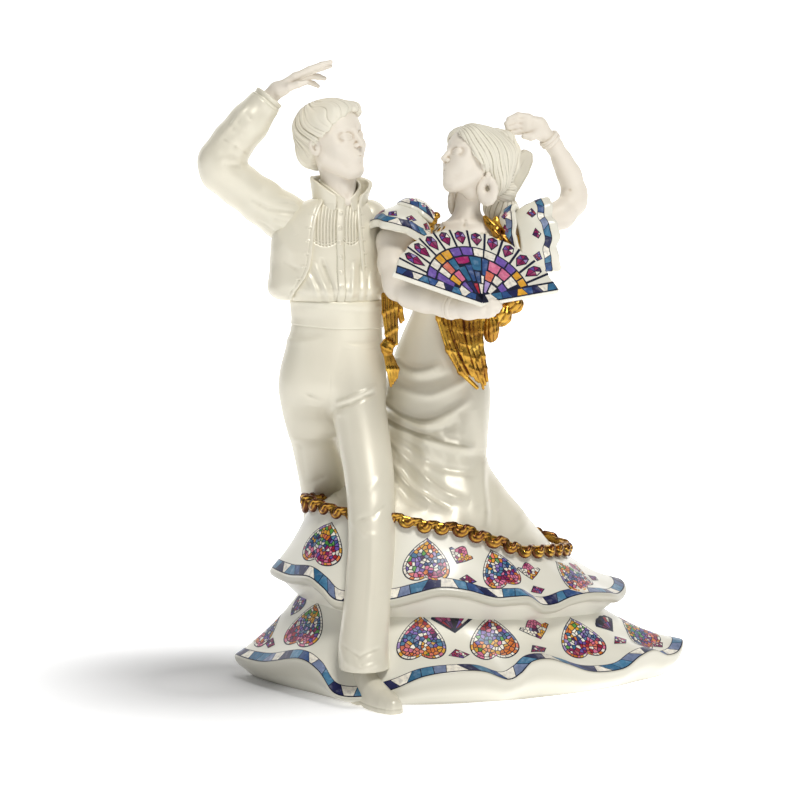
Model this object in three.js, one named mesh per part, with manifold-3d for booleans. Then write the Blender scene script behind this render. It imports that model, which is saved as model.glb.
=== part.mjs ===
// A dancing couple in porcelain: each moulded piece of the figurine is one named mesh.
// Millimetres, +Z up, the dancers face -Y, origin at the middle of the base's resting face.
import * as THREE from "three";
import { mergeVertices } from "three/addons/utils/BufferGeometryUtils.js";
import Module from "manifold-3d";

const wasm = await Module();
wasm.setup();

// ---------------------------------------------------------------- driving dimensions
const GAP = 0.3; // clearance between luted pieces
const WALL = 4.5; // wall of the cast flounces and skirt
const BASE_T = 3.5; // thickness of the closing plate under the skirt
const DRAIN_R = 15; // casting drain through the plate
const DRAIN_AT = [50, -4];
const FAN_R = 43; // length of the fan's sticks
const FAN_T = 3.2; // thickness of the fan slab
const FAN_PLEATS = 11;
const RING_N = 50; // facets round each skirt ring

// ---------------------------------------------------------------- small vector helpers
const V = (x, y, z) => new THREE.Vector3(x, y, z);
const lerp = (a, b, t) => a + (b - a) * t;

// Closed Catmull-Rom through control points, t in [0, 1).
function loopAt(pts, t) {
  const n = pts.length, s = (((t % 1) + 1) % 1) * n, i = Math.floor(s), f = s - i;
  const p = (k) => pts[(i + k + n) % n];
  return [0, 1, 2].map((d) => {
    const [a, b, c, e] = [p(-1)[d], p(0)[d], p(1)[d], p(2)[d]];
    return 0.5 * (2 * b + (c - a) * f + (2 * a - 5 * b + 4 * c - e) * f * f + (3 * b - a - 3 * c + e) * f * f * f);
  });
}

// ---------------------------------------------------------------- geometry to solid and back
function solid(geometry) {
  const g = (geometry.index ? geometry.toNonIndexed() : geometry).clone();
  g.deleteAttribute("normal");
  g.deleteAttribute("uv");
  const m = mergeVertices(g, 1e-4), p = m.attributes.position.array, src = m.index.array, tri = [];
  for (let i = 0; i < src.length; i += 3)
    if (src[i] !== src[i + 1] && src[i + 1] !== src[i + 2] && src[i] !== src[i + 2]) tri.push(src[i], src[i + 1], src[i + 2]);
  let vol = 0;
  for (let i = 0; i < tri.length; i += 3) {
    const [a, b, c] = [0, 1, 2].map((k) => V(...p.slice(3 * tri[i + k], 3 * tri[i + k] + 3)));
    vol += a.dot(b.cross(c));
  }
  if (vol < 0) for (let i = 0; i < tri.length; i += 3) [tri[i + 1], tri[i + 2]] = [tri[i + 2], tri[i + 1]];
  return new wasm.Manifold(new wasm.Mesh({ numProp: 3, vertProperties: new Float32Array(p), triVerts: new Uint32Array(tri) }));
}

function geometryOf(made) {
  const m = made.getMesh(), n = m.numProp, v = new Float32Array(m.numVert * 3);
  for (let i = 0; i < m.numVert; i++) v.set(m.vertProperties.subarray(i * n, i * n + 3), i * 3);
  const g = new THREE.BufferGeometry();
  g.setAttribute("position", new THREE.BufferAttribute(v, 3));
  g.setIndex(new THREE.BufferAttribute(new Uint32Array(m.triVerts), 1));
  g.computeVertexNormals();
  return g;
}

const cutShape = (s, ...others) => others.reduce((a, b) => a.subtract(b), s);
const join = (...s) => s.reduce((a, b) => a.add(b));

// ---------------------------------------------------------------- shape makers; g grows a shape on every side
// Skin over oval sections. Each section: {c: centre, u, v: in-plane axes, a, b: half-widths, n: squareness}.
function skin(sections, seg = 16) {
  const last = sections.length - 1;
  const cyl = new THREE.CylinderGeometry(1, 1, 1, seg, last, false), p = cyl.attributes.position;
  for (let i = 0; i < p.count; i++) {
    const s = sections[Math.round((0.5 - p.getY(i)) * last)], x = p.getX(i), z = p.getZ(i), r = Math.hypot(x, z);
    if (r < 1e-6) { p.setXYZ(i, s.c.x, s.c.y, s.c.z); continue; }
    const th = Math.atan2(z, x), e = 2 / (s.n || 2);
    const ca = Math.cos(th), sa = Math.sin(th);
    const k = s.n ? Math.pow(Math.pow(Math.abs(ca), s.n) + Math.pow(Math.abs(sa), s.n), -1 / s.n) : 1;
    const q = s.c.clone().addScaledVector(s.u, s.a * ca * k).addScaledVector(s.v, s.b * sa * k);
    p.setXYZ(i, q.x, q.y, q.z);
  }
  return solid(cyl);
}

// Upright body: rows of [z, x, y, half-width, half-depth, yaw in degrees, squareness].
function upright(rows, g = 0, seg = 18, endGrow = true) {
  const list = rows.map(([z, x, y, a, b, yaw = 0, n = 0]) => {
    const r = THREE.MathUtils.degToRad(yaw);
    return { c: V(x, y, z), u: V(Math.cos(r), Math.sin(r), 0), v: V(-Math.sin(r), Math.cos(r), 0), a: a + g, b: b + g, n };
  });
  if (g && endGrow) {
    const up = rows[rows.length - 1][0] > rows[0][0] ? 1 : -1;
    list[0].c.z -= up * g;
    list[list.length - 1].c.z += up * g;
  }
  return skin(list, seg);
}

// Limb: points [x, y, z, radius, optional second radius], sections square to the run, wide axis near `side`.
function limb(points, g = 0, seg = 12, side = V(0, 1, 0)) {
  const c = points.map((p) => V(p[0], p[1], p[2])), n = c.length;
  const list = c.map((p, i) => {
    const t = c[Math.min(i + 1, n - 1)].clone().sub(c[Math.max(i - 1, 0)]).normalize();
    const u = side.clone().addScaledVector(t, -side.dot(t)).normalize(), v = t.clone().cross(u);
    return { c: p.clone(), t, u, v, a: (points[i][4] ?? points[i][3]) + g, b: points[i][3] + g };
  });
  list[0].c.addScaledVector(list[0].t, -g);
  list[n - 1].c.addScaledVector(list[n - 1].t, g);
  return skin(list, seg);
}

// Ellipsoid with half-axes r, turned by Euler angles in degrees.
function ball(c, r, turn = [0, 0, 0], g = 0, w = 16, h = 10) {
  const s = new THREE.SphereGeometry(1, w, h).rotateX(Math.PI / 2);
  s.scale(r[0] + g, r[1] + g, r[2] + g);
  s.applyMatrix4(new THREE.Matrix4().makeRotationFromEuler(new THREE.Euler(...turn.map(THREE.MathUtils.degToRad), "XYZ")));
  s.translate(...c);
  return solid(s);
}

// Closed ring body: at(t, j) gives the point of profile vertex j at turn t; the profile closes on itself.
function ring(count, turns, at) {
  const prof = Array.from({ length: count + 1 }, (_, j) => {
    const a = (2 * Math.PI * (j % count)) / count;
    return new THREE.Vector2(3 + Math.cos(a), Math.sin(a));
  });
  const g = new THREE.LatheGeometry(prof, turns), p = g.attributes.position;
  for (let i = 0; i <= turns; i++)
    for (let j = 0; j <= count; j++) p.setXYZ(i * (count + 1) + j, ...at((i % turns) / turns, j % count));
  return solid(g);
}

// Points moved towards the middle of their own loop, in plan.
function inward([x, y, z], [cx, cy], d, dz = 0) {
  const r = Math.hypot(x - cx, y - cy) || 1, k = Math.max(0.05, (r - d) / r);
  return [cx + (x - cx) * k, cy + (y - cy) * k, z + dz];
}

// ---------------------------------------------------------------- skirt curves, counter-clockwise in plan from the left tip
const HEM_LOW = [
  [-105.6, -6, 10.5], [-91.6, -28, 11.5], [-73.4, -50, 17.5], [-63.6, -62, 14.2], [-55.4, -72, 5.5], [-41.9, -76, 5.0],
  [-28.5, -78, 8.7], [-13.8, -78, 14.8], [2.8, -76, 16.9], [14.0, -73, 16.0], [24.8, -70, 11.7], [30.9, -68, 14.1],
  [36.5, -66, 19.3], [44.2, -62, 19.9], [53.4, -57, 16.5], [63.3, -51, 11.9], [72.3, -45, 10.2], [82.5, -37, 10.5],
  [90.4, -29, 14.6], [98.0, -20, 15.8], [105.2, -12, 11.7], [111.5, -4, 12.1], [114.4, 6, 15.6], [111.0, 19, 14.0],
  [103.0, 32, 9.5], [90.0, 43, 14.5], [73.0, 52, 17.0], [54.0, 58, 11.0], [34.0, 61, 9.0], [14.0, 61, 15.0],
  [-5.0, 57, 17.0], [-22.0, 48, 11.5], [-38.0, 36, 9.0], [-55.0, 25, 13.0], [-74.0, 18, 16.5], [-92.0, 11, 12.0],
  [-103.0, 3, 9.5],
];
const HEM_UP = [
  [-87.7, -6, 53.6], [-79.1, -24, 53.1], [-68.8, -42, 55.2], [-61.9, -51, 51.7], [-55.2, -57, 46.6], [-43.0, -60, 47.1],
  [-30.0, -62, 47.8], [-18.3, -62, 50.6], [-6.2, -61, 53.2], [6.4, -60, 51.7], [19.1, -58, 48.0], [28.5, -55, 47.9],
  [35.7, -52, 47.4], [42.0, -49, 43.1], [48.5, -44, 42.6], [56.4, -38, 44.9], [65.4, -32, 45.8], [74.7, -24, 44.4],
  [80.8, -15, 42.5], [84.6, -4, 44.3], [83.0, 8, 46.0], [76.0, 20, 43.0], [65.0, 31, 42.0], [50.0, 40, 46.5],
  [33.0, 45, 49.0], [14.0, 45.5, 45.0], [-6.0, 41, 44.0], [-24.0, 32.5, 48.5], [-42.0, 23, 51.5], [-60.0, 17, 48.5],
  [-76.0, 9, 49.0], [-85.0, 2, 52.5],
];
const TRIM = [
  [-70.0, -8, 87.3], [-64.6, -24, 88.0], [-51.3, -37, 85.7], [-39.4, -43, 85.4], [-26.7, -46, 84.4], [-15.9, -46, 81.6],
  [-6.5, -46, 80.2], [3.9, -45, 79.1], [13.4, -43, 75.0], [22.0, -40, 72.1], [31.8, -35, 67.5], [41.8, -26, 66.1],
  [50.2, -14, 64.7], [55.5, 0, 62.5], [54.0, 13, 63.0], [44.0, 23, 66.0], [30.0, 29, 70.0], [12.0, 31, 74.0],
  [-8.0, 29, 78.0], [-27.0, 22, 81.0], [-45.0, 14, 84.0], [-60.0, 6, 86.5],
];
// The ground line under the lower flounce and the throat line where the upper flounce meets it.
const MID = [2, -6];
const groundAt = (t) => { const p = inward(loopAt(HEM_LOW, t), MID, 9.3); return [p[0], p[1], 0]; };
const throatAt = (t) => { const p = loopAt(HEM_UP, t); return inward([p[0], p[1], 0], [-2, -6], 10).slice(0, 2).concat(lerp(41, 33, (p[0] + 88) / 173)); };

// Lower flounce: an open-bottomed shell from the throat line to the ground.
const lowerFlounce = () => ring(12, RING_N, (t, j) => {
  const h = loopAt(HEM_LOW, t), th = throatAt(t), g = groundAt(t);
  const mix = (k, drop) => [lerp(th[0], h[0], k), lerp(th[1], h[1], k), lerp(th[2], h[2], k) - drop];
  const out = [th, mix(0.34, 2.4), mix(0.7, 2.2), h, inward([h[0], h[1], h[2] * 0.45], MID, 0.9), g];
  if (j < 6) return out[j];
  const w = 11 - j; // inner wall, from the ground back up to the throat
  if (w === 5) return inward([g[0], g[1], 0], MID, WALL);
  if (w === 4) return inward([g[0], g[1], 3.5], MID, WALL);
  if (w === 3) return inward([h[0], h[1], h[2] * 0.62], MID, WALL + 4);
  return inward(out[w], MID, w ? WALL : WALL, w === 0 ? 0 : -WALL * 0.6);
});

// Upper flounce: a shell from the trim line to its own hem and back under to the throat.
const upperFlounce = () => ring(10, RING_N, (t, j) => {
  const h = loopAt(HEM_UP, t), tr = loopAt(TRIM, t), th = throatAt(t);
  const top = inward([tr[0], tr[1], tr[2] - 3.2], [-5, -6], 1.2);
  const mix = (k, drop) => [lerp(top[0], h[0], k), lerp(top[1], h[1], k), lerp(top[2], h[2], k) - drop];
  const low = [th[0], th[1], th[2] + GAP];
  const out = [top, mix(0.36, 2), mix(0.72, 1.8), h, [lerp(h[0], low[0], 0.5), lerp(h[1], low[1], 0.5), lerp(h[2], low[2], 0.35)], low];
  if (j < 6) return out[j];
  if (j === 6) return inward(low, [-2, -6], WALL);
  if (j === 7) return inward(mix(0.72, 1.8), [-2, -6], WALL + 4, -WALL * 0.8);
  if (j === 8) return inward(mix(0.36, 2), [-2, -6], WALL + 1, -WALL * 0.6);
  return inward(top, [-5, -6], WALL);
});

// Ruffled trim ring: a crimped band lying round the top of the upper flounce.
const trimRing = (g = 0) => ring(6, 96, (t, j) => {
  const p = loopAt(TRIM, t), wave = 1.05 * Math.sin(2 * Math.PI * t * 34), lift = 0.7 * Math.cos(2 * Math.PI * t * 34);
  const prof = [[-2.2, 0.2], [-1.2, 2.6], [0.9, 2.7], [2.3, 0.6], [1.7, -2.1], [-0.9, -2.3]][j].map((d) => d * (1 + g / 2));
  const [cx, cy] = [-5, -6], r = Math.hypot(p[0] - cx, p[1] - cy), k = (r + prof[0] + wave - 0.2) / r;
  return [cx + (p[0] - cx) * k, cy + (p[1] - cy) * k, p[2] + prof[1] + lift];
});

// Gown from the waist to the trim, hollow and open below.
const GOWN = [ // [z, x, y, half-width, half-depth]
  [63, -4, -6, 57, 36], [76, -8, -6, 55, 34], [88, -14, -5, 44, 30], [100, -13, -3, 32, 25], [114, -9, -1, 26, 21.5],
  [130, -7.5, 1, 26, 21], [142, -7, 2, 25.5, 20.5], [156, -6.6, 1.5, 22, 17.5], [168, -6, 0, 18, 14.5], [178, -4, -1.5, 15.6, 12.6],
];
function gown() {
  const [cx, cy] = [-5, -6];
  // The foot of the gown follows the trim line; above it the sections become ovals.
  return ring(14, RING_N, (t, j) => {
    const tr = loopAt(TRIM, t), foot = inward([tr[0], tr[1], tr[2] - 3.0], [cx, cy], 3.2);
    const oval = (row, d) => {
      const [z, x, y, a, b] = row, th = Math.atan2((foot[1] - y) / b, (foot[0] - x) / a);
      return [x + (a - d) * Math.cos(th), y + (b - d) * Math.sin(th), z];
    };
    const mid = (row, k, d) => { const o = oval(row, d); return [lerp(foot[0], o[0], k), lerp(foot[1], o[1], k), lerp(foot[2], o[2], k)]; };
    const out = [foot, mid(GOWN[3], 0.45, 0), oval(GOWN[3], 0), oval(GOWN[5], 0), oval(GOWN[7], 0), oval(GOWN[8], 0), oval(GOWN[9], 0)];
    if (j < 7) return out[j];
    const inn = [inward(foot, [cx, cy], WALL), inward(mid(GOWN[3], 0.45, 0), [-10, -4], WALL + 1, -2), oval(GOWN[3], WALL), oval(GOWN[5], WALL), oval(GOWN[7], WALL), oval(GOWN[8], WALL), oval(GOWN[9], WALL)];
    return inn[13 - j];
  });
}

const basePlate = () => {
  const outline = Array.from({ length: RING_N }, (_, i) => { const p = inward(groundAt(i / RING_N), MID, WALL + GAP); return new THREE.Vector2(p[0], p[1]); });
  const shape = new THREE.Shape(outline);
  shape.holes.push(new THREE.Path().absarc(...DRAIN_AT, DRAIN_R, 0, 2 * Math.PI, true));
  return solid(new THREE.ExtrudeGeometry(shape, { depth: BASE_T, bevelEnabled: false, curveSegments: 12 }));
};

// ---------------------------------------------------------------- the woman
const W_BODICE = [[178.4, -4, -1.5, 15.4, 12.4], [186, -2, -3, 15.8, 13], [195, 1, -4.5, 18, 15], [204, 4.5, -5, 19.5, 15.8], [212, 6.5, -3.6, 20.5, 12.4], [218, 8, -1.8, 18.5, 9.6], [221.4, 7.6, -1.2, 13, 8.2]];
const wBodice = (g = 0) => upright(W_BODICE, g, 20);
const wNeck = (g = 0) => upright([[221.8, 7.4, -1.4, 11, 7.2], [225, 7, -1.4, 7.4, 6.4], [230, 7.4, -1, 6, 6], [238.4, 9.6, 0.4, 5.8, 6.2]], g, 14);
// A head's own frame: x to its right, y out of the face, z to the crown.
const headFrame = (c, yaw, pitch, roll) => new THREE.Matrix4().makeTranslation(...c)
  .multiply(new THREE.Matrix4().makeRotationZ(THREE.MathUtils.degToRad(yaw)))
  .multiply(new THREE.Matrix4().makeRotationX(THREE.MathUtils.degToRad(pitch)))
  .multiply(new THREE.Matrix4().makeRotationY(THREE.MathUtils.degToRad(roll)));
const within = (frame, s) => s.transform(frame.elements);
const W_HEAD = headFrame([9.8, -4.4, 251.2], 114, 16, 8);
const M_HEAD = headFrame([-57.4, -5.4, 260.9], -128, 7.5, 5.5);
// k scales a head built for a 40 mm height.
const headShape = (k, g) => join(
  ball([0, -3.2 * k, 4.6 * k], [12.8 * k, 15.6 * k, 13 * k], [0, 0, 0], g, 16, 10),
  ball([0, 4.4 * k, -5.6 * k], [10.2 * k, 10.4 * k, 12 * k], [0, 0, 0], g, 14, 9),
  ball([0, 10.2 * k, -15.2 * k], [4.8 * k, 4.2 * k, 3.8 * k], [0, 0, 0], g, 10, 7),
  limb([[0, 13.4 * k, 3 * k, 1.4 * k], [0, 16.4 * k, -2.6 * k, 2 * k], [0, 15 * k, -5.4 * k, 1.6 * k]], g, 7, V(1, 0, 0)),
  limb([[0, -3 * k, -18 * k, 6 * k], [0, -3 * k, -8 * k, 8 * k]], g, 12, V(1, 0, 0)),
);
const faceOpening = (k) => join(
  ball([0, 16 * k, -4 * k], [16 * k, 15 * k, 13 * k], [18, 0, 0], 0, 16, 10),
  ball([0, 2 * k, -21 * k], [22 * k, 17 * k, 13 * k], [0, 0, 0], 0, 14, 8),
);
const wHead = (g = 0) => within(W_HEAD, headShape(0.92, g));
const wHair = (g = 0) => join(
  within(W_HEAD, cutShape(ball([0, -3.8, 5.2], [13.4, 15.6, 13.6], [0, 0, 0], g, 18, 12), faceOpening(0.92))),
  ball([23, 3.2, 248], [7.2, 8.2, 10.8], [0, 10, 0], g, 14, 9),
  limb([[22, 3.4, 264.2, 3], [28, 3.6, 258.6, 3.5], [29, 3.8, 250.8, 3.5], [26.4, 4, 242.6, 3.2]], g, 9),
  ball([25, 6.4, 236.4], [6.4, 6.8, 6.4], [0, 0, 0], g, 12, 8),
);
const wBun = (g = 0) => ball([23.6, 8.6, 228.2], [8.6, 8, 7.6], [0, 20, 20], g, 16, 10);
const wComb = (g = 0) => {
  const prof = [[0, 0], [4.5, 0.2], [5.6, 8], [6.2, 16], [5.2, 22], [2.6, 25.4], [0, 26.2]].map(([x, y]) => [x + (x ? g : 0), y]);
  const s = new THREE.Shape([...prof.map(([x, y]) => new THREE.Vector2(x, y)), ...prof.slice(1, -1).reverse().map(([x, y]) => new THREE.Vector2(-x, y))]);
  const e = new THREE.ExtrudeGeometry(s, { depth: 2.6 + 2 * g, bevelEnabled: false });
  e.translate(0, 0, -1.3 - g);
  e.rotateX(Math.PI / 2);
  e.rotateZ(THREE.MathUtils.degToRad(28));
  e.rotateY(THREE.MathUtils.degToRad(26));
  e.translate(25.6, 12.6, 233);
  return solid(e);
};
const hoop = (c, turn, g = 0) => {
  const t = new THREE.TorusGeometry(3.3, 2 + g, 8, 16).scale(1, 1.35, 0.8);
  t.rotateX(Math.PI / 2);
  t.rotateZ(THREE.MathUtils.degToRad(turn));
  t.translate(...c);
  return solid(t);
};
const earringNear = (g = 0) => hoop([16.5, -13.6, 237.5], -20, g);
const earringFar = (g = 0) => hoop([1, 4.6, 232.6], 62, g);

// Right arm comes forward and across, holding the fan; left arm is raised.
const wArmR = (g = 0) => limb([[-21, -8, 219, 6.8], [-30.3, -12.5, 212.8, 7], [-29.3, -20, 202.3, 6.9], [-27.4, -28.5, 193.5, 6.6], [-20.8, -37, 188.8, 6.3], [-12.7, -44, 186.2, 5.9], [-4.8, -50, 184.2, 5.3]], g, 11, V(0, 0, 1));
const wBraceletR = (g = 0) => limb([[-3.2, -51.3, 183.9, 5.6], [-0.2, -53.8, 183.5, 5.6]], g, 14, V(0, 0, 1));
const wHandR = (g = 0) => join(
  limb([[1.6, -55.2, 183.1, 4.5], [7, -58.6, 183.2, 4.8, 3.6], [12.4, -61.4, 183.8, 4.6, 3.1], [15.6, -62.6, 184.1, 3.6, 2.6]], g, 10, V(0, 0, 1)),
  limb([[13.4, -61, 185.8, 1.9], [16.5, -63, 186.3, 1.8], [19.5, -63, 186.2, 1.3]], g, 7),
  limb([[13.8, -61, 184.2, 2], [17.2, -63.4, 184.5, 1.9], [20.4, -63.2, 184.6, 1.4]], g, 7),
  limb([[13.4, -60.6, 182.5, 1.9], [16.5, -62.6, 182.5, 1.8], [19.6, -62, 182.7, 1.3]], g, 7),
  limb([[12.5, -59.6, 180.9, 1.7], [15.2, -61.4, 180.8, 1.6], [17.8, -60.8, 181, 1.1]], g, 7),
);
const wArmL = (g = 0) => limb([[34, 2, 220, 6.8], [42, 4.6, 221.4, 7.1], [53.3, 10, 225.1, 6.9], [59.3, 14.5, 231, 6.5], [59.8, 15.5, 236.5, 6], [57.5, 14.4, 243.9, 5.3], [53.4, 12, 252.2, 4.6], [49.6, 9.6, 258.6, 4.1]], g, 12, V(0, 1, 0.2));
const wBraceletL = (g = 0) => limb([[48.4, 9, 260.4, 4.9], [46, 7.8, 263.1, 4.9]], g, 14, V(0, 1, 0.2));
const wHandL = (g = 0) => join(
  limb([[44.8, 7.3, 264.5, 3.9], [41.4, 6.4, 267.3, 3.2, 4.9], [36.6, 5.4, 269, 2.9, 5.2], [32.7, 4.6, 269.3, 2.4, 4.6]], g, 10, V(0, 1, 0)),
  limb([[36.9, 5.8, 272.1, 2], [31.8, 5, 272.8, 1.9], [27.3, 4, 271.1, 1.4]], g, 7),
  limb([[36.6, 5.4, 270.1, 2], [31, 4.6, 270.5, 1.9], [26.2, 3.4, 269, 1.4]], g, 7),
  limb([[36.4, 5.2, 268, 2], [31, 4.4, 267.9, 1.9], [26.9, 3.4, 267, 1.4]], g, 7),
  limb([[36.2, 5, 265.9, 1.9], [32.1, 4.4, 265.4, 1.7], [29.1, 3.8, 265, 1.2]], g, 7),
  limb([[41.9, 3.6, 264, 2.1], [38, 2, 262.7, 1.9], [34.3, 1.4, 263.1, 1.4]], g, 7),
);

// A sleeve frill: a flared bell round an arm, from `top` to `hem`, wavy at the hem.
function frill(top, hem, r0, r1, t, waves, amp, squash = 1, phase = 0) {
  const a = V(...top), b = V(...hem), axis = b.clone().sub(a).normalize();
  const u = V(0, 1, 0).addScaledVector(axis, -axis.y).normalize(), v = axis.clone().cross(u);
  return ring(8, 30, (s, j) => {
    const th = 2 * Math.PI * s, w = amp * Math.sin(waves * th + phase);
    const rows = [[0, r0, 0], [0.35, lerp(r0, r1, 0.62), 0.2], [0.75, lerp(r0, r1, 0.95), 0.6], [1, r1, 1], [1, r1 - t, 1], [0.75, lerp(r0, r1, 0.95) - t * 1.2, 0.6], [0.35, lerp(r0, r1, 0.5) - t * 1.2, 0.2], [0, r0 - t, 0]][j];
    const q = a.clone().lerp(b, rows[0]).addScaledVector(axis, w * 0.5 * rows[2]);
    const r = rows[1] + w * rows[2];
    q.addScaledVector(u, r * Math.cos(th) * squash).addScaledVector(v, r * Math.sin(th));
    return [q.x, q.y, q.z];
  });
}
const frillR1 = () => frill([-11.4, -4, 229], [-19.4, -8, 223.6], 6, 12.8, 2.2, 5, 0.7, 0.95, 0.6);
const frillR2 = () => frill([-20.6, -10.6, 227], [-24.8, -13, 215.4], 7, 15.6, 2.2, 5, 0.8, 0.95, 2);
const frillL1 = () => frill([24, -0.8, 218.8], [31.4, -1.8, 216.8], 9, 13.2, 2.2, 5, 0.8, 0.9, 1);
const frillL2 = () => frill([33.8, 1, 216.6], [47.2, 4.2, 213.6], 12.4, 17.8, 2.2, 6, 1.1, 0.8, 2.2);

// The fringed shawl, in the runs where it shows.
const shawlCollarR = (g = 0) => limb([[-4, -12.4, 224.2, 1.3, 2.2], [-7.4, -15.6, 217, 1.4, 3], [-9, -18.8, 208, 1.5, 3.6]], g, 8);
const shawlBack = (g = 0) => upright([[186, 3, 0, 21, 17.5], [196, 6, -0.6, 23.4, 19], [206, 8, -0.4, 24.6, 18.6], [214, 9, 0.6, 24, 15.4], [221, 9, 1.2, 17.6, 11.6]], g, 20);
const fringeR = (g = 0) => limb([[9, -16, 186, 3.4, 12], [9.4, -19.6, 176, 3.6, 13.4], [10.4, -21.4, 166, 3.6, 9.6], [13, -22.2, 156, 3.4, 6.8], [15, -21.6, 147, 2.8, 4.2], [15.4, -20.6, 142, 1.2, 1.6]], g, 10, V(1, 0, 0));
const fringeTail = (g = 0) => join(
  ball([29.4, -9, 182.4], [4.6, 3.8, 4.4], [0, 20, 0], g, 10, 8),
  ball([23.2, -11.6, 176.6], [4.8, 3.8, 4.2], [0, 20, 0], g, 10, 8),
  ball([17.6, -14.4, 171.4], [4.4, 3.6, 4.4], [0, 20, 0], g, 10, 8),
  ball([27, -8, 188.4], [4.8, 4, 5.6], [0, 0, 0], g, 10, 8),
);
const fringeL = (g = 0) => join(
  limb([[-27.8, -18, 187, 3.2, 4.8], [-28, -20.4, 178, 3.3, 5], [-29.2, -22, 168, 3, 4], [-30.4, -22.6, 160, 2.4, 2.6]], g, 9, V(1, 0, 0)),
  limb([[-30.4, -22.8, 161, 2.2, 2.4], [-29.4, -23.6, 153, 2.4, 3], [-29, -24, 146.4, 2, 2.4], [-30, -24, 142.4, 0.9, 1]], g, 8, V(1, 0, 0)),
);

// The fan: a pleated sector lying in its own tilted plane.
const FAN_PIVOT = V(12.4, -66, 186.8);
const FAN_E1 = V(-0.897, 0, 0.442).normalize();
const FAN_E2 = V(0.299, 0.737, 0.606).addScaledVector(FAN_E1, -V(0.299, 0.737, 0.606).dot(FAN_E1)).normalize();
const FAN_N = FAN_E1.clone().cross(FAN_E2).normalize(); // towards the back
function fan(g = 0) {
  const a0 = THREE.MathUtils.degToRad(-10), a1 = THREE.MathUtils.degToRad(135), pts = [new THREE.Vector2(0, -1.2 - g)];
  const n = FAN_PLEATS * 2;
  for (let i = 0; i <= n; i++) {
    const a = lerp(a0, a1, i / n), r = FAN_R + g + (i % 2 ? 0.5 : -0.5);
    pts.push(new THREE.Vector2(r * Math.cos(a), r * Math.sin(a)));
  }
  pts.push(new THREE.Vector2(-1.2, 0.4));
  const e = new THREE.ExtrudeGeometry(new THREE.Shape(pts), { depth: FAN_T + 2 * g, bevelEnabled: false });
  e.translate(0, 0, -g);
  e.applyMatrix4(new THREE.Matrix4().makeBasis(FAN_E1, FAN_E2, FAN_N).setPosition(FAN_PIVOT));
  return solid(e);
}

// ---------------------------------------------------------------- the man
const M_SHIRT = [[184.4, -56, -8.5, 20.8, 14.2, 12], [190, -57, -8.2, 23, 15.8, 14], [200, -58.4, -7, 24, 16, 15], [211, -59, -6.2, 24.6, 15.4, 15], [221, -58.6, -5, 23.4, 12.8, 15], [228, -57.4, -4.2, 17.6, 10.6, 15], [232.4, -55.8, -4, 10, 8.8, 15]];
const mShirt = (g = 0) => upright(M_SHIRT, g, 20);
const M_JACKET = [[185.6, -60.6, -7.6, 27, 18, 12], [190, -61.4, -7.4, 27.8, 19, 13], [201, -60.6, -6.4, 27.6, 18.8, 15], [212, -60.2, -5.8, 27.6, 18, 15], [222, -59.4, -4.6, 26, 15.2, 15], [228.6, -58, -4, 20.6, 12.8, 15], [233, -56, -4, 12.4, 11, 15]];
const mJacketOuter = (g = 0) => upright(M_JACKET, g, 24);
// The front opening of the jacket: a wedge wider at the bottom, facing the viewer's right.
const mOpening = () => {
  const s = new THREE.Shape([[-9.5, 240], [9, 240], [10, 222], [11, 205], [13.5, 183], [-14, 183], [-11.5, 200], [-10.6, 222]].map(([x, z]) => new THREE.Vector2(x, z)));
  const e = new THREE.ExtrudeGeometry(s, { depth: 34, bevelEnabled: false });
  e.rotateX(Math.PI / 2); // the extrusion now runs towards -Y
  e.rotateZ(THREE.MathUtils.degToRad(14));
  e.translate(-55.6, -7, 0);
  return solid(e);
};
const mCollar = () => ring(8, 30, (t, j) => {
  const th = 2 * Math.PI * t, front = (1 - Math.sin(th - 0.26)) / 2;
  const rows = [[11.4, 0], [12, 4], [12.9, 9], [12.8, 13], [10.6, 12.8], [10, 8], [9.4, 3], [9.2, 0]][j];
  const z = 230.6 + rows[1] * (1 - 0.8 * front * front);
  return [-54.4 + rows[0] * Math.cos(th), -4 + rows[0] * 0.96 * Math.sin(th), z];
});
const mNeck = (g = 0) => limb([[-54.8, -4.2, 230, 8.4], [-54.8, -4.2, 238, 8.2], [-55.2, -4.4, 248, 8.2]], g, 16);
const mHead = (g = 0) => within(M_HEAD, headShape(1, g));
const mHair = (g = 0) => within(M_HEAD, join(
  cutShape(ball([0, -3.6, 6.2], [14.6, 17.6, 14.4], [0, 0, 0], g, 18, 12), faceOpening(1)),
  ball([1, 8.6, 14], [9.4, 7, 4.8], [-20, 0, 0], g, 12, 8),
  ball([-5.6, 10.4, 12.6], [6.2, 5.2, 4.2], [0, 22, 0], g, 12, 8),
));
const mSleeveR = (g = 0) => limb([[-73, -4, 219.5, 10.8], [-82, -7, 225, 10.5], [-92, -11, 232.2, 10], [-102, -15, 239.8, 9.6], [-110, -17.7, 246, 9.4], [-110.4, -17.9, 252, 9.4], [-104.6, -16.2, 260, 9.4], [-97.6, -14.6, 268.6, 8.8], [-90, -13.2, 278, 7.6]], g, 14, V(0, 1, 0));
const mCuffR = (g = 0) => limb([[-89.6, -13.1, 278.6, 7], [-87.4, -12.8, 281.4, 6.9]], g, 14, V(0, 1, 0));
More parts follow.
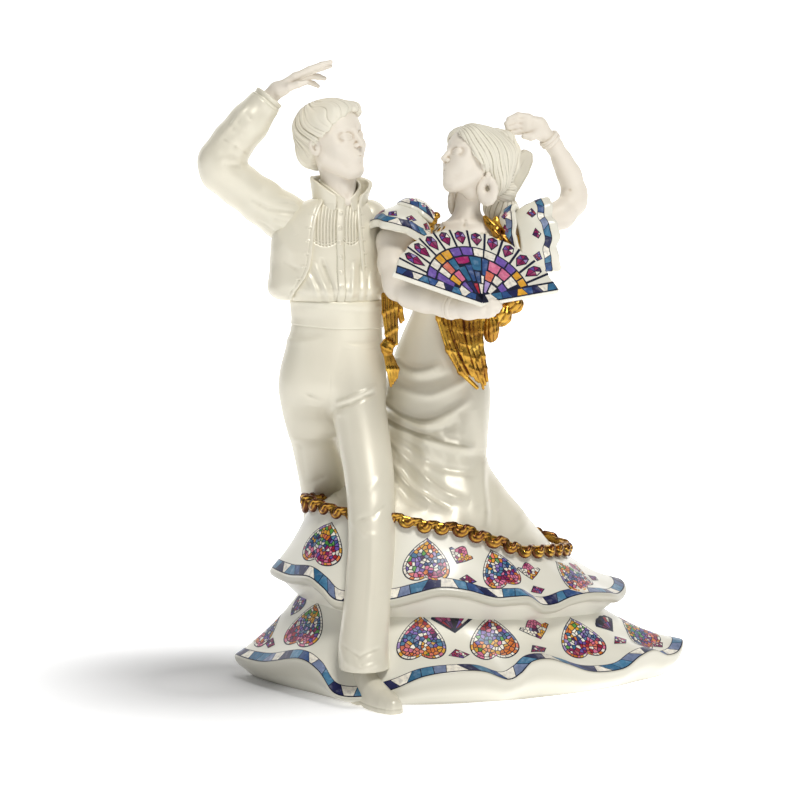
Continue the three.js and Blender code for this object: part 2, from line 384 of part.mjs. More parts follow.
const mHandR = (g = 0) => join(
  limb([[-87, -12.7, 281.9, 4.8], [-82.4, -12, 286.4, 4.2, 4.4], [-77, -11.4, 290, 3.4, 5.2], [-71.6, -10.8, 292.4, 2.8, 5]], g, 10, V(0, 1, 0)),
  limb([[-74, -14, 291.6, 1.9], [-66, -13.6, 295, 1.7], [-58.6, -12.6, 297.4, 1.3]], g, 7),
  limb([[-74, -11.4, 291.6, 1.9], [-66.4, -10.8, 294, 1.7], [-60, -10.2, 295.4, 1.3]], g, 7),
  limb([[-74, -8.8, 291.2, 1.9], [-67, -8.2, 292.2, 1.7], [-61.4, -7.8, 292.2, 1.3]], g, 7),
  limb([[-74.4, -6.6, 290.2, 1.7], [-68.4, -5.6, 289.8, 1.5], [-64, -5.4, 288.6, 1.1]], g, 7),
  limb([[-81, -16, 285.4, 2], [-75.6, -17.4, 286.4, 1.9], [-69.6, -17, 287.4, 1.3]], g, 7),
);
// Left arm passes behind the woman's back and rests on her side.
const mSleeveL = (g = 0) => limb([[-41, 2, 222.5, 10], [-36, 11, 216, 9.4], [-31, 21, 207, 8.8], [-24, 27.4, 197.6, 8.6], [-12, 29.4, 190, 8.2], [2, 28, 185.4, 7]], g, 14, V(0, 1, 0));
const mCuffL = (g = 0) => limb([[2.6, 27.9, 185.2, 6.4], [5.4, 27.4, 184.6, 6.3]], g, 14, V(0, 1, 0));
const mHandL = (g = 0) => join(
  limb([[5.9, 27.3, 184.5, 4.4], [11, 25.6, 183.6, 4.4, 3.2], [16, 23, 182.8, 4.8, 2.8], [20, 19.6, 182.2, 4.4, 2.5]], g, 10, V(0, 0, 1)),
  ...[3.2, 1.1, -1.1, -3.2].map((dz, i) => limb([[18, 21, 182.2 + dz, 1.7], [22.6, 17, 181.8 + dz * 1.1, 1.6], [25 - Math.abs(i - 1) * 0.7, 12, 181.2 + dz * 1.15, 1.2]], g, 7)),
);
const M_SASH = [[171.8, -55.6, -9, 22.6, 15.8, 4], [176, -55.4, -9, 22.4, 15.7, 5], [180, -55.6, -8.9, 22.5, 15.7, 8], [184.1, -55.8, -8.8, 22.3, 15.4, 10]];
const mSash = (g = 0) => upright(M_SASH, g, 24);
const mTrousers = (g = 0) => join(
  upright([[171.5, -55.8, -9, 21.6, 15, 4], [163, -56.6, -9, 23, 16.2, 3], [152, -57.2, -9.2, 24.6, 17.4, 0], [142, -57.4, -9.6, 25, 17.4, 0], [134, -57.4, -10, 24.4, 16.2, 0]], g, 22),
);
const M_LEG_FRONT = [[146, -46, -14, 13.6, 15, 0], [134, -45.2, -18.4, 13.2, 14.2], [118, -42.4, -25.6, 12.6, 13.4], [103, -40, -33.8, 11.8, 12.4], [90, -39, -41, 11.2, 11.8], [76, -38.6, -47.6, 11, 11.4], [60, -39.4, -54, 11, 11.2], [42, -40.8, -60.6, 11.2, 11.2], [27, -42.2, -65.8, 11.8, 11.6], [18.6, -41.9, -68.2, 11.9, 12.2]];
const M_LEG_REAR = [[146, -69, -6.6, 12.6, 14.6, 0], [134, -69.6, -3.6, 12, 13.4], [118, -67.8, 1.6, 11.4, 12.4], [103, -64.2, 7.2, 12, 11.8], [88, -62.2, 14.2, 11.8, 11], [70, -61.4, 22.2, 11.4, 10.4], [50, -62.2, 29.6, 10.5, 10], [30, -63.6, 35.8, 10, 10], [15, -64.6, 39, 10.2, 10.8]];
const mLegFront = (g = 0) => upright(M_LEG_FRONT, g, 16);
const mLegRear = (g = 0) => upright(M_LEG_REAR, g, 16);
const shoe = (heel, toe, h, g = 0) => {
  const a = V(...heel), b = V(...toe), d = b.clone().sub(a), s = d.clone().normalize().cross(V(0, 0, 1));
  const row = (k, w, top) => ({ c: a.clone().addScaledVector(d, k).setZ((top + 0.2) / 2 - g * 0), u: s, v: V(0, 0, 1), a: w + g, b: (top - 0.2) / 2 + g, n: 2.8 });
  return skin([row(-0.02, 3.4, h), row(0.08, 5.6, h * 1.02), row(0.3, 6.4, h), row(0.5, 6.4, h * 0.74), row(0.7, 6.6, h * 0.56), row(0.88, 5.6, h * 0.44), row(1, 2.8, h * 0.3)], 14);
};
const mShoeFront = (g = 0) => shoe([-46, -61, 0], [-26.8, -90, 0], 17.8, g);
const mShoeRear = (g = 0) => shoe([-58.6, 37, 0], [-85, 49, 0], 14.4, g);

// ---------------------------------------------------------------- cutting each piece clear of its neighbours
const cut = cutShape;
function biggest(s) {
  const parts = s.decompose().sort((a, b) => b.volume() - a.volume());
  return parts[0];
}
const G = GAP;
const plate = basePlate();
const legCutters = [mLegFront(G), mShoeFront(G), mLegRear(G), mShoeRear(G)];
const pieces = {
  base_plate: cut(plate, mShoeFront(G), mShoeRear(G)),
  lower_flounce: cut(lowerFlounce(), ...legCutters),
  upper_flounce: cut(upperFlounce(), trimRing(2 * G), ...legCutters),
  gold_ruffle_trim: cut(trimRing(), ...legCutters),
  gown_skirt: cut(gown(), trimRing(2 * G), ...legCutters, mTrousers(G), fringeL(G), fringeR(G)),
  gown_bodice: cut(wBodice(), wArmR(G), wArmL(G), fringeR(G), fringeL(G), mHandL(G)),
  shawl_wrap: cut(shawlBack(), wBodice(G), wArmR(G), wArmL(G), mJacketOuter(G), mSleeveL(G), mHandL(G), fringeR(G), fringeTail(G), wNeck(G), wBun(G), limb([[6, -34, 230, 14, 13], [6, -34, 182, 14, 12]], 0, 10, V(1, 0, 0))),
  shawl_fringe_right: cut(fringeL(), mLegFront(G), mTrousers(G), mSash(G), wArmR(G), mShirt(G), mJacketOuter(G)),
  shawl_fringe_front: cut(fringeR(), wArmR(G), wHandR(G), wBraceletR(G), fan(G)),
  shawl_fringe_tail: cut(fringeTail(), fringeR(G), wBodice(G), wHandR(G), upright(GOWN.slice(6), G, 20)),
  woman_neck: cut(wNeck(), shawlBack(G)),
  woman_head: cut(wHead(), wNeck(G)),
  woman_hair: cut(wHair(), wHead(G), wNeck(G)),
  hair_bun: cut(wBun(), wHead(G), wNeck(G), wHair(G)),
  hair_comb: cut(wComb(), wHead(G), wBun(G), wHair(G)),
  earring_left: cut(earringNear(), wHead(G), wHair(G), wBun(G)),
  earring_right: cut(earringFar(), wHead(G), wNeck(G)),
  woman_right_arm: wArmR(),
  bracelet_right: cut(wBraceletR(), wArmR(G)),
  woman_right_hand: cut(wHandR(), wBraceletR(G), fan(G)),
  woman_left_arm: cut(wArmL()),
  bracelet_left: cut(wBraceletL(), wArmL(G)),
  woman_left_hand: cut(wHandL(), wBraceletL(G)),
  fan: fan(),
};
const bodyCut = [wBodice(G), shawlBack(G)];
// the inner frill sits on top of the outer one
const capR2 = limb([[-20.6, -10.6, 227.3, 7.6], [-22.1, -11.4, 222.9, 12.9], [-23.8, -12.4, 218.3, 15.6], [-24.8, -13, 215, 16.6]], 0, 24);
pieces.sleeve_frill_right_inner = cut(frillR1(), capR2, wArmR(G), shawlBack(G), wBodice(G), wNeck(G), mJacketOuter(G), mSleeveL(G), mCollar());
pieces.sleeve_frill_right_outer = cut(frillR2(), wArmR(G), shawlBack(G), wBodice(G), mJacketOuter(G), mSleeveL(G));
pieces.sleeve_frill_left_inner = cut(frillL1(), wArmL(G), shawlBack(G), wBodice(G), wBun(G));
pieces.sleeve_frill_left_outer = cut(frillL2(), frill([24, -0.8, 218.8], [31.8, -1.8, 216.7], 9.3, 13.6, 2.8, 5, 0.8, 0.9, 1), wArmL(G), shawlBack(G), wBodice(G));
pieces.man_head = cut(mHead(), mNeck(G));
pieces.man_hair = cut(mHair(), mHead(G), mNeck(G));
pieces.man_neck = mNeck();
pieces.man_collar = cut(mCollar(), mNeck(G));
pieces.man_shirt = cut(mShirt(), mNeck(G), limb([[-54.4, -4, 230.2, 12.6], [-54.4, -4, 250, 13.4]], 0, 20));
pieces.man_jacket = cut(mJacketOuter(), mShirt(G), mOpening(), mNeck(G), mSash(G), wArmR(G), mCollar());
pieces.man_right_sleeve = cut(mSleeveR(), mJacketOuter(G));
pieces.man_right_cuff = cut(mCuffR(), mSleeveR(G));
pieces.man_right_hand = cut(mHandR(), mCuffR(G));
pieces.man_left_sleeve = cut(mSleeveL(), mJacketOuter(G), wBodice(G), wArmR(G));
pieces.man_left_cuff = cut(mCuffL(), mSleeveL(G));
pieces.man_left_hand = cut(mHandL(), mCuffL(G), wBodice(G));
pieces.man_sash = cut(mSash());
pieces.man_trousers = cut(mTrousers(), mLegFront(G), mLegRear(G), mSash(G));
pieces.man_front_leg = cut(mLegFront(), mShoeFront(G));
pieces.man_rear_leg = cut(mLegRear(), mShoeRear(G), mLegFront(G));
pieces.man_front_shoe = mShoeFront();
pieces.man_rear_shoe = mShoeRear();

// ---------------------------------------------------------------- glazes
const glaze = (color, roughness, metalness = 0) => new THREE.MeshStandardMaterial({ color, roughness, metalness });
const PEARL = glaze(0xe4e0cf, 0.3), BISQUE = glaze(0xdcd2c9, 0.6), GOLD = glaze(0xb8862b, 0.3, 0.9), WHITE = glaze(0xf0ece2, 0.2), RAW = glaze(0xcfc9bb, 0.8);
const finish = {
  base_plate: RAW, lower_flounce: WHITE, upper_flounce: WHITE, gold_ruffle_trim: GOLD, shawl_fringe_right: GOLD, shawl_fringe_front: GOLD, shawl_fringe_tail: GOLD,
  woman_neck: BISQUE, woman_head: BISQUE, hair_bun: BISQUE, hair_comb: PEARL, earring_left: BISQUE, earring_right: BISQUE, woman_right_arm: BISQUE, bracelet_right: BISQUE,
  woman_right_hand: BISQUE, woman_left_arm: BISQUE, bracelet_left: BISQUE, woman_left_hand: BISQUE, fan: WHITE,
  sleeve_frill_right_inner: WHITE, sleeve_frill_right_outer: WHITE, sleeve_frill_left_inner: WHITE, sleeve_frill_left_outer: WHITE,
  man_head: BISQUE, man_hair: BISQUE, woman_hair: BISQUE, man_neck: BISQUE, man_right_hand: BISQUE, man_left_hand: BISQUE,
};

const figurine = new THREE.Group();
figurine.name = "dancing_couple";
for (const [name, made] of Object.entries(pieces)) {
  const mesh = new THREE.Mesh(geometryOf(biggest(made)), finish[name] || PEARL);
  mesh.name = name;
  figurine.add(mesh);
}

export default figurine;
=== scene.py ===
# The looks of the dancing couple: every porcelain piece is sculpted here from distance fields and swept surfaces.
import bpy
import math
import numpy as np
from mathutils import Vector, Matrix


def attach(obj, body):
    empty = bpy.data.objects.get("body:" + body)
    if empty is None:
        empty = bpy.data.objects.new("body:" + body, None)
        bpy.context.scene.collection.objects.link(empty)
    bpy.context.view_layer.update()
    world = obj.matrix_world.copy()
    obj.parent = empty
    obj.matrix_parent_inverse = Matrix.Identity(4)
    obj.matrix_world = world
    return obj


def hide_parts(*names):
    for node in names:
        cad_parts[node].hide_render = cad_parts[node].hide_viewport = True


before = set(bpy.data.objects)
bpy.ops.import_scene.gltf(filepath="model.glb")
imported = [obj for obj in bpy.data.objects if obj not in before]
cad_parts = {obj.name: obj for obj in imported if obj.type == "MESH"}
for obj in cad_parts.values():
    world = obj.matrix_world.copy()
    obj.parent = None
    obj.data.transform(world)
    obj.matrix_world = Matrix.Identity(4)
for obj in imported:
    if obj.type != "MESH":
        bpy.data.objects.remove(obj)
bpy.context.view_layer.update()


MM = 0.001
F = np.float32
SC = 1.0  # voxel scale

# ------------------------------------------------------------------ distance-field toolbox (millimetres)


def vec(p):
    return np.array(p, F)


def smin(a, b, k):
    h = np.maximum(k - np.abs(a - b), 0) / k
    return np.minimum(a, b) - h * h * k * F(0.25)


def smax(a, b, k):
    return -smin(-a, -b, k)


def move(P, M):
    """The points in the frame of M, a 4x4 rigid placing."""
    R = M[:3, :3].astype(F)
    t = M[:3, 3].astype(F)
    x, y, z = P[0] - t[0], P[1] - t[1], P[2] - t[2]
    return (R[0, 0] * x + R[1, 0] * y + R[2, 0] * z, R[0, 1] * x + R[1, 1] * y + R[2, 1] * z, R[0, 2] * x + R[1, 2] * y + R[2, 2] * z)


def rot(axis, deg):
    a = math.radians(deg)
    c, s = math.cos(a), math.sin(a)
    M = np.eye(4)
    i, j = {"x": (1, 2), "y": (2, 0), "z": (0, 1)}[axis]
    M[i, i] = M[j, j] = c
    M[i, j], M[j, i] = -s, s
    return M


def shift(p):
    M = np.eye(4)
    M[:3, 3] = p
    return M


def ell(P, c, r, turn=None):
    if turn is not None:
        Q = move(P, shift(c) @ turn)
    else:
        Q = (P[0] - F(c[0]), P[1] - F(c[1]), P[2] - F(c[2]))
    a, b, d = F(r[0]), F(r[1]), F(r[2])
    k0 = np.sqrt((Q[0] / a) ** 2 + (Q[1] / b) ** 2 + (Q[2] / d) ** 2) + F(1e-6)
    k1 = np.sqrt((Q[0] / (a * a)) ** 2 + (Q[1] / (b * b)) ** 2 + (Q[2] / (d * d)) ** 2) + F(1e-6)
    return k0 * (k0 - 1) / k1


def cap(P, a, b, ra, rb=None):
    rb = ra if rb is None else rb
    bx, by, bz = (F(b[i] - a[i]) for i in range(3))
    x, y, z = P[0] - F(a[0]), P[1] - F(a[1]), P[2] - F(a[2])
    t = np.clip((x * bx + y * by + z * bz) / (bx * bx + by * by + bz * bz), 0, 1)
    return np.sqrt((x - t * bx) ** 2 + (y - t * by) ** 2 + (z - t * bz) ** 2) - (F(ra) + t * F(rb - ra))


def chain(P, pts, k=0.0):
    d = None
    for a, b in zip(pts[:-1], pts[1:]):
        e = cap(P, a[:3], b[:3], a[3], b[3])
        d = e if d is None else (np.minimum(d, e) if k <= 0 else smin(d, e, F(k)))
    return d


def line_dist(P, pts):
    """Distance to a broken line, and how far along it (0 to 1) the nearest point is."""
    best, at = None, None
    n = len(pts) - 1
    for i in range(n):
        a, b = pts[i], pts[i + 1]
        bx, by, bz = (F(b[j] - a[j]) for j in range(3))
        x, y, z = P[0] - F(a[0]), P[1] - F(a[1]), P[2] - F(a[2])
        t = np.clip((x * bx + y * by + z * bz) / (bx * bx + by * by + bz * bz), 0, 1)
        d = np.sqrt((x - t * bx) ** 2 + (y - t * by) ** 2 + (z - t * bz) ** 2)
        if best is None:
            best, at = d, (t + i) / n
        else:
            m = d < best
            best = np.where(m, d, best)
            at = np.where(m, (t + i) / n, at)
    return best, at


def fold(P, pts, r, h, taper=True):
    """A soft cloth fold along a line: h is its height (negative for a hollow), r its half-width."""
    d, t = line_dist(P, pts)
    w = np.exp(-((d / F(r)) ** 2))
    if taper:
        w = w * np.clip(4 * t * (1 - t) * 1.6, 0, 1)
    return F(h) * w


def folds(P, rows):
    s = 0
    for r in rows:
        s = s + fold(P, *r)
    return s


def rows_at(z, rows, smooth=True):
    """Columns of a section table as functions of z, drawn through with a Catmull-Rom curve."""
    r = sorted([list(q) + [0] * (7 - len(q)) for q in rows])
    r = np.array(r, float)
    n = len(r)
    zz, cols = [], []
    for i in range(n - 1):
        p0, p1, p2, p3 = r[max(i - 1, 0)], r[i], r[i + 1], r[min(i + 2, n - 1)]
        for t in np.linspace(0, 1, 12, endpoint=i == n - 2):
            zz.append(p1[0] + (p2[0] - p1[0]) * t)
            m1 = (p2 - p0) / max(p2[0] - p0[0], 1e-6) * (p2[0] - p1[0])
            m2 = (p3 - p1) / max(p3[0] - p1[0], 1e-6) * (p2[0] - p1[0])
            h = (2 * t**3 - 3 * t * t + 1) * p1 + (t**3 - 2 * t * t + t) * m1 + (-2 * t**3 + 3 * t * t) * p2 + (t**3 - t * t) * m2
            cols.append(h)
    cols = np.array(cols)
    return [np.interp(z, zz, cols[:, j]).astype(F) for j in range(1, 6)]


def column(P, rows, edge=1.5, caps=(True, True)):
    """Upright body over a table of [z, x, y, half-width, half-depth, yaw]; returns distance, local across, local depth and angle."""
    z0, z1 = min(r[0] for r in rows), max(r[0] for r in rows)
    z = P[2]
    cx, cy, a, b, yaw = rows_at(np.clip(z, z0, z1), rows)
    x, y = P[0] - cx, P[1] - cy
    c, s = np.cos(np.radians(yaw)), np.sin(np.radians(yaw))
    u, v = c * x + s * y, -s * x + c * y
    k0 = np.sqrt((u / a) ** 2 + (v / b) ** 2) + F(1e-6)
    k1 = np.sqrt((u / (a * a)) ** 2 + (v / (b * b)) ** 2) + F(1e-6)
    d = k0 * (k0 - 1) / k1
    if caps[0]:
        d = smax(d, F(z0) - z, F(edge))
    if caps[1]:
        d = smax(d, z - F(z1), F(edge))
    return d, u, v, np.arctan2(v / b, u / a)


def ripple(P, seed, scale):
    """A cheap smooth noise in -1..1."""
    rng = np.random.RandomState(seed)
    s = 0
    for i in range(5):
        k = rng.normal(size=3)
        k = k / np.linalg.norm(k) * (0.7 + 0.9 * rng.rand()) / scale
        s = s + np.sin(F(k[0]) * P[0] + F(k[1]) * P[1] + F(k[2]) * P[2] + F(rng.rand() * 6.28))
    return s / F(3.2)


# ------------------------------------------------------------------ mesher: surface nets over a narrow band


def evaluate(f, X, Y, Z, step=350000):
    out = np.empty(X.shape, F)
    for i in range(0, len(X), step):
        out[i:i + step] = f((X[i:i + step], Y[i:i + step], Z[i:i + step]))
    return out


def sculpt(f, lo, hi, h, slack=1.2, polish=2):
    """Vertices (mm) and quads of the surface f = 0 inside the box."""
    h = h * SC
    B = 6
    lo, hi = np.array(lo, float) - 2 * h, np.array(hi, float) + 2 * h
    nb = np.ceil((hi - lo) / (h * B)).astype(int)
    cx = [lo[i] + (np.arange(nb[i]) + 0.5) * B * h - 0.5 * h for i in range(3)]
    G = np.meshgrid(*cx, indexing="ij")
    dc = evaluate(f, *[g.ravel().astype(F) for g in G]).reshape(nb)
    D = np.repeat(np.repeat(np.repeat(np.where(dc < 0, F(-9), F(9)), B, 0), B, 1), B, 2)
    act = np.argwhere(np.abs(dc) < B * h * 0.9 + slack)
    if len(act) == 0:
        raise RuntimeError("empty field")
    o = np.arange(B)
    I = (act[:, 0, None] * B + o[None, :])[:, :, None, None] + np.zeros((1, B, B, B), int)
    J = (act[:, 1, None] * B + o[None, :])[:, None, :, None] + np.zeros((1, B, B, B), int)
    K = (act[:, 2, None] * B + o[None, :])[:, None, None, :] + np.zeros((1, B, B, B), int)
    I, J, K = I.ravel(), J.ravel(), K.ravel()
    D[I, J, K] = evaluate(f, (lo[0] + I * h).astype(F), (lo[1] + J * h).astype(F), (lo[2] + K * h).astype(F))
    inside = D < 0
    cnt = np.zeros(np.array(D.shape) - 1, np.int8)
    corners = [(a, b, c) for a in (0, 1) for b in (0, 1) for c in (0, 1)]
    n = D.shape
    for a, b, c in corners:
        cnt += inside[a:n[0] - 1 + a, b:n[1] - 1 + b, c:n[2] - 1 + c]
    cells = np.argwhere((cnt > 0) & (cnt < 8))
    ids = np.full(cnt.shape, -1, np.int32)
    ids[cells[:, 0], cells[:, 1], cells[:, 2]] = np.arange(len(cells))
    val = {c: D[cells[:, 0] + c[0], cells[:, 1] + c[1], cells[:, 2] + c[2]] for c in corners}
    acc, num = np.zeros((len(cells), 3)), np.zeros(len(cells))
    for c in corners:
        for ax in range(3):
            if c[ax]:
                continue
            e = list(c)
            e[ax] = 1
            a, b = val[c], val[tuple(e)]
            m = (a < 0) != (b < 0)
            t = np.where(m, a / np.where(m, a - b, 1), 0)
            p = np.zeros((len(cells), 3)) + np.array(c)
            p[:, ax] = t
            acc += p * m[:, None]
            num += m
    V = (cells + acc / num[:, None]) * h + lo
    quads = []
    for ax in range(3):
        sl = [slice(1, n[i] - 1) for i in range(3)]
        sl2 = list(sl)
        sl[ax] = slice(0, n[ax] - 1)
        sl2[ax] = slice(1, n[ax])
        A, Bq = inside[tuple(sl)], inside[tuple(sl2)]
        e = np.argwhere(A != Bq)
        off = np.array([0 if i == ax else 1 for i in range(3)])
        g = e + off
        flip = A[e[:, 0], e[:, 1], e[:, 2]]
        u, v = [(1, 2), (2, 0), (0, 1)][ax]
        du, dv = np.eye(3, dtype=int)[u], np.eye(3, dtype=int)[v]
        q = [g - du - dv, g - dv, g, g - du]
        q = np.stack([ids[w[:, 0], w[:, 1], w[:, 2]] for w in q], 1)
        q[~flip] = q[~flip][:, ::-1]
        quads.append(q)
    Qd = np.concatenate(quads)
    Qd = Qd[(Qd >= 0).all(1)]
    ea = np.concatenate([Qd[:, i] for i in range(4)] + [Qd[:, (i + 1) % 4] for i in range(4)])
    eb = np.concatenate([Qd[:, (i + 1) % 4] for i in range(4)] + [Qd[:, i] for i in range(4)])
    deg = np.maximum(np.bincount(ea, minlength=len(V)), 1)
    for _ in range(polish):
        avg = np.stack([np.bincount(ea, V[eb, i], minlength=len(V)) for i in range(3)], 1) / deg[:, None]
        V = V + 0.6 * (avg - V)
        e = 0.35 * h
        base = evaluate(f, *V.T.astype(F))
        g = np.stack([(evaluate(f, *(V + e * np.eye(3)[i]).T.astype(F)) - base) / e for i in range(3)], 1)
        g2 = np.maximum((g * g).sum(1), 0.15)
        V = V - np.clip(base / g2, -h, h)[:, None] * g
    return V, Qd


# ------------------------------------------------------------------ Blender objects
PIECES = []


def mesh_object(name, V, quads, mat, smooth=True, cols=None, uv=None, mats=None, mat_index=None):
    me = bpy.data.meshes.new(name)
    V = np.asarray(V, float)
    sizes = None
    if isinstance(quads, np.ndarray):
        flat = quads.ravel()
        sizes = np.full(len(quads), quads.shape[1], np.int32)
    else:
        flat = np.array([i for q in quads for i in q], np.int32)
        sizes = np.array([len(q) for q in quads], np.int32)
    me.vertices.add(len(V))
    me.vertices.foreach_set("co", (V * MM).astype(F).ravel())
    me.loops.add(len(flat))
    me.loops.foreach_set("vertex_index", flat.astype(np.int32))
    me.polygons.add(len(sizes))
    me.polygons.foreach_set("loop_start", np.concatenate([[0], np.cumsum(sizes)[:-1]]).astype(np.int32))
    me.polygons.foreach_set("loop_total", sizes)
    me.polygons.foreach_set("use_smooth", np.full(len(sizes), smooth))
    if mat_index is not None:
        me.polygons.foreach_set("material_index", np.asarray(mat_index, np.int32))
    me.update(calc_edges=True)
    if cols is not None:
        att = me.color_attributes.new("tint", "FLOAT_COLOR", "POINT")
        c = np.ones((len(V), 4), F)
        c[:, :cols.shape[1]] = cols
        att.data.foreach_set("color", c.ravel())
    ob = bpy.data.objects.new(name, me)
    bpy.context.scene.collection.objects.link(ob)
    for m in (mats or [mat]):
        me.materials.append(m)
    return ob


def piece(ob, slot, *nodes):
    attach(ob, "root")
    if nodes:
        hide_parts(*nodes)
    PIECES.append(ob)
    return ob


def carve(name, f, lo, hi, h, mat, slot, *nodes, **kw):
    V, Q = sculpt(f, lo, hi, h, **kw)
    return piece(mesh_object(name, V, Q, mat), slot, *nodes)


# ------------------------------------------------------------------ materials


def nodes_of(m):
    m.use_nodes = True
    nt = m.node_tree
    for n in list(nt.nodes):
        if n.type not in ("OUTPUT_MATERIAL", "BSDF_PRINCIPLED"):
            nt.nodes.remove(n)
    return nt, nt.nodes["Principled BSDF"]


def node(nt, kind, **kw):
    n = nt.nodes.new(kind)
    for k, v in kw.items():
        if k in n.inputs:
            n.inputs[k].default_value = v
        else:
            setattr(n, k, v)
    return n


def mixer(nt, fac, a, b, mode="MIX"):
    n = nt.nodes.new("ShaderNodeMix")
    n.data_type = "RGBA"
    n.blend_type = mode
    for sock, v in ((n.inputs[0], fac), (n.inputs[6], a), (n.inputs[7], b)):
        if isinstance(v, bpy.types.NodeSocket):
            nt.links.new(v, sock)
        else:
            sock.default_value = v if not isinstance(v, tuple) else (*v, 1.0)[:4]
    return n.outputs[2]


def ramp(nt, src, stops):
    n = nt.nodes.new("ShaderNodeValToRGB")
    nt.links.new(src, n.inputs[0])
    e = n.color_ramp.elements
    while len(e) < len(stops):
        e.new(0.5)
    for el, (p, c) in zip(e, stops):
        el.position = p
        el.color = (*c, 1.0)[:4] if isinstance(c, tuple) else (c, c, c, 1.0)
    return n.outputs[0]


def noise(nt, scale, detail=4.0, rough=0.55):
    co = nt.nodes.new("ShaderNodeNewGeometry").outputs["Position"]
    n = node(nt, "ShaderNodeTexNoise", Scale=scale, Detail=detail, Roughness=rough)
    nt.links.new(co, n.inputs["Vector"])
    return n.outputs["Fac"]


def bump(nt, bsdf, src, strength, dist=0.0004):
    n = node(nt, "ShaderNodeBump", Strength=strength, Distance=dist)
    nt.links.new(src, n.inputs["Height"])
    nt.links.new(n.outputs["Normal"], bsdf.inputs["Normal"])


def cavity(nt):
    return node(nt, "ShaderNodeVertexColor", layer_name="tint").outputs["Color"]


def ceramic(name, base, warm, deep, rough, coat, coat_rough=0.06, grain=0.08, grain_scale=2600.0, bands=(0.24, 0.5, 0.78), lustre=0.0, drift_scale=26.0, rub=(0.85, 1.2)):
    """Fired clay: colour drifts slightly over the body, and the hollows are painted darker from the tint: painted
    shade, partly also glaze pooled in them.
    """
    m = bpy.data.materials.new(name)
    nt, b = nodes_of(m)
    drift = ramp(nt, noise(nt, drift_scale, 3.0), [(0.35, base), (0.68, warm)])
    # painted shade: tint values below 0.5 (hollows) darken the colour towards the deep colour, raised parts keep it
    cav = ramp(nt, cavity(nt), [(bands[0], deep), (bands[1], (1.0, 1.0, 1.0)), (bands[2], (1.0, 1.0, 1.0))])
    nt.links.new(mixer(nt, 1.0, drift, cav, "MULTIPLY"), b.inputs["Base Color"])
    r = ramp(nt, noise(nt, 120.0, 3.0), [(0.3, rough * rub[0]), (0.7, rough * rub[1])])
    nt.links.new(r, b.inputs["Roughness"])
    b.inputs["Coat Weight"].default_value = coat
    b.inputs["Coat Roughness"].default_value = coat_rough
    b.inputs["IOR"].default_value = 1.5
    b.inputs["Metallic"].default_value = lustre
    if lustre:
        b.inputs["Coat Tint"].default_value = (1.0, 0.96, 0.86, 1.0)
    bump(nt, b, noise(nt, grain_scale, 2.0), grain, 0.00006)
    return m


# each material's third colour is its painted shade in the hollows
PEARL = ceramic("pearl_glaze", (0.735, 0.71, 0.61), (0.765, 0.73, 0.625), (0.55, 0.53, 0.47), 0.36, 0.32, 0.26, 0.10, 1500.0, lustre=0.10)
WHITE = ceramic("decal_white_glaze", (0.775, 0.755, 0.66), (0.79, 0.765, 0.665), (0.60, 0.585, 0.54), 0.32, 0.36, 0.14, 0.05, 1200.0, drift_scale=14.0, rub=(0.95, 1.06))
SKIN = ceramic("bisque_skin", (0.775, 0.715, 0.62), (0.79, 0.725, 0.63), (0.66, 0.58, 0.49), 0.50, 0.08, 0.4, 0.10, 3000.0)
HAIR = ceramic("bisque_hair", (0.77, 0.735, 0.62), (0.79, 0.745, 0.635), (0.47, 0.43, 0.36), 0.54, 0.06, 0.4, 0.12, 2600.0)
RAW = ceramic("unglazed_foot", (0.66, 0.63, 0.56), (0.60, 0.56, 0.49), (0.5, 0.47, 0.42), 0.85, 0.0, 0.4, 0.5, 1800.0)


def gold_material():
    m = bpy.data.materials.new("gold_lustre")
    nt, b = nodes_of(m)
    wear = noise(nt, 420.0, 5.0, 0.65)
    tone = ramp(nt, noise(nt, 90.0, 4.0), [(0.34, (0.34, 0.16, 0.03)), (0.55, (0.60, 0.34, 0.055)), (0.76, (0.82, 0.55, 0.11))])
    add = nt.nodes.new("ShaderNodeMath")
    add.operation = "MULTIPLY_ADD"
    add.inputs[1].default_value = 0.30
    nt.links.new(wear, add.inputs[0])
    sep = nt.nodes.new("ShaderNodeSeparateColor")
    nt.links.new(cavity(nt), sep.inputs[0])
    nt.links.new(sep.outputs[0], add.inputs[2])
    mask = ramp(nt, add.outputs[0], [(0.42, 0.0), (0.60, 1.0)])
    nt.links.new(mixer(nt, mask, (0.115, 0.036, 0.012), tone), b.inputs["Base Color"])
    nt.links.new(ramp(nt, mask, [(0.0, 0.82), (1.0, 1.0)]), b.inputs["Metallic"])
    nt.links.new(ramp(nt, wear, [(0.3, 0.20), (0.7, 0.38)]), b.inputs["Roughness"])
    bump(nt, b, wear, 0.35, 0.00012)
    return m


GOLD = gold_material()


def enamel_material():
    """Decal enamels: the vertex tint is the colour of the cell, mottled like a washed stain."""
    m = bpy.data.materials.new("mosaic_enamel")
    nt, b = nodes_of(m)
    wash = ramp(nt, noise(nt, 520.0, 5.0, 0.6), [(0.28, (0.62, 0.62, 0.66)), (0.55, (1.0, 1.0, 1.0)), (0.78, (1.0, 1.0, 1.0))])
    col = mixer(nt, 1.0, cavity(nt), wash, "MULTIPLY")
    pale = ramp(nt, noise(nt, 300.0, 3.0), [(0.52, (0.0, 0.0, 0.0)), (0.80, (0.16, 0.16, 0.17))])
    nt.links.new(mixer(nt, 1.0, col, pale, "ADD"), b.inputs["Base Color"])
    b.inputs["Roughness"].default_value = 0.34
    b.inputs["Specular IOR Level"].default_value = 0.32
    b.inputs["Coat Weight"].default_value = 0.12
    b.inputs["Coat Roughness"].default_value = 0.08
    bump(nt, b, noise(nt, 900.0, 3.0), 0.12, 0.00005)
    return m


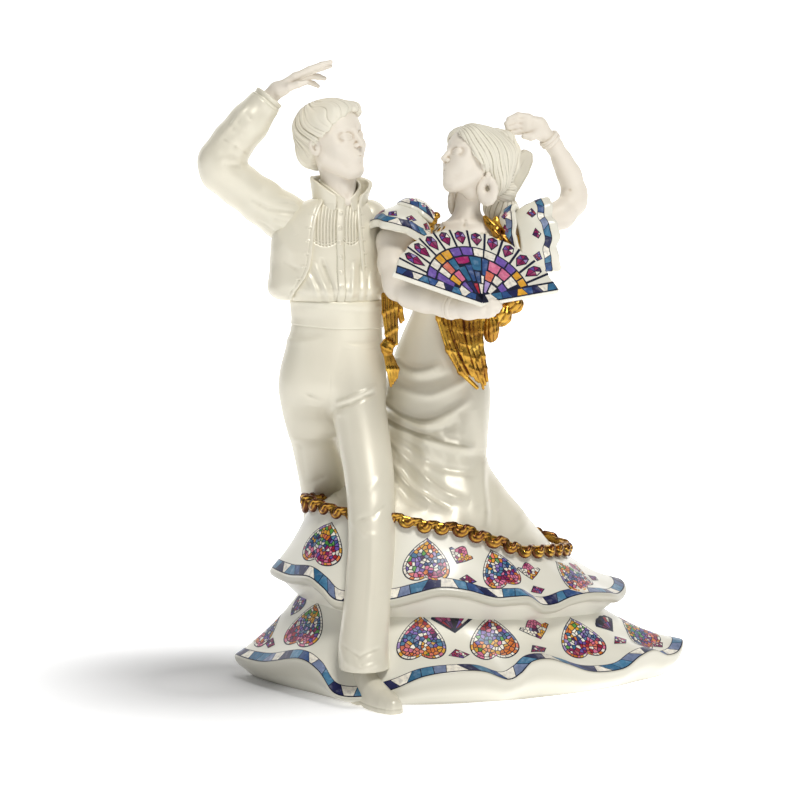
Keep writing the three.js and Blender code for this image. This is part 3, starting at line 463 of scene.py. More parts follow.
def line_material():
    m = bpy.data.materials.new("mosaic_outline")
    nt, b = nodes_of(m)
    nt.links.new(ramp(nt, noise(nt, 700.0, 4.0), [(0.35, (0.004, 0.005, 0.016)), (0.7, (0.014, 0.018, 0.05))]), b.inputs["Base Color"])
    b.inputs["Roughness"].default_value = 0.36
    b.inputs["Specular IOR Level"].default_value = 0.3
    b.inputs["Coat Weight"].default_value = 0.1
    b.inputs["Coat Roughness"].default_value = 0.08
    bump(nt, b, noise(nt, 1000.0, 3.0), 0.08, 0.00004)
    return m


ENAMEL = enamel_material()
INK = line_material()


def shade_cavity(ob, gain=1.0, wide=3):
    """Stores how hollow (0) or raised (1) each vertex lies, with 0.5 for flat, in the tint. The ceramics darken by it
    as painted shade in their hollows; the gold uses it for its dark antiquing.
    """
    me = ob.data
    n = len(me.vertices)
    V = np.empty(n * 3, F)
    me.vertices.foreach_get("co", V)
    V = V.reshape(-1, 3) / MM
    N = np.empty(n * 3, F)
    me.vertices.foreach_get("normal", N)
    N = N.reshape(-1, 3)
    E = np.empty(len(me.edges) * 2, np.int32)
    me.edges.foreach_get("vertices", E)
    E = E.reshape(-1, 2)
    a, b = np.concatenate([E[:, 0], E[:, 1]]), np.concatenate([E[:, 1], E[:, 0]])
    deg = np.maximum(np.bincount(a, minlength=n), 1)
    S = V.copy()
    L = np.linalg.norm(V[E[:, 0]] - V[E[:, 1]], axis=1).mean()
    for _ in range(wide):
        S = np.stack([np.bincount(a, S[b, i], minlength=n) for i in range(3)], 1) / deg[:, None]
    c = ((V - S) * N).sum(1) / (L * math.sqrt(wide))
    for _ in range(2):
        c = 0.5 * c + 0.5 * np.bincount(a, c[b], minlength=n) / deg
    v = np.clip(0.5 + 1.3 * gain * c, 0, 1)
    att = me.color_attributes.get("tint") or me.color_attributes.new("tint", "FLOAT_COLOR", "POINT")
    col = np.ones((n, 4), F)
    col[:, :3] = v[:, None]
    att.data.foreach_set("color", col.ravel())


# ------------------------------------------------------------------ gown: the loops its rings follow (millimetres)
# BEGIN LOOPS
HEM_LOW = [
    [-105.6, -6, 10.5], [-91.6, -28, 11.5], [-73.4, -50, 17.5], [-63.6, -62, 14.2], [-55.4, -72, 5.5], [-41.9, -76, 5.0],
    [-28.5, -78, 8.7], [-13.8, -78, 14.8], [2.8, -76, 16.9], [14.0, -73, 16.0], [24.8, -70, 11.7], [30.9, -68, 14.1],
    [36.5, -66, 19.3], [44.2, -62, 19.9], [53.4, -57, 16.5], [63.3, -51, 11.9], [72.3, -45, 10.2], [82.5, -37, 10.5],
    [90.4, -29, 14.6], [98.0, -20, 15.8], [105.2, -12, 11.7], [111.5, -4, 12.1], [114.4, 6, 15.6], [111.0, 19, 14.0],
    [103.0, 32, 9.5], [90.0, 43, 14.5], [73.0, 52, 17.0], [54.0, 58, 11.0], [34.0, 61, 9.0], [14.0, 61, 15.0],
    [-5.0, 57, 17.0], [-22.0, 48, 11.5], [-38.0, 36, 9.0], [-55.0, 25, 13.0], [-74.0, 18, 16.5], [-92.0, 11, 12.0],
    [-103.0, 3, 9.5],
]
HEM_UP = [
    [-87.7, -6, 53.6], [-79.1, -24, 53.1], [-68.8, -42, 55.2], [-61.9, -51, 51.7], [-55.2, -57, 46.6], [-43.0, -60, 47.1],
    [-30.0, -62, 47.8], [-18.3, -62, 50.6], [-6.2, -61, 53.2], [6.4, -60, 51.7], [19.1, -58, 48.0], [28.5, -55, 47.9],
    [35.7, -52, 47.4], [42.0, -49, 43.1], [48.5, -44, 42.6], [56.4, -38, 44.9], [65.4, -32, 45.8], [74.7, -24, 44.4],
    [80.8, -15, 42.5], [84.6, -4, 44.3], [83.0, 8, 46.0], [76.0, 20, 43.0], [65.0, 31, 42.0], [50.0, 40, 46.5],
    [33.0, 45, 49.0], [14.0, 45.5, 45.0], [-6.0, 41, 44.0], [-24.0, 32.5, 48.5], [-42.0, 23, 51.5], [-60.0, 17, 48.5],
    [-76.0, 9, 49.0], [-85.0, 2, 52.5],
]
TRIM = [
    [-70.0, -8, 87.3], [-64.6, -24, 88.0], [-51.3, -37, 85.7], [-39.4, -43, 85.4], [-26.7, -46, 84.4], [-15.9, -46, 81.6],
    [-6.5, -46, 80.2], [3.9, -45, 79.1], [13.4, -43, 75.0], [22.0, -40, 72.1], [31.8, -35, 67.5], [41.8, -26, 66.1],
    [50.2, -14, 64.7], [55.5, 0, 62.5], [54.0, 13, 63.0], [44.0, 23, 66.0], [30.0, 29, 70.0], [12.0, 31, 74.0],
    [-8.0, 29, 78.0], [-27.0, 22, 81.0], [-45.0, 14, 84.0], [-60.0, 6, 86.5],
]
GOWN = [
    [63, -4, -6, 57, 36], [76, -8, -6, 55, 34], [88, -14, -5, 44, 30], [100, -13, -3, 32, 25], [114, -9, -1, 26, 21.5],
    [130, -7.5, 1, 26, 21], [142, -7, 2, 25.5, 20.5], [156, -6.6, 1.5, 22, 17.5], [168, -6, 0, 18, 14.5], [178, -4, -1.5, 15.6, 12.6],
]


def loop_at(pts, t):
    p = np.array(pts, float)
    n = len(p)
    s = (np.asarray(t, float) % 1.0) * n
    i = np.floor(s).astype(int) % n
    f = (s - np.floor(s))[..., None]
    a, b, c, e = p[(i - 1) % n], p[i], p[(i + 1) % n], p[(i + 2) % n]
    return 0.5 * (2 * b + (c - a) * f + (2 * a - 5 * b + 4 * c - e) * f * f + (3 * b - a - 3 * c + e) * f**3)


def calm(pts, t, width=0.055):
    """The loop with its short waves averaged out."""
    k = np.linspace(-width, width, 13)
    w = np.hanning(15)[1:-1]
    return sum(wi * loop_at(pts, np.asarray(t) + ki) for wi, ki in zip(w, k)) / w.sum()


def inward(p, c, d):
    q = np.array(p, float)
    r = np.hypot(q[..., 0] - c[0], q[..., 1] - c[1])
    k = np.maximum(0.05, (r - d) / np.maximum(r, 1e-6))
    q[..., 0] = c[0] + (q[..., 0] - c[0]) * k
    q[..., 1] = c[1] + (q[..., 1] - c[1]) * k
    return q


def throat(t):
    p = inward(calm(HEM_UP, t), (-2, -6), 11)
    p[..., 2] = 41 - 8 * (loop_at(HEM_UP, t)[..., 0] + 88) / 173 + 1.5
    return p


def flounce_low(t, s):
    """t round, s from the throat (0) to the hem (1); both arrays of one shape."""
    h0, h = calm(HEM_LOW, t), loop_at(HEM_LOW, t)
    th = throat(t)
    s = np.asarray(s)[..., None]
    sag = np.zeros_like(h)
    sag[..., 2] = 2.4
    return th + (h0 - th) * s + (h - h0) * np.clip(s, 0, 2) ** 1.5 - sag * np.sin(np.pi * np.clip(s, 0, 1)) ** 0.9


def flounce_up(t, s):
    h0, h = calm(HEM_UP, t), loop_at(HEM_UP, t)
    top = inward(loop_at(TRIM, t), (-5, -6), 1.2)
    top[..., 2] -= 2.6
    s = np.asarray(s)[..., None]
    sag = np.zeros_like(h)
    sag[..., 2] = 1.9
    return top + (h0 - top) * s + (h - h0) * np.clip(s, 0, 2) ** 1.5 - sag * np.sin(np.pi * np.clip(s, 0, 1))


# END LOOPS


def grid_quads(nt, ns, wrap_t=True, wrap_s=False):
    i = np.arange(nt if wrap_t else nt - 1)
    j = np.arange(ns if wrap_s else ns - 1)
    I, J = np.meshgrid(i, j, indexing="ij")
    a = I * ns + J
    b = ((I + 1) % nt) * ns + J
    c = ((I + 1) % nt) * ns + (J + 1) % ns
    d = I * ns + (J + 1) % ns
    return np.stack([a, b, c, d], -1).reshape(-1, 4)


def grid_normals(G, wrap_t=True):
    if wrap_t:
        dt = np.roll(G, -1, 0) - np.roll(G, 1, 0)
    else:
        dt = np.gradient(G, axis=0)
    ds = np.gradient(G, axis=1)
    n = np.cross(dt, ds)
    return n / np.maximum(np.linalg.norm(n, axis=-1, keepdims=True), 1e-9)


def ring_object(name, G, mat, flip=False, wrap_s=False):
    q = grid_quads(G.shape[0], G.shape[1], True, wrap_s)
    if flip:
        q = q[:, ::-1]
    return mesh_object(name, G.reshape(-1, 3), q, mat)


NT = 1000
FOOT_IN = 9.0  # the wall under the hem draws in by this much to the ground
T = np.arange(NT) / NT


def flounce_grid(which):
    f = flounce_low if which == "low" else flounce_up
    s = np.linspace(0, 1, 34)
    tt, ss = np.meshgrid(T, s, indexing="ij")
    P = f(tt, ss)
    h = P[:, -1]
    mid = (2, -6) if which == "low" else (-2, -6)
    rows = []
    if which == "low":
        g = inward(h, mid, FOOT_IN)
        g[:, 2] = 0.0
        for w in (0.03, 0.08, 0.16, 0.26, 0.37, 0.48, 0.58, 0.68, 0.77, 0.85, 0.91, 0.96, 1.0):
            q = inward(h, mid, FOOT_IN * (0.42 * w + 0.58 * w**2.6) - 0.9 * math.sin(math.pi * min(w * 1.6, 1)) ** 0.7)
            q[:, 2] = h[:, 2] * (1 - w)
            rows.append(q)
        for d in (1.5, 4.5):
            q = inward(g, mid, d)
            q[:, 2] = 0.0
            rows.append(q)
        for z, d in ((3.0, 4.6), (9.0, 6.0)):
            q = inward(g, mid, d)
            q[:, 2] = z
            rows.append(q)
    else:
        for out, dz in ((0.35, -0.3), (0.75, -0.9), (0.95, -1.8), (0.8, -2.7), (0.3, -3.5), (-0.5, -4.1), (-1.6, -4.4), (-3.0, -4.1)):
            q = inward(h, mid, -out)
            q[:, 2] = h[:, 2] + dz
            rows.append(q)
        th = throat(T)
        th[:, 2] -= 3
        last = rows[-1]
        for w in (0.2, 0.45, 0.75, 1.0):
            rows.append(last + (th - last) * w)
    return np.concatenate([P, np.stack(rows, 1)], 1), P


LOW_ALL, LOW_TOP = flounce_grid("low")
UP_ALL, UP_TOP = flounce_grid("up")
low_ob = piece(ring_object("lower_flounce_glazed", LOW_ALL, WHITE, flip=False), "decal_glaze", "lower_flounce")
up_ob = piece(ring_object("upper_flounce_glazed", UP_ALL, WHITE, flip=False), "decal_glaze", "upper_flounce")

# closing plate with its drain
def base_plate_mesh():
    n = 240
    t = np.arange(n) / n
    g = inward(inward(loop_at(HEM_LOW, t), (2, -6), FOOT_IN + 0.3), (2, -6), 4.9)
    rim = []
    a = np.arctan2(g[:, 1] + 4, g[:, 0] - 50)
    drain = np.stack([50 + 15 * np.cos(a), -4 + 15 * np.sin(a), 0 * a], 1)
    rows = []
    for k, z in ((0.0, 0.05), (0.25, 0.0), (0.6, 0.02), (0.93, 0.0), (1.0, 0.35), (1.0, 2.9), (0.97, 3.4), (0.5, 3.5), (0.0, 3.4)):
        q = g * (1 - k) + drain * k
        q[:, 2] = z
        rows.append(q)
    G = np.stack(rows, 1)
    q = grid_quads(n, len(rows), True, True)
    return mesh_object("closing_plate", G.reshape(-1, 3), q[:, ::-1], RAW)


piece(base_plate_mesh(), "raw_foot", "base_plate")

# ------------------------------------------------------------------ gown
GOWN_FOLDS = [
    # drapes swung from the left hip across the front, millimetres: points, half-width, height
    ([(-36, -22, 138), (-31, -25, 133.9), (-23, -27, 128.8), (-13, -27, 126.8), (-2, -27, 130.8), (10, -22, 138.9)], 2.0, 1.5),
    ([(-35, -22, 132), (-28, -25, 128.4), (-18, -27, 123.4), (-7, -28, 123.0), (4, -26, 127.0)], 1.8, -1.2),
    ([(-35, -22, 128), (-31, -24, 125.8), (-21, -26, 122.6), (-11, -28, 118.7), (3, -28, 114.7), (12, -24, 113)], 1.9, 1.5),
    ([(-34, -22, 121), (-24, -26, 115), (-12, -29, 108.6), (2, -29, 104), (12, -26, 102)], 2.0, -1.3),
    ([(-34, -24, 120), (-30, -25, 116.5), (-21, -28, 107.5), (-13, -31, 99.6), (-1, -34, 92.6), (8, -36, 89.8)], 2.2, 1.7),
    ([(-33, -25, 114), (-26, -28, 105.5), (-18, -31, 97), (-8, -34, 91), (0, -36, 88)], 1.8, -1.4),
    ([(-33, -26, 112), (-29, -27, 107.5), (-21, -31, 97.8), (-11, -35, 90.6), (0, -38, 86)], 2.2, 1.6),
    ([(-32, -29, 104), (-26, -32, 97), (-19, -35, 91), (-12, -38, 87)], 1.8, -1.2),
    ([(-27, -20, 157), (-26, -21, 155), (-19, -23, 151), (-11, -24, 152), (-5, -23, 155)], 2.0, 1.0),
    ([(-28, -21, 150), (-20, -23.5, 146.4), (-10, -25, 146.5), (0, -24, 150)], 2.0, -0.9),
    ([(-30, -22, 146), (-22, -24.5, 141.5), (-10, -26, 140), (4, -24, 146), (14, -18, 153)], 2.2, 0.9),
    ([(15, -22, 112), (14.9, -28, 104), (15.1, -34, 95.4), (15.4, -38, 86), (15.5, -42, 76)], 2.0, 1.1),
    ([(19.4, -20, 110), (19.2, -26, 98), (19.2, -34, 86), (19.4, -39, 74)], 2.4, -1.0),
    ([(20, -18, 112), (29, -25, 92), (37, -27, 74)], 3.0, 1.0),
    ([(24, -15, 104), (36, -20, 84), (45, -20, 70)], 2.2, -0.9),
    ([(-60, -14, 102), (-64, -20, 95), (-66, -24, 90)], 2.4, 0.9),
    ([(-52, -20, 100), (-57, -30, 91)], 2.0, -0.9),
]
# soft pleats down the back and round the train
for k in range(9):
    a = math.radians(8 + 19 * k)
    x0, y0 = -7 + 24 * math.cos(a), 2 + 19 * math.sin(a)
    x1, y1 = -5 + (60 - 4 * k) * math.cos(a), -6 + 40 * math.sin(a)
    GOWN_FOLDS.append(([(x0, y0, 132), (x0 * 0.8 + x1 * 0.2, y0 * 0.8 + y1 * 0.2, 104), (x1, y1, 70 + 2 * k)], 3.6, 1.1 if k % 2 else -1.0))


def gown_grid():
    nt, ns = ((620, 230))
    t = np.arange(nt) / nt
    tr = calm(TRIM, t, 0.02)
    foot = inward(tr, (-5, -6), 3.0)
    foot[:, 2] -= 3.4

    def oval(row, d=0.0):
        z, x, y, a, b = row
        th = np.arctan2((foot[:, 1] - y) / b, (foot[:, 0] - x) / a)
        return np.stack([x + (a - d) * np.cos(th), y + (b - d) * np.sin(th), 0 * th + z], 1)

    def part(row, k):
        o = oval(row)
        return foot * (1 - k) + o * k

    keys = [foot, part(GOWN[3], 0.42), part(GOWN[3], 0.8), oval([106, -11, -2, 28.2, 22.8]), oval(GOWN[4]), oval(GOWN[5]), oval(GOWN[6]), oval(GOWN[7]), oval(GOWN[8]), oval(GOWN[9]), oval([181.5, -3.4, -2, 15.4, 12.4])]
    K = np.stack(keys, 0)
    # the pinch at the knee keeps the train's long straight line
    n = len(K)
    out = []
    for s in np.linspace(0, n - 1, ns):
        i = min(int(s), n - 2)
        f = s - i
        a, b, c, e = K[max(i - 1, 0)], K[i], K[i + 1], K[min(i + 2, n - 1)]
        out.append(0.5 * (2 * b + (c - a) * f + (2 * a - 5 * b + 4 * c - e) * f * f + (3 * b - a - 3 * c + e) * f**3))
    G = np.stack(out, 1)
    N = grid_normals(G)
    c = np.array([-6, -2, 0])
    if ((G - c) * N).sum() < 0:
        N = -N
    P = tuple(G[..., i].ravel().astype(F) for i in range(3))
    flat = (P[0], P[1] * F(0), P[2])
    front = np.clip((F(2) - P[1]) / F(8), 0, 1)
    h = 0.18 * ripple(P, 5, 16.0)
    for pts, r, k in GOWN_FOLDS:
        q = np.array([(w[0], 0.0, w[2]) for w in pts])
        # drawn through the points as a smooth line
        ext = np.vstack([2 * q[0] - q[1], q, 2 * q[-1] - q[-2]])
        line = []
        for i in range(len(q) - 1):
            p0, p1, p2, p3 = ext[i : i + 4]
            for t in np.linspace(0, 1, 5)[: 5 if i == len(q) - 2 else 4]:
                line.append(tuple(0.5 * (2 * p1 + (p2 - p0) * t + (2 * p0 - 5 * p1 + 4 * p2 - p3) * t * t + (3 * p1 - p0 - 3 * p2 + p3) * t**3)))
        h = h + front * fold(flat, line, r * 1.15, 0.92 * k)
    G = G + N * h.reshape(G.shape[:2])[..., None]
    return G


GOWN_G = gown_grid()
gown_ob = piece(ring_object("gown_draped", GOWN_G, PEARL, flip=True), "pearl_glaze", "gown_skirt")


# ------------------------------------------------------------------ crimped gold trim, a folded ribbon laid round the gown
def trim_ribbon():
    n = 2600
    m = 26
    t = np.arange(n) / n
    c = calm(TRIM, t, 0.012)
    d = np.roll(c, -1, 0) - np.roll(c, 1, 0)
    T_ = d / np.linalg.norm(d, axis=1, keepdims=True)
    out = c - np.array([-5, -6, 0])
    out[:, 2] = 0
    out /= np.linalg.norm(out, axis=1, keepdims=True)
    out = out - T_ * (out * T_).sum(1)[:, None]
    out /= np.linalg.norm(out, axis=1, keepdims=True)
    up = np.cross(T_, out)
    if up[:, 2].mean() < 0:
        up = -up
    seg = np.linalg.norm(np.diff(np.vstack([c, c[:1]]), axis=0), axis=1)
    L = np.concatenate([[0], np.cumsum(seg)[:-1]])
    total = seg.sum()
    waves = round(total / 8.6)
    rng = np.random.RandomState(3)
    j = np.interp(L, np.linspace(0, total, 46), np.append(rng.uniform(-0.8, 0.8, 45), 0) * np.append(np.ones(45), 0))
    j[0] = 0
    ph = 2 * np.pi * waves * L / total + j * np.sin(np.pi * np.clip(L / total, 0, 1)) ** 0.3
    size = np.interp(L, np.linspace(0, total, 40), np.append(rng.uniform(0.86, 1.14, 39), 1.0))
    size[0] = 1.0
    # the wide fold that closes the trim on the left
    big = np.exp(-((((t + 0.5) % 1.0) - 0.5 - 0.012) / 0.03) ** 2)
    size = size * (1 + 0.35 * big)
    # a thick ribbon laid in rounded loops: it rises and falls, with the falling loops wider and standing out
    sn, cs = np.sin(ph), np.cos(ph)
    mid = c + up * ((1.35 * sn + 0.35 * np.cos(2 * ph) - 0.3) * size)[:, None] + out * (1.5 + 0.9 * cs - 0.5 * sn)[:, None] + T_ * (-0.46 * np.sin(2 * ph) * size)[:, None]
    run = np.roll(mid, -2, 0) - np.roll(mid, 2, 0)
    run /= np.linalg.norm(run, axis=1, keepdims=True)
    side = np.cross(run, out)
    side /= np.linalg.norm(side, axis=1, keepdims=True)
    if (side * up).sum() < 0:
        side = -side
    face_ = np.cross(side, run)
    face_ *= np.sign((face_ * out).sum(1))[:, None]
    # the band turns over a little from loop to loop
    roll = 0.45 * cs
    s2 = side * np.cos(roll)[:, None] + face_ * np.sin(roll)[:, None]
    f2 = face_ * np.cos(roll)[:, None] - side * np.sin(roll)[:, None]
    wide = (2.05 - 0.25 * sn) * size
    u = np.arange(m) / m * 2 * np.pi
    G = np.zeros((n, m, 3))
    for k in range(m):
        cu, su = math.cos(u[k]), math.sin(u[k])
        a = np.sign(cu) * abs(cu) ** 0.85
        b = np.sign(su) * abs(su) ** 0.85
        groove = 0.34 * (math.exp(-((a - 0.42) / 0.13) ** 2) + math.exp(-((a + 0.30) / 0.13) ** 2)) if b > 0 else 0.0
        G[:, k] = mid + s2 * (wide * a)[:, None] + f2 * ((1.25 * b - groove) * size)[:, None]
    ob = mesh_object("gold_ruffle", G.reshape(-1, 3), grid_quads(n, m, True, True), GOLD)
    # a rolled cord behind the crimps closes the gaps to the cloth
    core = np.zeros((600, 12, 3))
    idx = (np.arange(600) * n // 600)
    for k in range(12):
        a = 2 * np.pi * k / 12
        core[:, k] = c[idx] + out[idx] * (0.2 + 1.2 * math.cos(a)) + up[idx] * (1.9 * math.sin(a) - 0.2)
    ob2 = mesh_object("gold_ruffle_core", core.reshape(-1, 3), grid_quads(600, 12, True, True), GOLD)
    return ob, ob2


ruffle, ruffle_core = trim_ribbon()
piece(ruffle, "gold_lustre", "gold_ruffle_trim")
piece(ruffle_core, "gold_lustre")


# ------------------------------------------------------------------ shapes shared by both dancers


def head_frame(c, yaw, pitch, roll):
    return shift(c) @ rot("z", yaw) @ rot("x", pitch) @ rot("y", roll)


M_HEAD = head_frame([-57.4, -5.4, 260.9], -128, 7.5, 5.5)
W_HEAD = head_frame([9.8, -4.4, 251.2], 114, 16, 8)


def mirror_x(P):
    return (np.abs(P[0]), P[1], P[2])


def face(P, soft):
    """A plain, evenly proportioned head for a 40 mm height; x to its right, y out of the face, z to the crown.
    soft is 1 for the rounder face and 0 for the squarer one."""
    S = mirror_x(P)
    d = ell(P, (0, -3.2, 4.8), (12.7, 15.4, 13.6))
    d = smin(d, ell(P, (0, 5.0, 6.4), (10.2, 9.2, 8.6)), 5)
    d = smin(d, ell(P, (0, 4.0, -5.0), (10.0 - 0.4 * soft, 10.2, 12.4)), 6)
    d = smin(d, cap(S, (9.0 - 0.8 * soft, 0.5, -8.6), (3.4, 8.6, -16.4 + 0.4 * soft), 2.6, 2.4), 5)
    d = smin(d, ell(P, (0, 10.2, -15.6 + 0.5 * soft), (4.2 - 0.5 * soft, 4.0, 3.8)), 3.4)
    d = smin(d, ell(P, (0, 10.6, -8.8), (5.2, 4.2, 4.8)), 3.2)
    d = smin(d, ell(S, (6.0, 8.6, -3.4), (4.2, 4.2, 4.6)), 4.5)
    d = smin(d, cap(S, (1.8, 13.4, 3.7), (7.4, 10.8, 4.1), 1.25 - 0.25 * soft, 1.0), 2.4)
    d = smax(d, -ell(S, (4.8, 16.0, 1.1), (3.4, 2.6, 2.3)), 2.2)
    d = smax(d, -ell(S, (9.2, 12.2, 0.8), (2.2, 1.6, 2.2)), 2.6)
    # nose
    d = smin(d, chain(P, [(0, 13.0, 3.2, 1.15), (0, 15.2, -0.6, 1.2), (0, 16.7, -3.2, 1.45)], 1.0), 1.5)
    d = smin(d, ell(P, (0, 16.5, -3.7), (1.55, 1.5, 1.25)), 0.9)
    d = smin(d, ell(S, (1.65, 15.0, -4.2), (1.25, 1.55, 1.05)), 0.7)
    d = smax(d, -ell(S, (0.85, 15.9, -5.2), (0.45, 0.7, 0.35)), 0.6)
    # eyes, lids closed to a soft almond
    d = smin(d, ell(S, (4.8, 11.9, 0.8), (2.9, 1.85, 1.65)), 1.6)
    lid = [(2.3, 13.5, 0.35), (3.5, 14.2, 1.5), (4.9, 14.0, 1.9), (6.4, 13.1, 1.4), (7.4, 11.9, 0.5)]
    d = d - fold(S, lid, 0.42, 0.22, True)
    low = [(2.5, 13.5, 0.2), (3.8, 14.1, -0.6), (5.3, 13.7, -0.75), (7.1, 12.2, 0.1)]
    d = d - fold(S, low, 0.45, 0.10, True)
    d = d + fold(S, [(2.5, 13.4, 1.2), (3.6, 13.8, 2.5), (5.0, 13.4, 2.75), (6.8, 12.0, 2.0)], 0.5, 0.12, True)
    d = d - fold(S, [(2.0, 14.0, 4.0), (4.0, 13.9, 4.9), (6.2, 12.6, 4.9), (8.2, 10.8, 3.9)], 0.55, 0.22, True)
    # mouth
    up = [(3.5, 12.7, -9.15), (1.9, 14.2, -8.6), (0.8, 14.8, -8.2), (0, 14.75, -8.45)]
    d = smin(d, chain(S, [(3.3, 12.6, -9.1, 0.35), (1.7, 13.9, -8.8, 0.72), (0.5, 14.35, -8.55, 0.78)], 0.5), 0.7)
    d = smin(d, chain(S, [(3.0, 12.6, -9.5, 0.35), (1.5, 13.7, -10.1, 0.85), (0, 14.05, -10.25, 0.95)], 0.5), 0.7)
    d = d + fold(S, [(3.7, 12.6, -9.25), (1.8, 14.4, -9.35), (0, 15.0, -9.35)], 0.28, 0.34, False)
    d = d + fold(P, [(0, 14.6, -6.0), (0, 14.6, -7.9)], 0.5, 0.18, False)
    d = d + fold(S, [(0, 13.6, -12.3), (1.8, 12.9, -12.1)], 0.8, 0.28, False)
    d = d + fold(S, [(2.6, 14.0, -4.6), (3.9, 12.6, -7.4)], 0.7, 0.13, True)
    # ears
    E = move(S, shift((12.0, -1.8, -1.6)) @ rot("y", 8) @ rot("z", 18))
    ear = ell(E, (0.3, -0.3, 0), (1.35, 2.8, 4.3))
    ear = smax(ear, -ell(E, (1.5, 0.2, 0.7), (0.9, 1.7, 2.7)), 0.6)
    ear = smin(ear, ell(E, (0.9, 0.9, -0.6), (0.5, 0.7, 1.0)), 0.5)
    d = smin(d, ear, 1.1)
    # throat
    d = smin(d, cap(P, (0, -2.8, -21 + 5.5 * soft), (0, -3.4, -8), 6.3 - 1.2 * soft, 7.0), 4)
    return d


def fields(P, k, fn, *a):
    Q = tuple(F(1 / k) * p for p in P)
    return F(k) * fn(Q, *a)


def man_hair_f(P):
    """Short hair swept over the forehead to his left, over the tops of the ears and close at the nape."""
    x, y, z = P
    d = ell(P, (0, -3.6, 6.4), (14.3, 17.2, 14.2))
    d = smin(d, ell(P, (1.0, 5.2, 12.6), (10.6, 8.9, 6.6), rot("x", -14)), 3.4)
    d = smin(d, ell(P, (-5.2, 9.2, 12.6), (6.4, 4.9, 4.2), rot("y", 22)), 2.6)
    d = smin(d, ell(P, (9.6, 1.0, 6.0), (4.6, 9.0, 8.0)), 3)
    d = smin(d, ell(P, (0, -11.0, -3.4), (11.8, 9.2, 9.6)), 4)
    # the hairline falls from the quiff to the temple, then down in front of the ear
    front = np.interp(x, [-14, -11, -8, -5, -1.5, 3, 7, 9.6, 11.6, 13.5], [3, 5.4, 8.2, 10.4, 12.0, 10.8, 8.5, 6.8, 4.6, 1.0]).astype(F)
    side = np.interp(z, [-14, -9, -6, -3, 0, 3, 7], [-9.5, -7.5, -5.6, -2.6, 0.8, 1.6, 2.6]).astype(F)
    bare = smax((z - front) * F(0.9), (side - y) * F(0.9), 2.0)
    d = smax(d, -bare, 2.0)
    d = smax(d, -ell(P, (0, 1.5, -22.5), (24, 14, 12.6), rot("x", 12)), 1.6)
    # locks fan out from the crown and sweep forward
    c = (-3.0, -9.0, 17.0)
    x, y, z = P[0] - F(c[0]), P[1] - F(c[1]), P[2] - F(c[2])
    far = np.sqrt(x * x + y * y + z * z)
    a = np.arctan2(x, y + F(0.35) * z) + F(0.03) * far + F(0.10) * np.sin(F(0.33) * z + 1)
    near = np.clip(far / 9, 0, 1)
    n = ripple(P, 11, 4.5)
    lock = np.sin(a * 11 + 1.5 * n)
    fine = np.sin(a * 40 + 2.4 * n)
    d = d + F(0.50) * near * (F(1) - np.abs(lock)) ** F(1.5) - F(0.13) * near * fine
    d = d - fold(P, [(-1.5, 14.6, 14.0), (-6.0, 15.4, 12.6), (-10.0, 12.6, 9.4)], 1.5, 0.6)
    d = d - fold(P, [(-0.5, 12.4, 14.0), (5.0, 11.4, 11.6), (9.6, 8.0, 8.2), (12.6, 3.0, 4.4)], 1.6, 0.5)
    return d


def placed(fn, M, k=1.0):
    return lambda P: fields(move(P, M), k, fn)


def box_of(M, lo, hi):
    c = np.array([[a, b, e, 1] for a in (lo[0], hi[0]) for b in (lo[1], hi[1]) for e in (lo[2], hi[2])])
    w = (M @ c.T).T[:, :3]
    return w.min(0), w.max(0)


def hand_fingers(P, rows, k=0.9):
    d = None
    for pts in rows:
        e = chain(P, pts, 0.6)
        d = e if d is None else smin(d, e, F(k))
    return d


# ------------------------------------------------------------------ the man
M_TR = [[179, -55.6, -9, 21.6, 15, 5], [172.4, -55.8, -9, 22.0, 15.3, 4], [163, -56.6, -9, 23.2, 16.2, 3], [152, -57.2, -9.2, 24.8, 17.4, 0], [142, -57.4, -9.6, 25.2, 17.2, 0], [134, -57.4, -9.6, 23.8, 13.8, 0], [127, -59.0, -7.4, 20.4, 8.0, 0], [119, -61.0, -7.0, 16.0, 4.5, 0]]
M_LEG_FRONT = [[162, -47.6, -10.6, 9.4, 12.2, 0], [150, -46.4, -13.0, 12.6, 14.2, 0], [134, -45.2, -18.4, 13.2, 14.2], [118, -42.4, -25.6, 12.6, 13.4], [103, -40, -33.8, 11.8, 12.4], [90, -39, -41, 11.2, 11.8], [76, -38.6, -47.6, 11, 11.4], [60, -39.4, -54, 11, 11.2], [42, -40.8, -60.6, 11.2, 11.2], [27, -42.2, -65.8, 11.7, 11.6], [16.8, -41.9, -68.4, 11.7, 12.2]]
M_LEG_REAR = [[162, -67, -7.6, 9.0, 12.0, 0], [148, -68.8, -6.6, 12.4, 14.4, 0], [134, -69.6, -3.6, 12, 13.4], [118, -67.8, 1.6, 11.4, 12.4], [103, -64.2, 7.2, 12.2, 11.8], [88, -62.2, 14.2, 12, 11], [70, -61.4, 22.2, 11.6, 10.4], [50, -62.2, 29.6, 10.6, 10], [30, -63.6, 35.8, 10, 10], [14, -64.8, 39.2, 10.4, 11]]
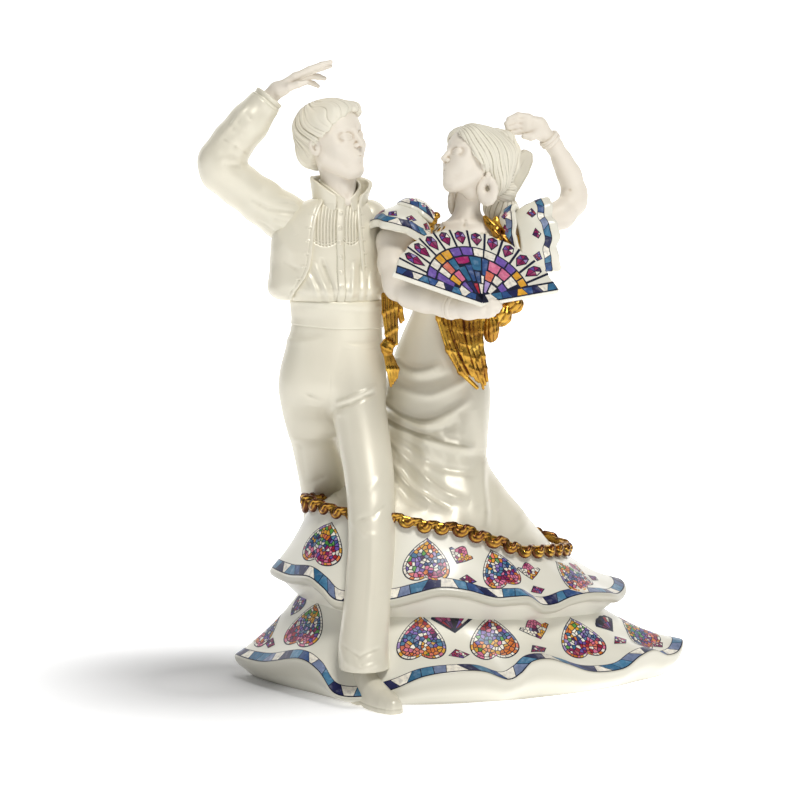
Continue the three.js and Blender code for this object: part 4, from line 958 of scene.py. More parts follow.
TR_FOLDS = [
    ([(-58.1, -27, 135.4), (-50, -31, 138.6), (-42.1, -30, 142), (-36, -24, 145)], 1.1, 0.6),
    ([(-58, -27, 133.2), (-49, -31.5, 136.4), (-42, -31, 139.4), (-36, -26, 141.5)], 1.1, -0.6),
    ([(-57, -28, 131), (-50, -31, 131.4), (-44, -32, 133.4)], 1.2, 0.4),
    ([(-60, -27, 135), (-67, -25, 139), (-73, -21, 142)], 1.2, -0.4),
    ([(-61, -26, 132.4), (-68, -23, 134.6), (-75, -17, 136)], 1.2, 0.35),
    ([(-33, -44, 104), (-40, -48, 97), (-48, -46, 93)], 1.6, 0.45),
    ([(-31, -48, 92), (-38, -54, 86), (-46, -54, 84)], 1.6, -0.5),
    ([(-49, -50, 84), (-42, -58, 78), (-34, -57, 76)], 1.6, 0.4),
    ([(-52, -66, 38), (-44, -73, 34), (-34, -70, 36)], 1.5, 0.45),
    ([(-53, -70, 29), (-44, -78, 24), (-33, -74, 28)], 1.5, -0.55),
    ([(-52, -74, 22), (-43, -81, 19), (-32, -77, 22)], 1.4, 0.5),
    ([(-41, -44, 118), (-38, -56, 92), (-38.4, -66, 60), (-41, -77, 28)], 1.6, 0.45),
    ([(-74, -8, 116), (-72, 2, 96)], 2.0, -0.4),
    ([(-60, -6, 118), (-66, -5, 112), (-74, 0, 110)], 1.8, 0.45),
    ([(-57, 4, 102), (-64, -2, 97), (-72, 6, 94)], 1.8, -0.5),
    ([(-58, 26, 40), (-66, 22, 36), (-73, 30, 38)], 1.6, 0.5),
    ([(-58, 47, 34), (-66, 50, 30), (-73, 44, 34)], 1.6, -0.5),
]


def trousers_f(P):
    pel, u, v, th = column(P, M_TR, 3.0)
    a = column(P, M_LEG_FRONT, 1.0)[0]
    b = column(P, M_LEG_REAR, 1.0)[0]
    d = smin(pel, b, 8.0)
    d = smin(d, a, 4.0)
    d = d - folds(P, TR_FOLDS)
    # fly seams: two lines down the front, the second turning in at its foot
    for pts, r, h in (
        ([(-58.1, -25.2, 169), (-58.1, -27, 160), (-58.2, -27.4, 149), (-58.6, -27.6, 139)], 0.4, 0.5),
        ([(-51, -25.6, 169), (-51.0, -27, 160), (-51.4, -27.4, 153.6), (-53.4, -27.5, 150.6), (-57.6, -27.6, 149.6)], 0.36, 0.36),
    ):
        d = d + fold(P, pts, r, h, False)
    x, y, z = P
    d = d - F(0.12) * ripple(P, 31, 14.0)
    # open hems
    d = smax(d, -cap(P, (-42.7, -68.4, 12), (-42.4, -67.2, 18.2), 10.6), 0.6)
    d = smax(d, -cap(P, (-64.9, 39.4, 8), (-64.7, 39.0, 15.4), 8.8), 0.6)
    return d


carve("trousers_cast", trousers_f, (-85, -84, 12), (-28, 54, 180), 0.52, PEARL, "pearl_glaze", "man_trousers", "man_front_leg", "man_rear_leg")


def sash_f(P):
    d, u, v, th = column(P, [[171.0, -55.6, -9, 22.6, 15.9, 4], [176, -55.4, -9, 22.2, 15.6, 5], [180, -55.6, -8.9, 22.4, 15.6, 8], [184.4, -55.8, -8.8, 22.5, 15.6, 10]], 1.2)
    z = P[2] + F(0.09) * (P[0] + F(56))
    d = smax(d, F(171.4) - z, 0.5) - F(0.35) * np.exp(-(((z - 183.0) / 1.8) ** 2))
    d = d - F(0.1) * ripple(P, 41, 14.0)
    return d


carve("waist_sash", sash_f, (-81, -27, 169), (-31, 9, 187), 0.45, PEARL, "pearl_glaze", "man_sash")

M_SHIRT = [[183.4, -56, -8.6, 21.2, 14.6, 12], [188, -56.6, -8.8, 24.0, 17.2, 13], [194, -57.4, -8.2, 24.6, 17.2, 14], [201, -58.4, -7.2, 24.2, 16.4, 15], [211, -59, -6.2, 24.8, 15.8, 15], [221, -58.6, -5, 23.6, 13.4, 15], [228, -57.4, -4.2, 17.8, 11.0, 15], [233, -55.8, -4, 9.6, 8.6, 15], [236, -55.2, -4.2, 8.4, 8.2, 15]]


def shirt_f(P):
    d, u, v, th = column(P, M_SHIRT, 1.0)
    z = P[2]
    front = np.clip(-v / 4, 0, 1)
    # pin-tucks of the two bib panels, round at the foot
    for c, w, z0 in ((-5.8, 5.6, 211.0), (6.8, 3.9, 211.6)):
        foot = z0 + 2.2 * ((u - c) / w) ** 2
        m = 1 / (1 + np.exp(-(z - foot) * 2.5)) / (1 + np.exp((np.abs(u - c) - w) * 4)) / (1 + np.exp((z - 231) * 1.5))
        d = d - F(0.26) * front * m * np.cos(u * F(2 * np.pi / 1.55))
        d = d + F(0.42) * front * np.exp(-(((z - foot) / 0.38) ** 2)) / (1 + np.exp((np.abs(u - c) - w - 0.4) * 4))
        d = d + F(0.22) * front * np.exp(-(((z - foot - 1.3) / 0.3) ** 2)) / (1 + np.exp((np.abs(u - c) - w) * 4))
    # placket, leaning a little with the twist of the body
    s = u - (1.3 - 0.09 * np.clip(206 - z, 0, 30))
    band = 1 / (1 + np.exp((np.abs(s) - 1.7) * 8))
    d = d - F(0.34) * front * band
    d = d + F(0.30) * front * (np.exp(-(((np.abs(s) - 1.9) / 0.22) ** 2)))
    for zb in (226.5, 219.5, 212.5, 205.5, 198.5, 191.5):
        sb = 1.3 - 0.09 * max(206 - zb, 0)
        r2 = (u - sb) ** 2 + (z - zb) ** 2
        d = d - F(0.5) * front * np.clip(1 - r2 / 0.75, 0, 1) ** F(0.6)
    # blousing over the sash
    for k, (u0, z0, u1, z1) in enumerate(((-12, 204, -7, 187.5), (-8.0, 206, -3.6, 187), (8, 204, 4.4, 187), (11.4, 206, 8.6, 187.5), (-15.4, 199, -11.6, 187), (14.6, 200, 12.4, 187))):
        t = np.clip((z0 - z) / (z0 - z1), -0.2, 1.2)
        uu = u0 + (u1 - u0) * t
        d = d - F(0.85 if k % 2 == 0 else -0.75) * front * np.exp(-(((u - uu) / 1.3) ** 2)) * np.clip(4 * t * (1.25 - t), 0, 1)
    d = d - F(0.9) * front * np.exp(-(((z - 189.5) / 3.4) ** 2))
    return d - F(0.12) * ripple(P, 51, 8.0)


carve("pleated_shirt", shirt_f, (-86, -28, 182), (-30, 14, 238), 0.36, PEARL, "pearl_glaze", "man_shirt")

M_JACKET = [[184.8, -59.6, -7.8, 25.4, 17.4, 12], [187.5, -60.8, -7.8, 27.4, 18.8, 12], [191, -61.4, -7.4, 28.0, 19.2, 13], [201, -60.6, -6.4, 27.6, 18.6, 15], [212, -60.2, -5.8, 27.6, 17.9, 15], [222, -59.4, -4.6, 26, 15.6, 15], [228.6, -58, -4, 20.6, 12.8, 15], [233.4, -56, -4, 12.0, 10.8, 15]]
J_FOLDS = [
    ([(-84, -14, 219), (-80, -20, 212), (-74, -23, 206)], 1.8, 0.5),
    ([(-84, -12, 212), (-79, -20, 203), (-72, -25, 198)], 2.0, -0.6),
    ([(-88, -6, 206), (-84, -17, 197), (-74, -25, 192)], 2.2, 0.7),
    ([(-88, -8, 196), (-80, -22, 190), (-72, -27, 189)], 1.8, -0.5),
    ([(-78, -20, 224), (-74, -21, 216)], 2.0, 0.4),
    ([(-37, -20, 222), (-36, -24, 210), (-37, -25, 198)], 1.8, 0.4),
    ([(-86, 6, 214), (-80, 12, 204), (-70, 14, 198)], 2.4, 0.6),
    ([(-66, 14, 222), (-62, 15, 208), (-60, 14, 194)], 2.4, -0.6),
    ([(-50, 12, 220), (-48, 13, 206), (-50, 12, 194)], 2.4, 0.6),
]


def jacket_f(P):
    d, u, v, th = column(P, M_JACKET, 1.4)
    z = P[2]
    d = d - folds(P, J_FOLDS) - F(0.14) * ripple(P, 61, 10.0)
    # front edges: cut away towards the foot on the near side
    zl = [183, 187, 191, 196, 201, 208, 216, 224, 231, 240]
    left = np.interp(z, zl, [-19.5, -18.5, -16.0, -13.2, -11.8, -10.8, -10.3, -9.4, -8.0, -7.5]).astype(F)
    right = np.interp(z, zl, [15.0, 14.8, 14.4, 13.8, 13.2, 12.4, 11.4, 10.4, 9.2, 8.6]).astype(F)
    gap = np.maximum(left - u, u - right)
    gap = np.maximum(gap, v + 2)
    # raised edging beside the opening
    near = np.minimum(np.abs(u - left + 1.1), np.abs(u - right - 1.1))
    d = d + F(0.22) * np.clip(-v / 3, 0, 1) * np.exp(-(((near - 0.9) / 0.24) ** 2))
    # worked buttonholes down each edge
    for i, zb in enumerate((226.0, 219.8, 213.6, 207.4, 201.2, 195.4)):
        ul = float(np.interp(zb, zl, [-19.5, -18.5, -16.0, -13.2, -11.8, -10.8, -10.3, -9.4, -8.0, -7.5])) - 3.0
        ur = float(np.interp(zb, zl, [15.0, 14.8, 14.4, 13.8, 13.2, 12.4, 11.4, 10.4, 9.2, 8.6])) + 2.6
        for c in (ul, ur):
            q = np.maximum(np.abs(u - c) - 0.9, 0) ** 2 + (z - zb + 0.12 * (u - c)) ** 2
            d = d - F(0.30) * np.exp(-q / 0.16) * np.clip(-v / 3, 0, 1) + F(0.26) * np.exp(-(np.maximum(np.abs(u - c - 0.3) - 0.5, 0) ** 2 + (z - zb + 0.45) ** 2) / 0.05) * np.clip(-v / 3, 0, 1)
    return smax(d, -gap, 0.9)


carve("short_jacket", jacket_f, (-92, -30, 183), (-28, 16, 236), 0.4, PEARL, "pearl_glaze", "man_jacket")


def collar_f(P):
    # standing jacket collar: high behind, spread and low in front, round a folded shirt collar
    x, y = P[0] + F(54.4), P[1] + F(4.0)
    z = P[2]
    a = np.arctan2(y, x)
    turn = np.degrees(np.abs(np.arctan2(np.sin(a - math.radians(-66)), np.cos(a - math.radians(-66)))))
    r = np.sqrt(x * x + (y * 1.04) ** 2)
    top = np.interp(turn, [0, 20, 50, 80, 120, 180], [232.5, 233.6, 237.6, 241.6, 244.0, 244.6]).astype(F)
    right = np.clip((x - 4) / 8, 0, 1)
    rad = F(11.9) + F(0.13) * np.clip(z - 231, 0, 16) + F(0.20) * right * np.clip(z - 230, 0, 10)
    d = np.abs(r - rad) - F(0.95)
    d = smax(d, z - top, 1.1)
    d = smax(d, F(227.5) - z, 1.0)
    d = smax(d, (F(26) + F(0.5) * (F(238) - z) - turn) * F(0.18), 0.9)
    # shirt collar: a band close to the neck, turned down into two soft wings
    top2 = np.interp(turn, [0, 15, 50, 90, 180], [232.6, 234.2, 238.4, 242.0, 243.2]).astype(F)
    rs = F(9.6) + F(0.17) * np.clip(top2 - z, 0, 9)
    wing = np.abs(r - rs) - F(0.62)
    wing = smax(wing, z - top2, 0.8)
    low = np.interp(turn, [0, 6, 14, 26, 40, 60, 180], [229.5, 228.0, 226.4, 227.6, 231.0, 234.0, 236.0]).astype(F) + F(0.45) * np.cos(np.radians(turn) * 18)
    wing = smax(wing, low - z, 0.6)
    wing = smax(wing, (F(3.0) + F(1.3) * np.clip(F(235) - z, 0, 20) - turn) * F(0.16), 0.5)
    return smin(d, wing, 0.25)


carve("stand_collar", collar_f, (-72, -21, 225), (-35, 13, 247), 0.3, PEARL, "pearl_glaze", "man_collar")
carve("man_neck_cast", lambda P: smin(smin(cap(P, (-54.8, -4.2, 229), (-55.2, -4.4, 247), 8.5, 8.4), ell(P, (-51.4, -11.0, 239), (1.2, 1.2, 2.2)), 3.0), smin(cap(P, (-61, -7, 246), (-51.5, -12.0, 231.5), 1.2, 1.4), cap(P, (-48.6, -3, 246), (-49.6, -11.6, 231.5), 1.2, 1.4), 1.5), 2.2), (-66, -17, 228), (-43, 6, 252), 0.4, SKIN, "bisque", "man_neck")

lo, hi = box_of(M_HEAD, (-16, -20, -22), (16, 20, 20))
carve("man_head_cast", placed(lambda Q: face(Q, 0.0), M_HEAD), lo, hi, 0.30, SKIN, "bisque", "man_head")
lo, hi = box_of(M_HEAD, (-17, -23, -15), (17, 19, 24))
carve("man_hair_cast", placed(man_hair_f, M_HEAD), lo, hi, 0.28, HAIR, "bisque", "man_hair")

SLEEVE_R = [(-73, -4, 219.5, 11.2), (-82, -7, 225, 10.8), (-92, -11, 232.2, 10.3), (-102, -15, 239.8, 9.8), (-110.2, -17.8, 246.2, 9.6), (-111.0, -18, 251.4, 9.6), (-104.8, -16.2, 260, 9.5), (-97.6, -14.6, 268.6, 9.1), (-90, -13.2, 278.2, 8.0)]
SR_FOLDS = [
    ([(-72, -14, 231), (-79, -16, 233), (-87, -19, 233.5), (-94, -20, 235)], 1.5, 0.7),
    ([(-70, -15, 226), (-79, -18, 227), (-88, -21, 228), (-97, -23, 233)], 1.6, -0.7),
    ([(-71, -15, 221), (-80, -18, 220), (-90, -21, 223)], 1.7, 0.7),
    ([(-74, -14, 236), (-82, -14, 240), (-92, -16, 243)], 1.3, 0.6),
    ([(-76, -12, 213), (-84, -15, 216), (-94, -18, 223)], 1.5, -0.6),
    ([(-100, -24, 250.5), (-107, -27, 252), (-115, -25, 253), (-120, -18, 254)], 1.6, 0.3),
    ([(-100, -24, 248.2), (-108, -27, 249.2), (-117, -24, 250)], 1.8, -0.3),
    ([(-98, -21, 246), (-106, -26, 244), (-114, -25, 243)], 1.4, 0.5),
    ([(-97, -20, 254), (-103, -25, 258), (-110, -25, 262)], 1.5, -0.55),
    ([(-95, -19, 258), (-100, -24, 264), (-105, -23, 270)], 1.5, 0.55),
    ([(-90, -19, 266), (-96, -23, 271), (-101, -20, 275)], 1.3, -0.4),
    ([(-113, -24, 257), (-105, -25, 268), (-97, -21, 279)], 1.6, 0.55),
    ([(-86, -18, 274), (-92, -20.5, 279)], 1.2, 0.35),
    ([(-94, -3, 240), (-104, -6, 246), (-112, -9, 254)], 2.0, 0.7),
    ([(-90, -2, 234), (-100, -6, 236), (-110, -9, 244)], 2.0, -0.6),
]


def tube(P, pts, k=5.0):
    return chain(P, pts, k)


def sleeve_r_f(P):
    d = tube(P, SLEEVE_R, 4.0)
    d = d - F(1.15) * folds(P, SR_FOLDS) - F(0.14) * ripple(P, 71, 9.0)
    M = np.array([-90, -13.2, 278.2])
    n = np.array([0.61, 0.10, 0.785])
    s = (P[0] - F(M[0])) * F(n[0]) + (P[1] - F(M[1])) * F(n[1]) + (P[2] - F(M[2])) * F(n[2])
    d = smax(d, s - F(0.6), 0.8)
    return d


carve("raised_sleeve", sleeve_r_f, (-124, -31, 205), (-60, 10, 284), 0.42, PEARL, "pearl_glaze", "man_right_sleeve")


def cuff(P, a, b, r, t=0.9, lip=0.35):
    """A short turned cuff with an open mouth at b."""
    a, b = np.array(a, float), np.array(b, float)
    L = np.linalg.norm(b - a)
    n = (b - a) / L
    x, y, z = P[0] - F(a[0]), P[1] - F(a[1]), P[2] - F(a[2])
    s = x * F(n[0]) + y * F(n[1]) + z * F(n[2])
    q = np.sqrt(np.maximum(x * x + y * y + z * z - s * s, 0))
    d = np.abs(q - F(r)) - F(t)
    d = smax(d, -s - F(0.8), 0.5)
    d = smax(d, s - F(L), 0.6)
    return d - F(lip) * np.exp(-(((s - F(L - 0.6)) / 0.6) ** 2))


carve("raised_cuff", lambda P: smin(cuff(P, (-90.2, -13.2, 278.0), (-87.3, -12.8, 281.7), 6.3, 0.85, 0.3), fold(P, [(-90, -20, 277), (-87, -19.5, 281)], 0.3, 0.0) + cuff(P, (-90.8, -13.3, 277.2), (-89.0, -13.0, 279.6), 6.9, 0.7, 0.2), 0.3), (-100, -23, 271), (-78, -3, 289), 0.3, PEARL, "pearl_glaze", "man_right_cuff")


def man_hand_r_f(P):
    palm = cap(P, (-83.0, -14.4, 285.4), (-75.0, -14.2, 290.6), 2.7, 2.4)
    palm = smin(palm, cap(P, (-83.0, -10.2, 285.6), (-74.6, -8.4, 290.4), 2.7, 2.3), 3.2)
    palm = smin(palm, cap(P, (-90, -13, 278.4), (-84.4, -12.3, 284.4), 4.5, 3.7), 3.4)
    palm = smin(palm, ell(P, (-80.4, -15.0, 285.2), (4.0, 2.6, 2.8), rot("y", -35)), 2.0)
    f = hand_fingers(P, [
        [(-75.0, -15.0, 290.9, 1.95), (-68.4, -14.6, 294.2, 1.75), (-62.6, -13.8, 296.6, 1.5), (-58.4, -13.0, 297.9, 1.15)],
        [(-75.0, -12.0, 291.1, 1.95), (-67.6, -11.4, 293.9, 1.75), (-61.6, -10.8, 295.6, 1.5), (-58.6, -10.4, 296.2, 1.15)],
        [(-75.0, -9.2, 290.6, 1.9), (-68.8, -8.4, 291.6, 1.7), (-64.2, -8.0, 291.2, 1.45), (-61.4, -7.8, 290.4, 1.1)],
        [(-75.4, -6.8, 289.7, 1.7), (-70.2, -5.9, 289.2, 1.5), (-66.6, -5.6, 288.0, 1.25), (-64.6, -5.4, 286.8, 0.95)],
    ], 0.55)
    th = hand_fingers(P, [[(-82.0, -15.6, 284.6, 2.4), (-77.6, -18.0, 286.0, 1.9), (-73.6, -18.4, 287.2, 1.7), (-69.8, -17.8, 288.2, 1.2)]])
    d = smin(palm, f, 1.4)
    d = smin(d, th, 1.4)
    return d


carve("raised_hand", man_hand_r_f, (-97, -22, 272), (-55, -1, 301), 0.26, SKIN, "bisque", "man_right_hand")

SLEEVE_L = [(-41, 2, 222.5, 10.2), (-36, 11, 216, 9.8), (-31, 21, 207, 9.0), (-24, 27.4, 197.6, 9.0), (-12, 29.4, 190, 8.4), (2, 28, 185.4, 7.0)]


def sleeve_l_f(P):
    d = tube(P, SLEEVE_L, 6.0)
    d = d - folds(P, [
        ([(-44, 14, 222), (-36, 22, 214), (-30, 30, 206)], 1.6, 0.6), ([(-40, 8, 212), (-36, 18, 204), (-32, 28, 198)], 1.6, -0.6),
        ([(-32, 32, 206), (-25, 36, 197), (-16, 38, 190)], 1.6, 0.7), ([(-34, 24, 197), (-26, 34, 190), (-16, 36, 184)], 1.6, -0.6),
        ([(-8, 37, 194), (-2, 36, 186), (0, 32, 180)], 1.4, 0.5), ([(-48, 6, 228), (-44, 14, 226), (-38, 20, 222)], 1.4, 0.5)]) - F(0.14) * ripple(P, 81, 9.0)
    s = (P[0] - F(2)) * F(0.94) - (P[1] - F(28)) * F(0.1) - (P[2] - F(185.4)) * F(0.32)
    return smax(d, s - F(0.6), 0.8)


carve("embracing_sleeve", sleeve_l_f, (-54, -10, 174), (8, 42, 236), 0.45, PEARL, "pearl_glaze", "man_left_sleeve")
carve("embracing_cuff", lambda P: cuff(P, (1.8, 28.1, 185.4), (6.4, 27.3, 184.4), 5.9, 0.9, 0.3), (-1, 18, 175), (10, 38, 195), 0.3, PEARL, "pearl_glaze", "man_left_cuff")


def man_hand_l_f(P):
    palm = smin(cap(P, (3.0, 28.0, 185.2), (10.0, 26.2, 183.8), 4.2, 3.4), cap(P, (11, 25.4, 185.6), (18.4, 20.8, 184.6), 2.5, 2.1), 2.6)
    palm = smin(palm, cap(P, (11, 25.4, 181.4), (18.2, 20.6, 180.6), 2.5, 2.1), 2.6)
    f = hand_fingers(P, [
        [(18.2, 20.8, 186.0, 1.8), (22.4, 17.0, 185.6, 1.6), (25.0, 11.6, 184.8, 1.15)],
        [(18.6, 20.6, 183.4, 1.8), (23.2, 16.6, 182.8, 1.6), (26.0, 10.6, 182.0, 1.15)],
        [(18.4, 20.4, 180.8, 1.8), (22.9, 16.6, 180.0, 1.6), (25.6, 11.2, 179.2, 1.15)],
        [(17.8, 20.6, 178.4, 1.6), (21.9, 17.0, 177.4, 1.4), (24.2, 12.6, 176.8, 1.0)],
    ], 0.5)
    th = hand_fingers(P, [[(8.4, 25.0, 187.0, 2.1), (12.6, 21.8, 189.0, 1.8), (16.6, 18.6, 190.2, 1.3)]])
    return smin(smin(palm, f, 1.3), th, 1.4)


carve("embracing_hand", man_hand_l_f, (-2, 7, 173), (29, 34, 193), 0.28, SKIN, "bisque", "man_left_hand")


def shoe_f(P, heel, toe, hgt):
    a, b = np.array(heel, float), np.array(toe, float)
    d = b - a
    L = np.linalg.norm(d[:2])
    n = d / np.linalg.norm(d)
    s = (P[0] - F(a[0])) * F(n[0]) + (P[1] - F(a[1])) * F(n[1])
    u = -(P[0] - F(a[0])) * F(n[1]) + (P[1] - F(a[1])) * F(n[0])
    z = P[2]
    t = s / F(L)
    w = np.interp(t, [-0.1, 0.0, 0.12, 0.35, 0.6, 0.8, 0.93, 1.0, 1.06], [0.5, 3.6, 5.4, 5.6, 6.4, 6.2, 4.8, 3.2, 0.5]).astype(F)
    top = np.interp(t, [-0.1, 0.05, 0.3, 0.5, 0.7, 0.85, 1.0, 1.06], [hgt, hgt, hgt, hgt * 0.72, hgt * 0.53, hgt * 0.44, hgt * 0.32, hgt * 0.22]).astype(F)
    e = (np.abs(u / w) ** F(2.4) + np.abs((z - 0.0) / top) ** F(2.4)) ** F(1 / 2.4)
    q = (e - 1) * np.minimum(w, top)
    q = smax(q, -s - F(1.0), 1.5)
    q = smax(q, s - F(L + 0.6), 2.0)
    q = smax(q, -z, 0.4)
    # the edge of the sole and the notch in front of the heel
    q = q + F(0.20) * np.exp(-(((z - 2.2) / 0.35) ** 2))
    q = q + F(0.6) * np.exp(-(((t - 0.36) / 0.055) ** 2)) * np.clip(1.4 - z, 0, 1)
    return q


carve("front_shoe", lambda P: shoe_f(P, (-46, -61, 0), (-26.6, -90.0, 0), 18.5), (-57, -96, 0), (-18, -54, 19), 0.36, PEARL, "pearl_glaze", "man_front_shoe")
carve("rear_shoe", lambda P: shoe_f(P, (-58.6, 37, 0), (-85, 49, 0), 15.0), (-90, 28, 0), (-52, 56, 16), 0.36, PEARL, "pearl_glaze", "man_rear_shoe")


# ------------------------------------------------------------------ fired-on mosaic: cells of enamel over a black line
from mathutils.bvhtree import BVHTree


def tone(r, g, b):
    return np.array([(((c / 255) + 0.055) / 1.055) ** 2.4 for c in (r, g, b)])


YEL, ORA, GRN, BLU, STE, NAV = tone(226, 166, 52), tone(216, 118, 44), tone(88, 158, 70), tone(48, 80, 132), tone(74, 126, 160), tone(30, 34, 78)
PUR, LIL, MAG, CRI, PNK, SAL = tone(112, 84, 168), tone(164, 140, 196), tone(150, 30, 92), tone(172, 36, 54), tone(218, 116, 150), tone(226, 120, 96)
WHT, GBL, PLM, TEA, DRK = tone(238, 232, 218), tone(118, 132, 164), tone(74, 30, 84), tone(52, 106, 142), tone(22, 14, 34)


class Surface:
    def __init__(self, obs):
        V, Fc = [], []
        for ob in obs:
            me = ob.data
            k = len(V)
            co = np.empty(len(me.vertices) * 3, F)
            me.vertices.foreach_get("co", co)
            V.extend(map(Vector, (co.reshape(-1, 3) / MM).tolist()))
            for p in me.polygons:
                Fc.append(tuple(k + i for i in p.vertices))
        self.tree = BVHTree.FromPolygons(V, Fc)

    def frame(self, c, lean=0.0, out=None, up=(0, 0, 1), wide=5.0):
        """Origin, across, upward and outward directions at the surface point nearest to c."""
        p, n, _, _ = self.tree.find_nearest(Vector(c))
        if out is None:
            out = np.array(c, float) - np.array([-4, -6, 20])
        p, n = np.array(p), np.array(n)
        if n @ out < 0:
            n = -n
        acc = n.copy()
        for a in range(8):
            e = 2 * math.pi * a / 8
            t1 = np.cross(n, [0.3, 0.2, 0.9])
            t1 /= np.linalg.norm(t1)
            t2 = np.cross(n, t1)
            o = p + wide * (t1 * math.cos(e) + t2 * math.sin(e)) + n * 6
            h = self.tree.ray_cast(Vector(o), Vector(-n), 14)
            if h[0] is not None:
                m = np.array(h[1])
                acc += m if m @ n > 0 else -m
        n = acc / np.linalg.norm(acc)
        U = np.array(up, float) - n * (n @ np.array(up, float))
        U /= np.linalg.norm(U)
        R = np.cross(U, n)
        a = math.radians(lean)
        return p, R * math.cos(a) - U * math.sin(a), U * math.cos(a) + R * math.sin(a), n

    def drape(self, fr, ab, lift):
        p, R, U, n = fr
        out = []
        d = Vector(-n)
        for a, b in ab:
            o = p + R * a + U * b + n * 9.0
            h = self.tree.ray_cast(Vector(o), d, 22)
            if h[0] is None:
                h = self.tree.find_nearest(Vector(p + R * a + U * b))
            m = np.array(h[1])
            if m @ n < 0:
                m = -m
            out.append(np.array(h[0]) + m * lift)
        return out


class Plane:
    """A flat face to print on."""

    def __init__(self, p, E1, E2, n):
        self.fr = (np.array(p, float), np.array(E1, float), np.array(E2, float), np.array(n, float))

    def drape(self, fr, ab, lift):
        p, R, U, n = self.fr
        return [p + R * a + U * b + n * lift for a, b in ab]


class Sheet:
    """One print: its coloured cells in one mesh and its black lines in another."""

    def __init__(self):
        self.V, self.Q, self.C, self.IV, self.IQ = [], [], [], [], []

    def cell(self, surf, fr, poly, colour, rng, lift=0.15):
        if len(poly) < 3:
            return
        poly = finely(poly, 0.8 if isinstance(surf, Surface) else 1.6)
        c = centroid(poly)
        pts = surf.drape(fr, [c] + list(poly), lift)
        k = len(self.V)
        self.V.extend(pts)
        s = 1 + 0.16 * (rng.rand() - 0.5)
        for i in range(len(pts)):
            self.C.append(np.clip(colour * s * (1 + (0.05 if i % 2 else -0.04)), 0, 1))
        n = len(poly)
        for i in range(n):
            self.Q.append((k, k + 1 + i, k + 1 + (i + 1) % n))

    def base(self, surf, fr, outline, lift=0.07, rings=(1.0, 0.86, 0.7, 0.52, 0.34, 0.17)):
        o = np.array(finely(outline, 0.8))
        c = centroid(outline)
        n = len(o)
        k = len(self.IV)
        ab = [c]
        for r in rings:
            ab.extend(c + (o - c) * r)
        self.IV.extend(surf.drape(fr, ab, lift))
        for j in range(len(rings) - 1):
            a, b = k + 1 + j * n, k + 1 + (j + 1) * n
            for i in range(n):
                i2 = (i + 1) % n
                self.IQ.append((a + i, a + i2, b + i2, b + i))
        a = k + 1 + (len(rings) - 1) * n
        for i in range(n):
            self.IQ.append((k, a + i, a + (i + 1) % n))

    def grid(self, G, colour=None, rng=None):
        """A small grid of points, as a cell or, with no colour, as line."""
        n, m = G.shape[:2]
        q = grid_quads(n, m, False, False)
        if colour is None:
            k = len(self.IV)
            self.IV.extend(G.reshape(-1, 3))
            self.IQ.extend(map(tuple, (q + k).tolist()))
        else:
            k = len(self.V)
            self.V.extend(G.reshape(-1, 3))
            s = 1 + 0.16 * (rng.rand() - 0.5)
            w = np.linspace(0.92, 1.1, n * m)
            self.C.extend(np.clip(colour[None] * s * w[:, None], 0, 1))
            self.Q.extend(map(tuple, (q + k).tolist()))

    def make(self, name):
        for V, Q, tag, mat, cols in ((self.IV, self.IQ, "lines", INK, None), (self.V, self.Q, "cells", ENAMEL, self.C)):
            if V:
                ob = mesh_object(name + "_" + tag, np.array(V), Q, mat, True, None if cols is None else np.array(cols, F))
                outward(ob)
                piece(ob, "decal_glaze")


def outward(ob):
    """Turns faces that look at the surface under them the right way round, by the outward direction that the sheet's
    SIDE_OF entry gives.
    """
    import bmesh
    bm = bmesh.new()
    bm.from_mesh(ob.data)
    seen = set()
    bm.faces.ensure_lookup_table()
    bm.normal_update()
    side = SIDE_OF.get(ob.name.rsplit("_", 1)[0])
    if side is not None:
        flip = [f for f in bm.faces if side(np.array(f.calc_center_median()) / MM) @ np.array(f.normal) < 0]
        if flip:
            bmesh.ops.reverse_faces(bm, faces=flip)
    bm.to_mesh(ob.data)
    bm.free()


SIDE_OF = {}


def finely(poly, step=0.7):
    """The closed polygon with its long edges cut into short ones."""
    p = [np.array(q, float) for q in poly]
    out = []
    for i in range(len(p)):
        a, b = p[i], p[(i + 1) % len(p)]
        k = max(1, int(math.ceil(np.linalg.norm(b - a) / step)))
        out.extend(a + (b - a) * j / k for j in range(k))
    return out


def centroid(poly):
    p = np.array(poly)
    q = np.roll(p, -1, 0)
    w = p[:, 0] * q[:, 1] - q[:, 0] * p[:, 1]
    A = w.sum()
    if abs(A) < 1e-9:
        return p.mean(0)
    return ((p + q) * w[:, None]).sum(0) / (3 * A)


def area_of(poly):
    p = np.array(poly)
    q = np.roll(p, -1, 0)
    return 0.5 * abs((p[:, 0] * q[:, 1] - q[:, 0] * p[:, 1]).sum())


def clip(poly, nx, ny, c):
    out = []
    n = len(poly)
    for i in range(n):
        a, b = poly[i], poly[(i + 1) % n]
        da, db = nx * a[0] + ny * a[1] - c, nx * b[0] + ny * b[1] - c
        if da <= 0:
            out.append(a)
        if (da < 0 < db) or (db < 0 < da):
            t = da / (da - db)
            out.append((a[0] + (b[0] - a[0]) * t, a[1] + (b[1] - a[1]) * t))
    return out


def inset(poly, d):
    """A convex, anticlockwise polygon drawn in by d."""
    p = [tuple(q) for q in poly]
    s = 0
    for i in range(len(p)):
        a, b = p[i], p[(i + 1) % len(p)]
        s += a[0] * b[1] - b[0] * a[1]
    if s < 0:
        p = p[::-1]
    out = list(p)
    for i in range(len(p)):
        a, b = p[i], p[(i + 1) % len(p)]
        ex, ey = b[0] - a[0], b[1] - a[1]
        L = math.hypot(ex, ey)
        if L < 1e-6:
            continue
        nx, ny = ey / L, -ex / L
        out = clip(out, nx, ny, nx * a[0] + ny * a[1] - d)
        if len(out) < 3:
            return []
    return out


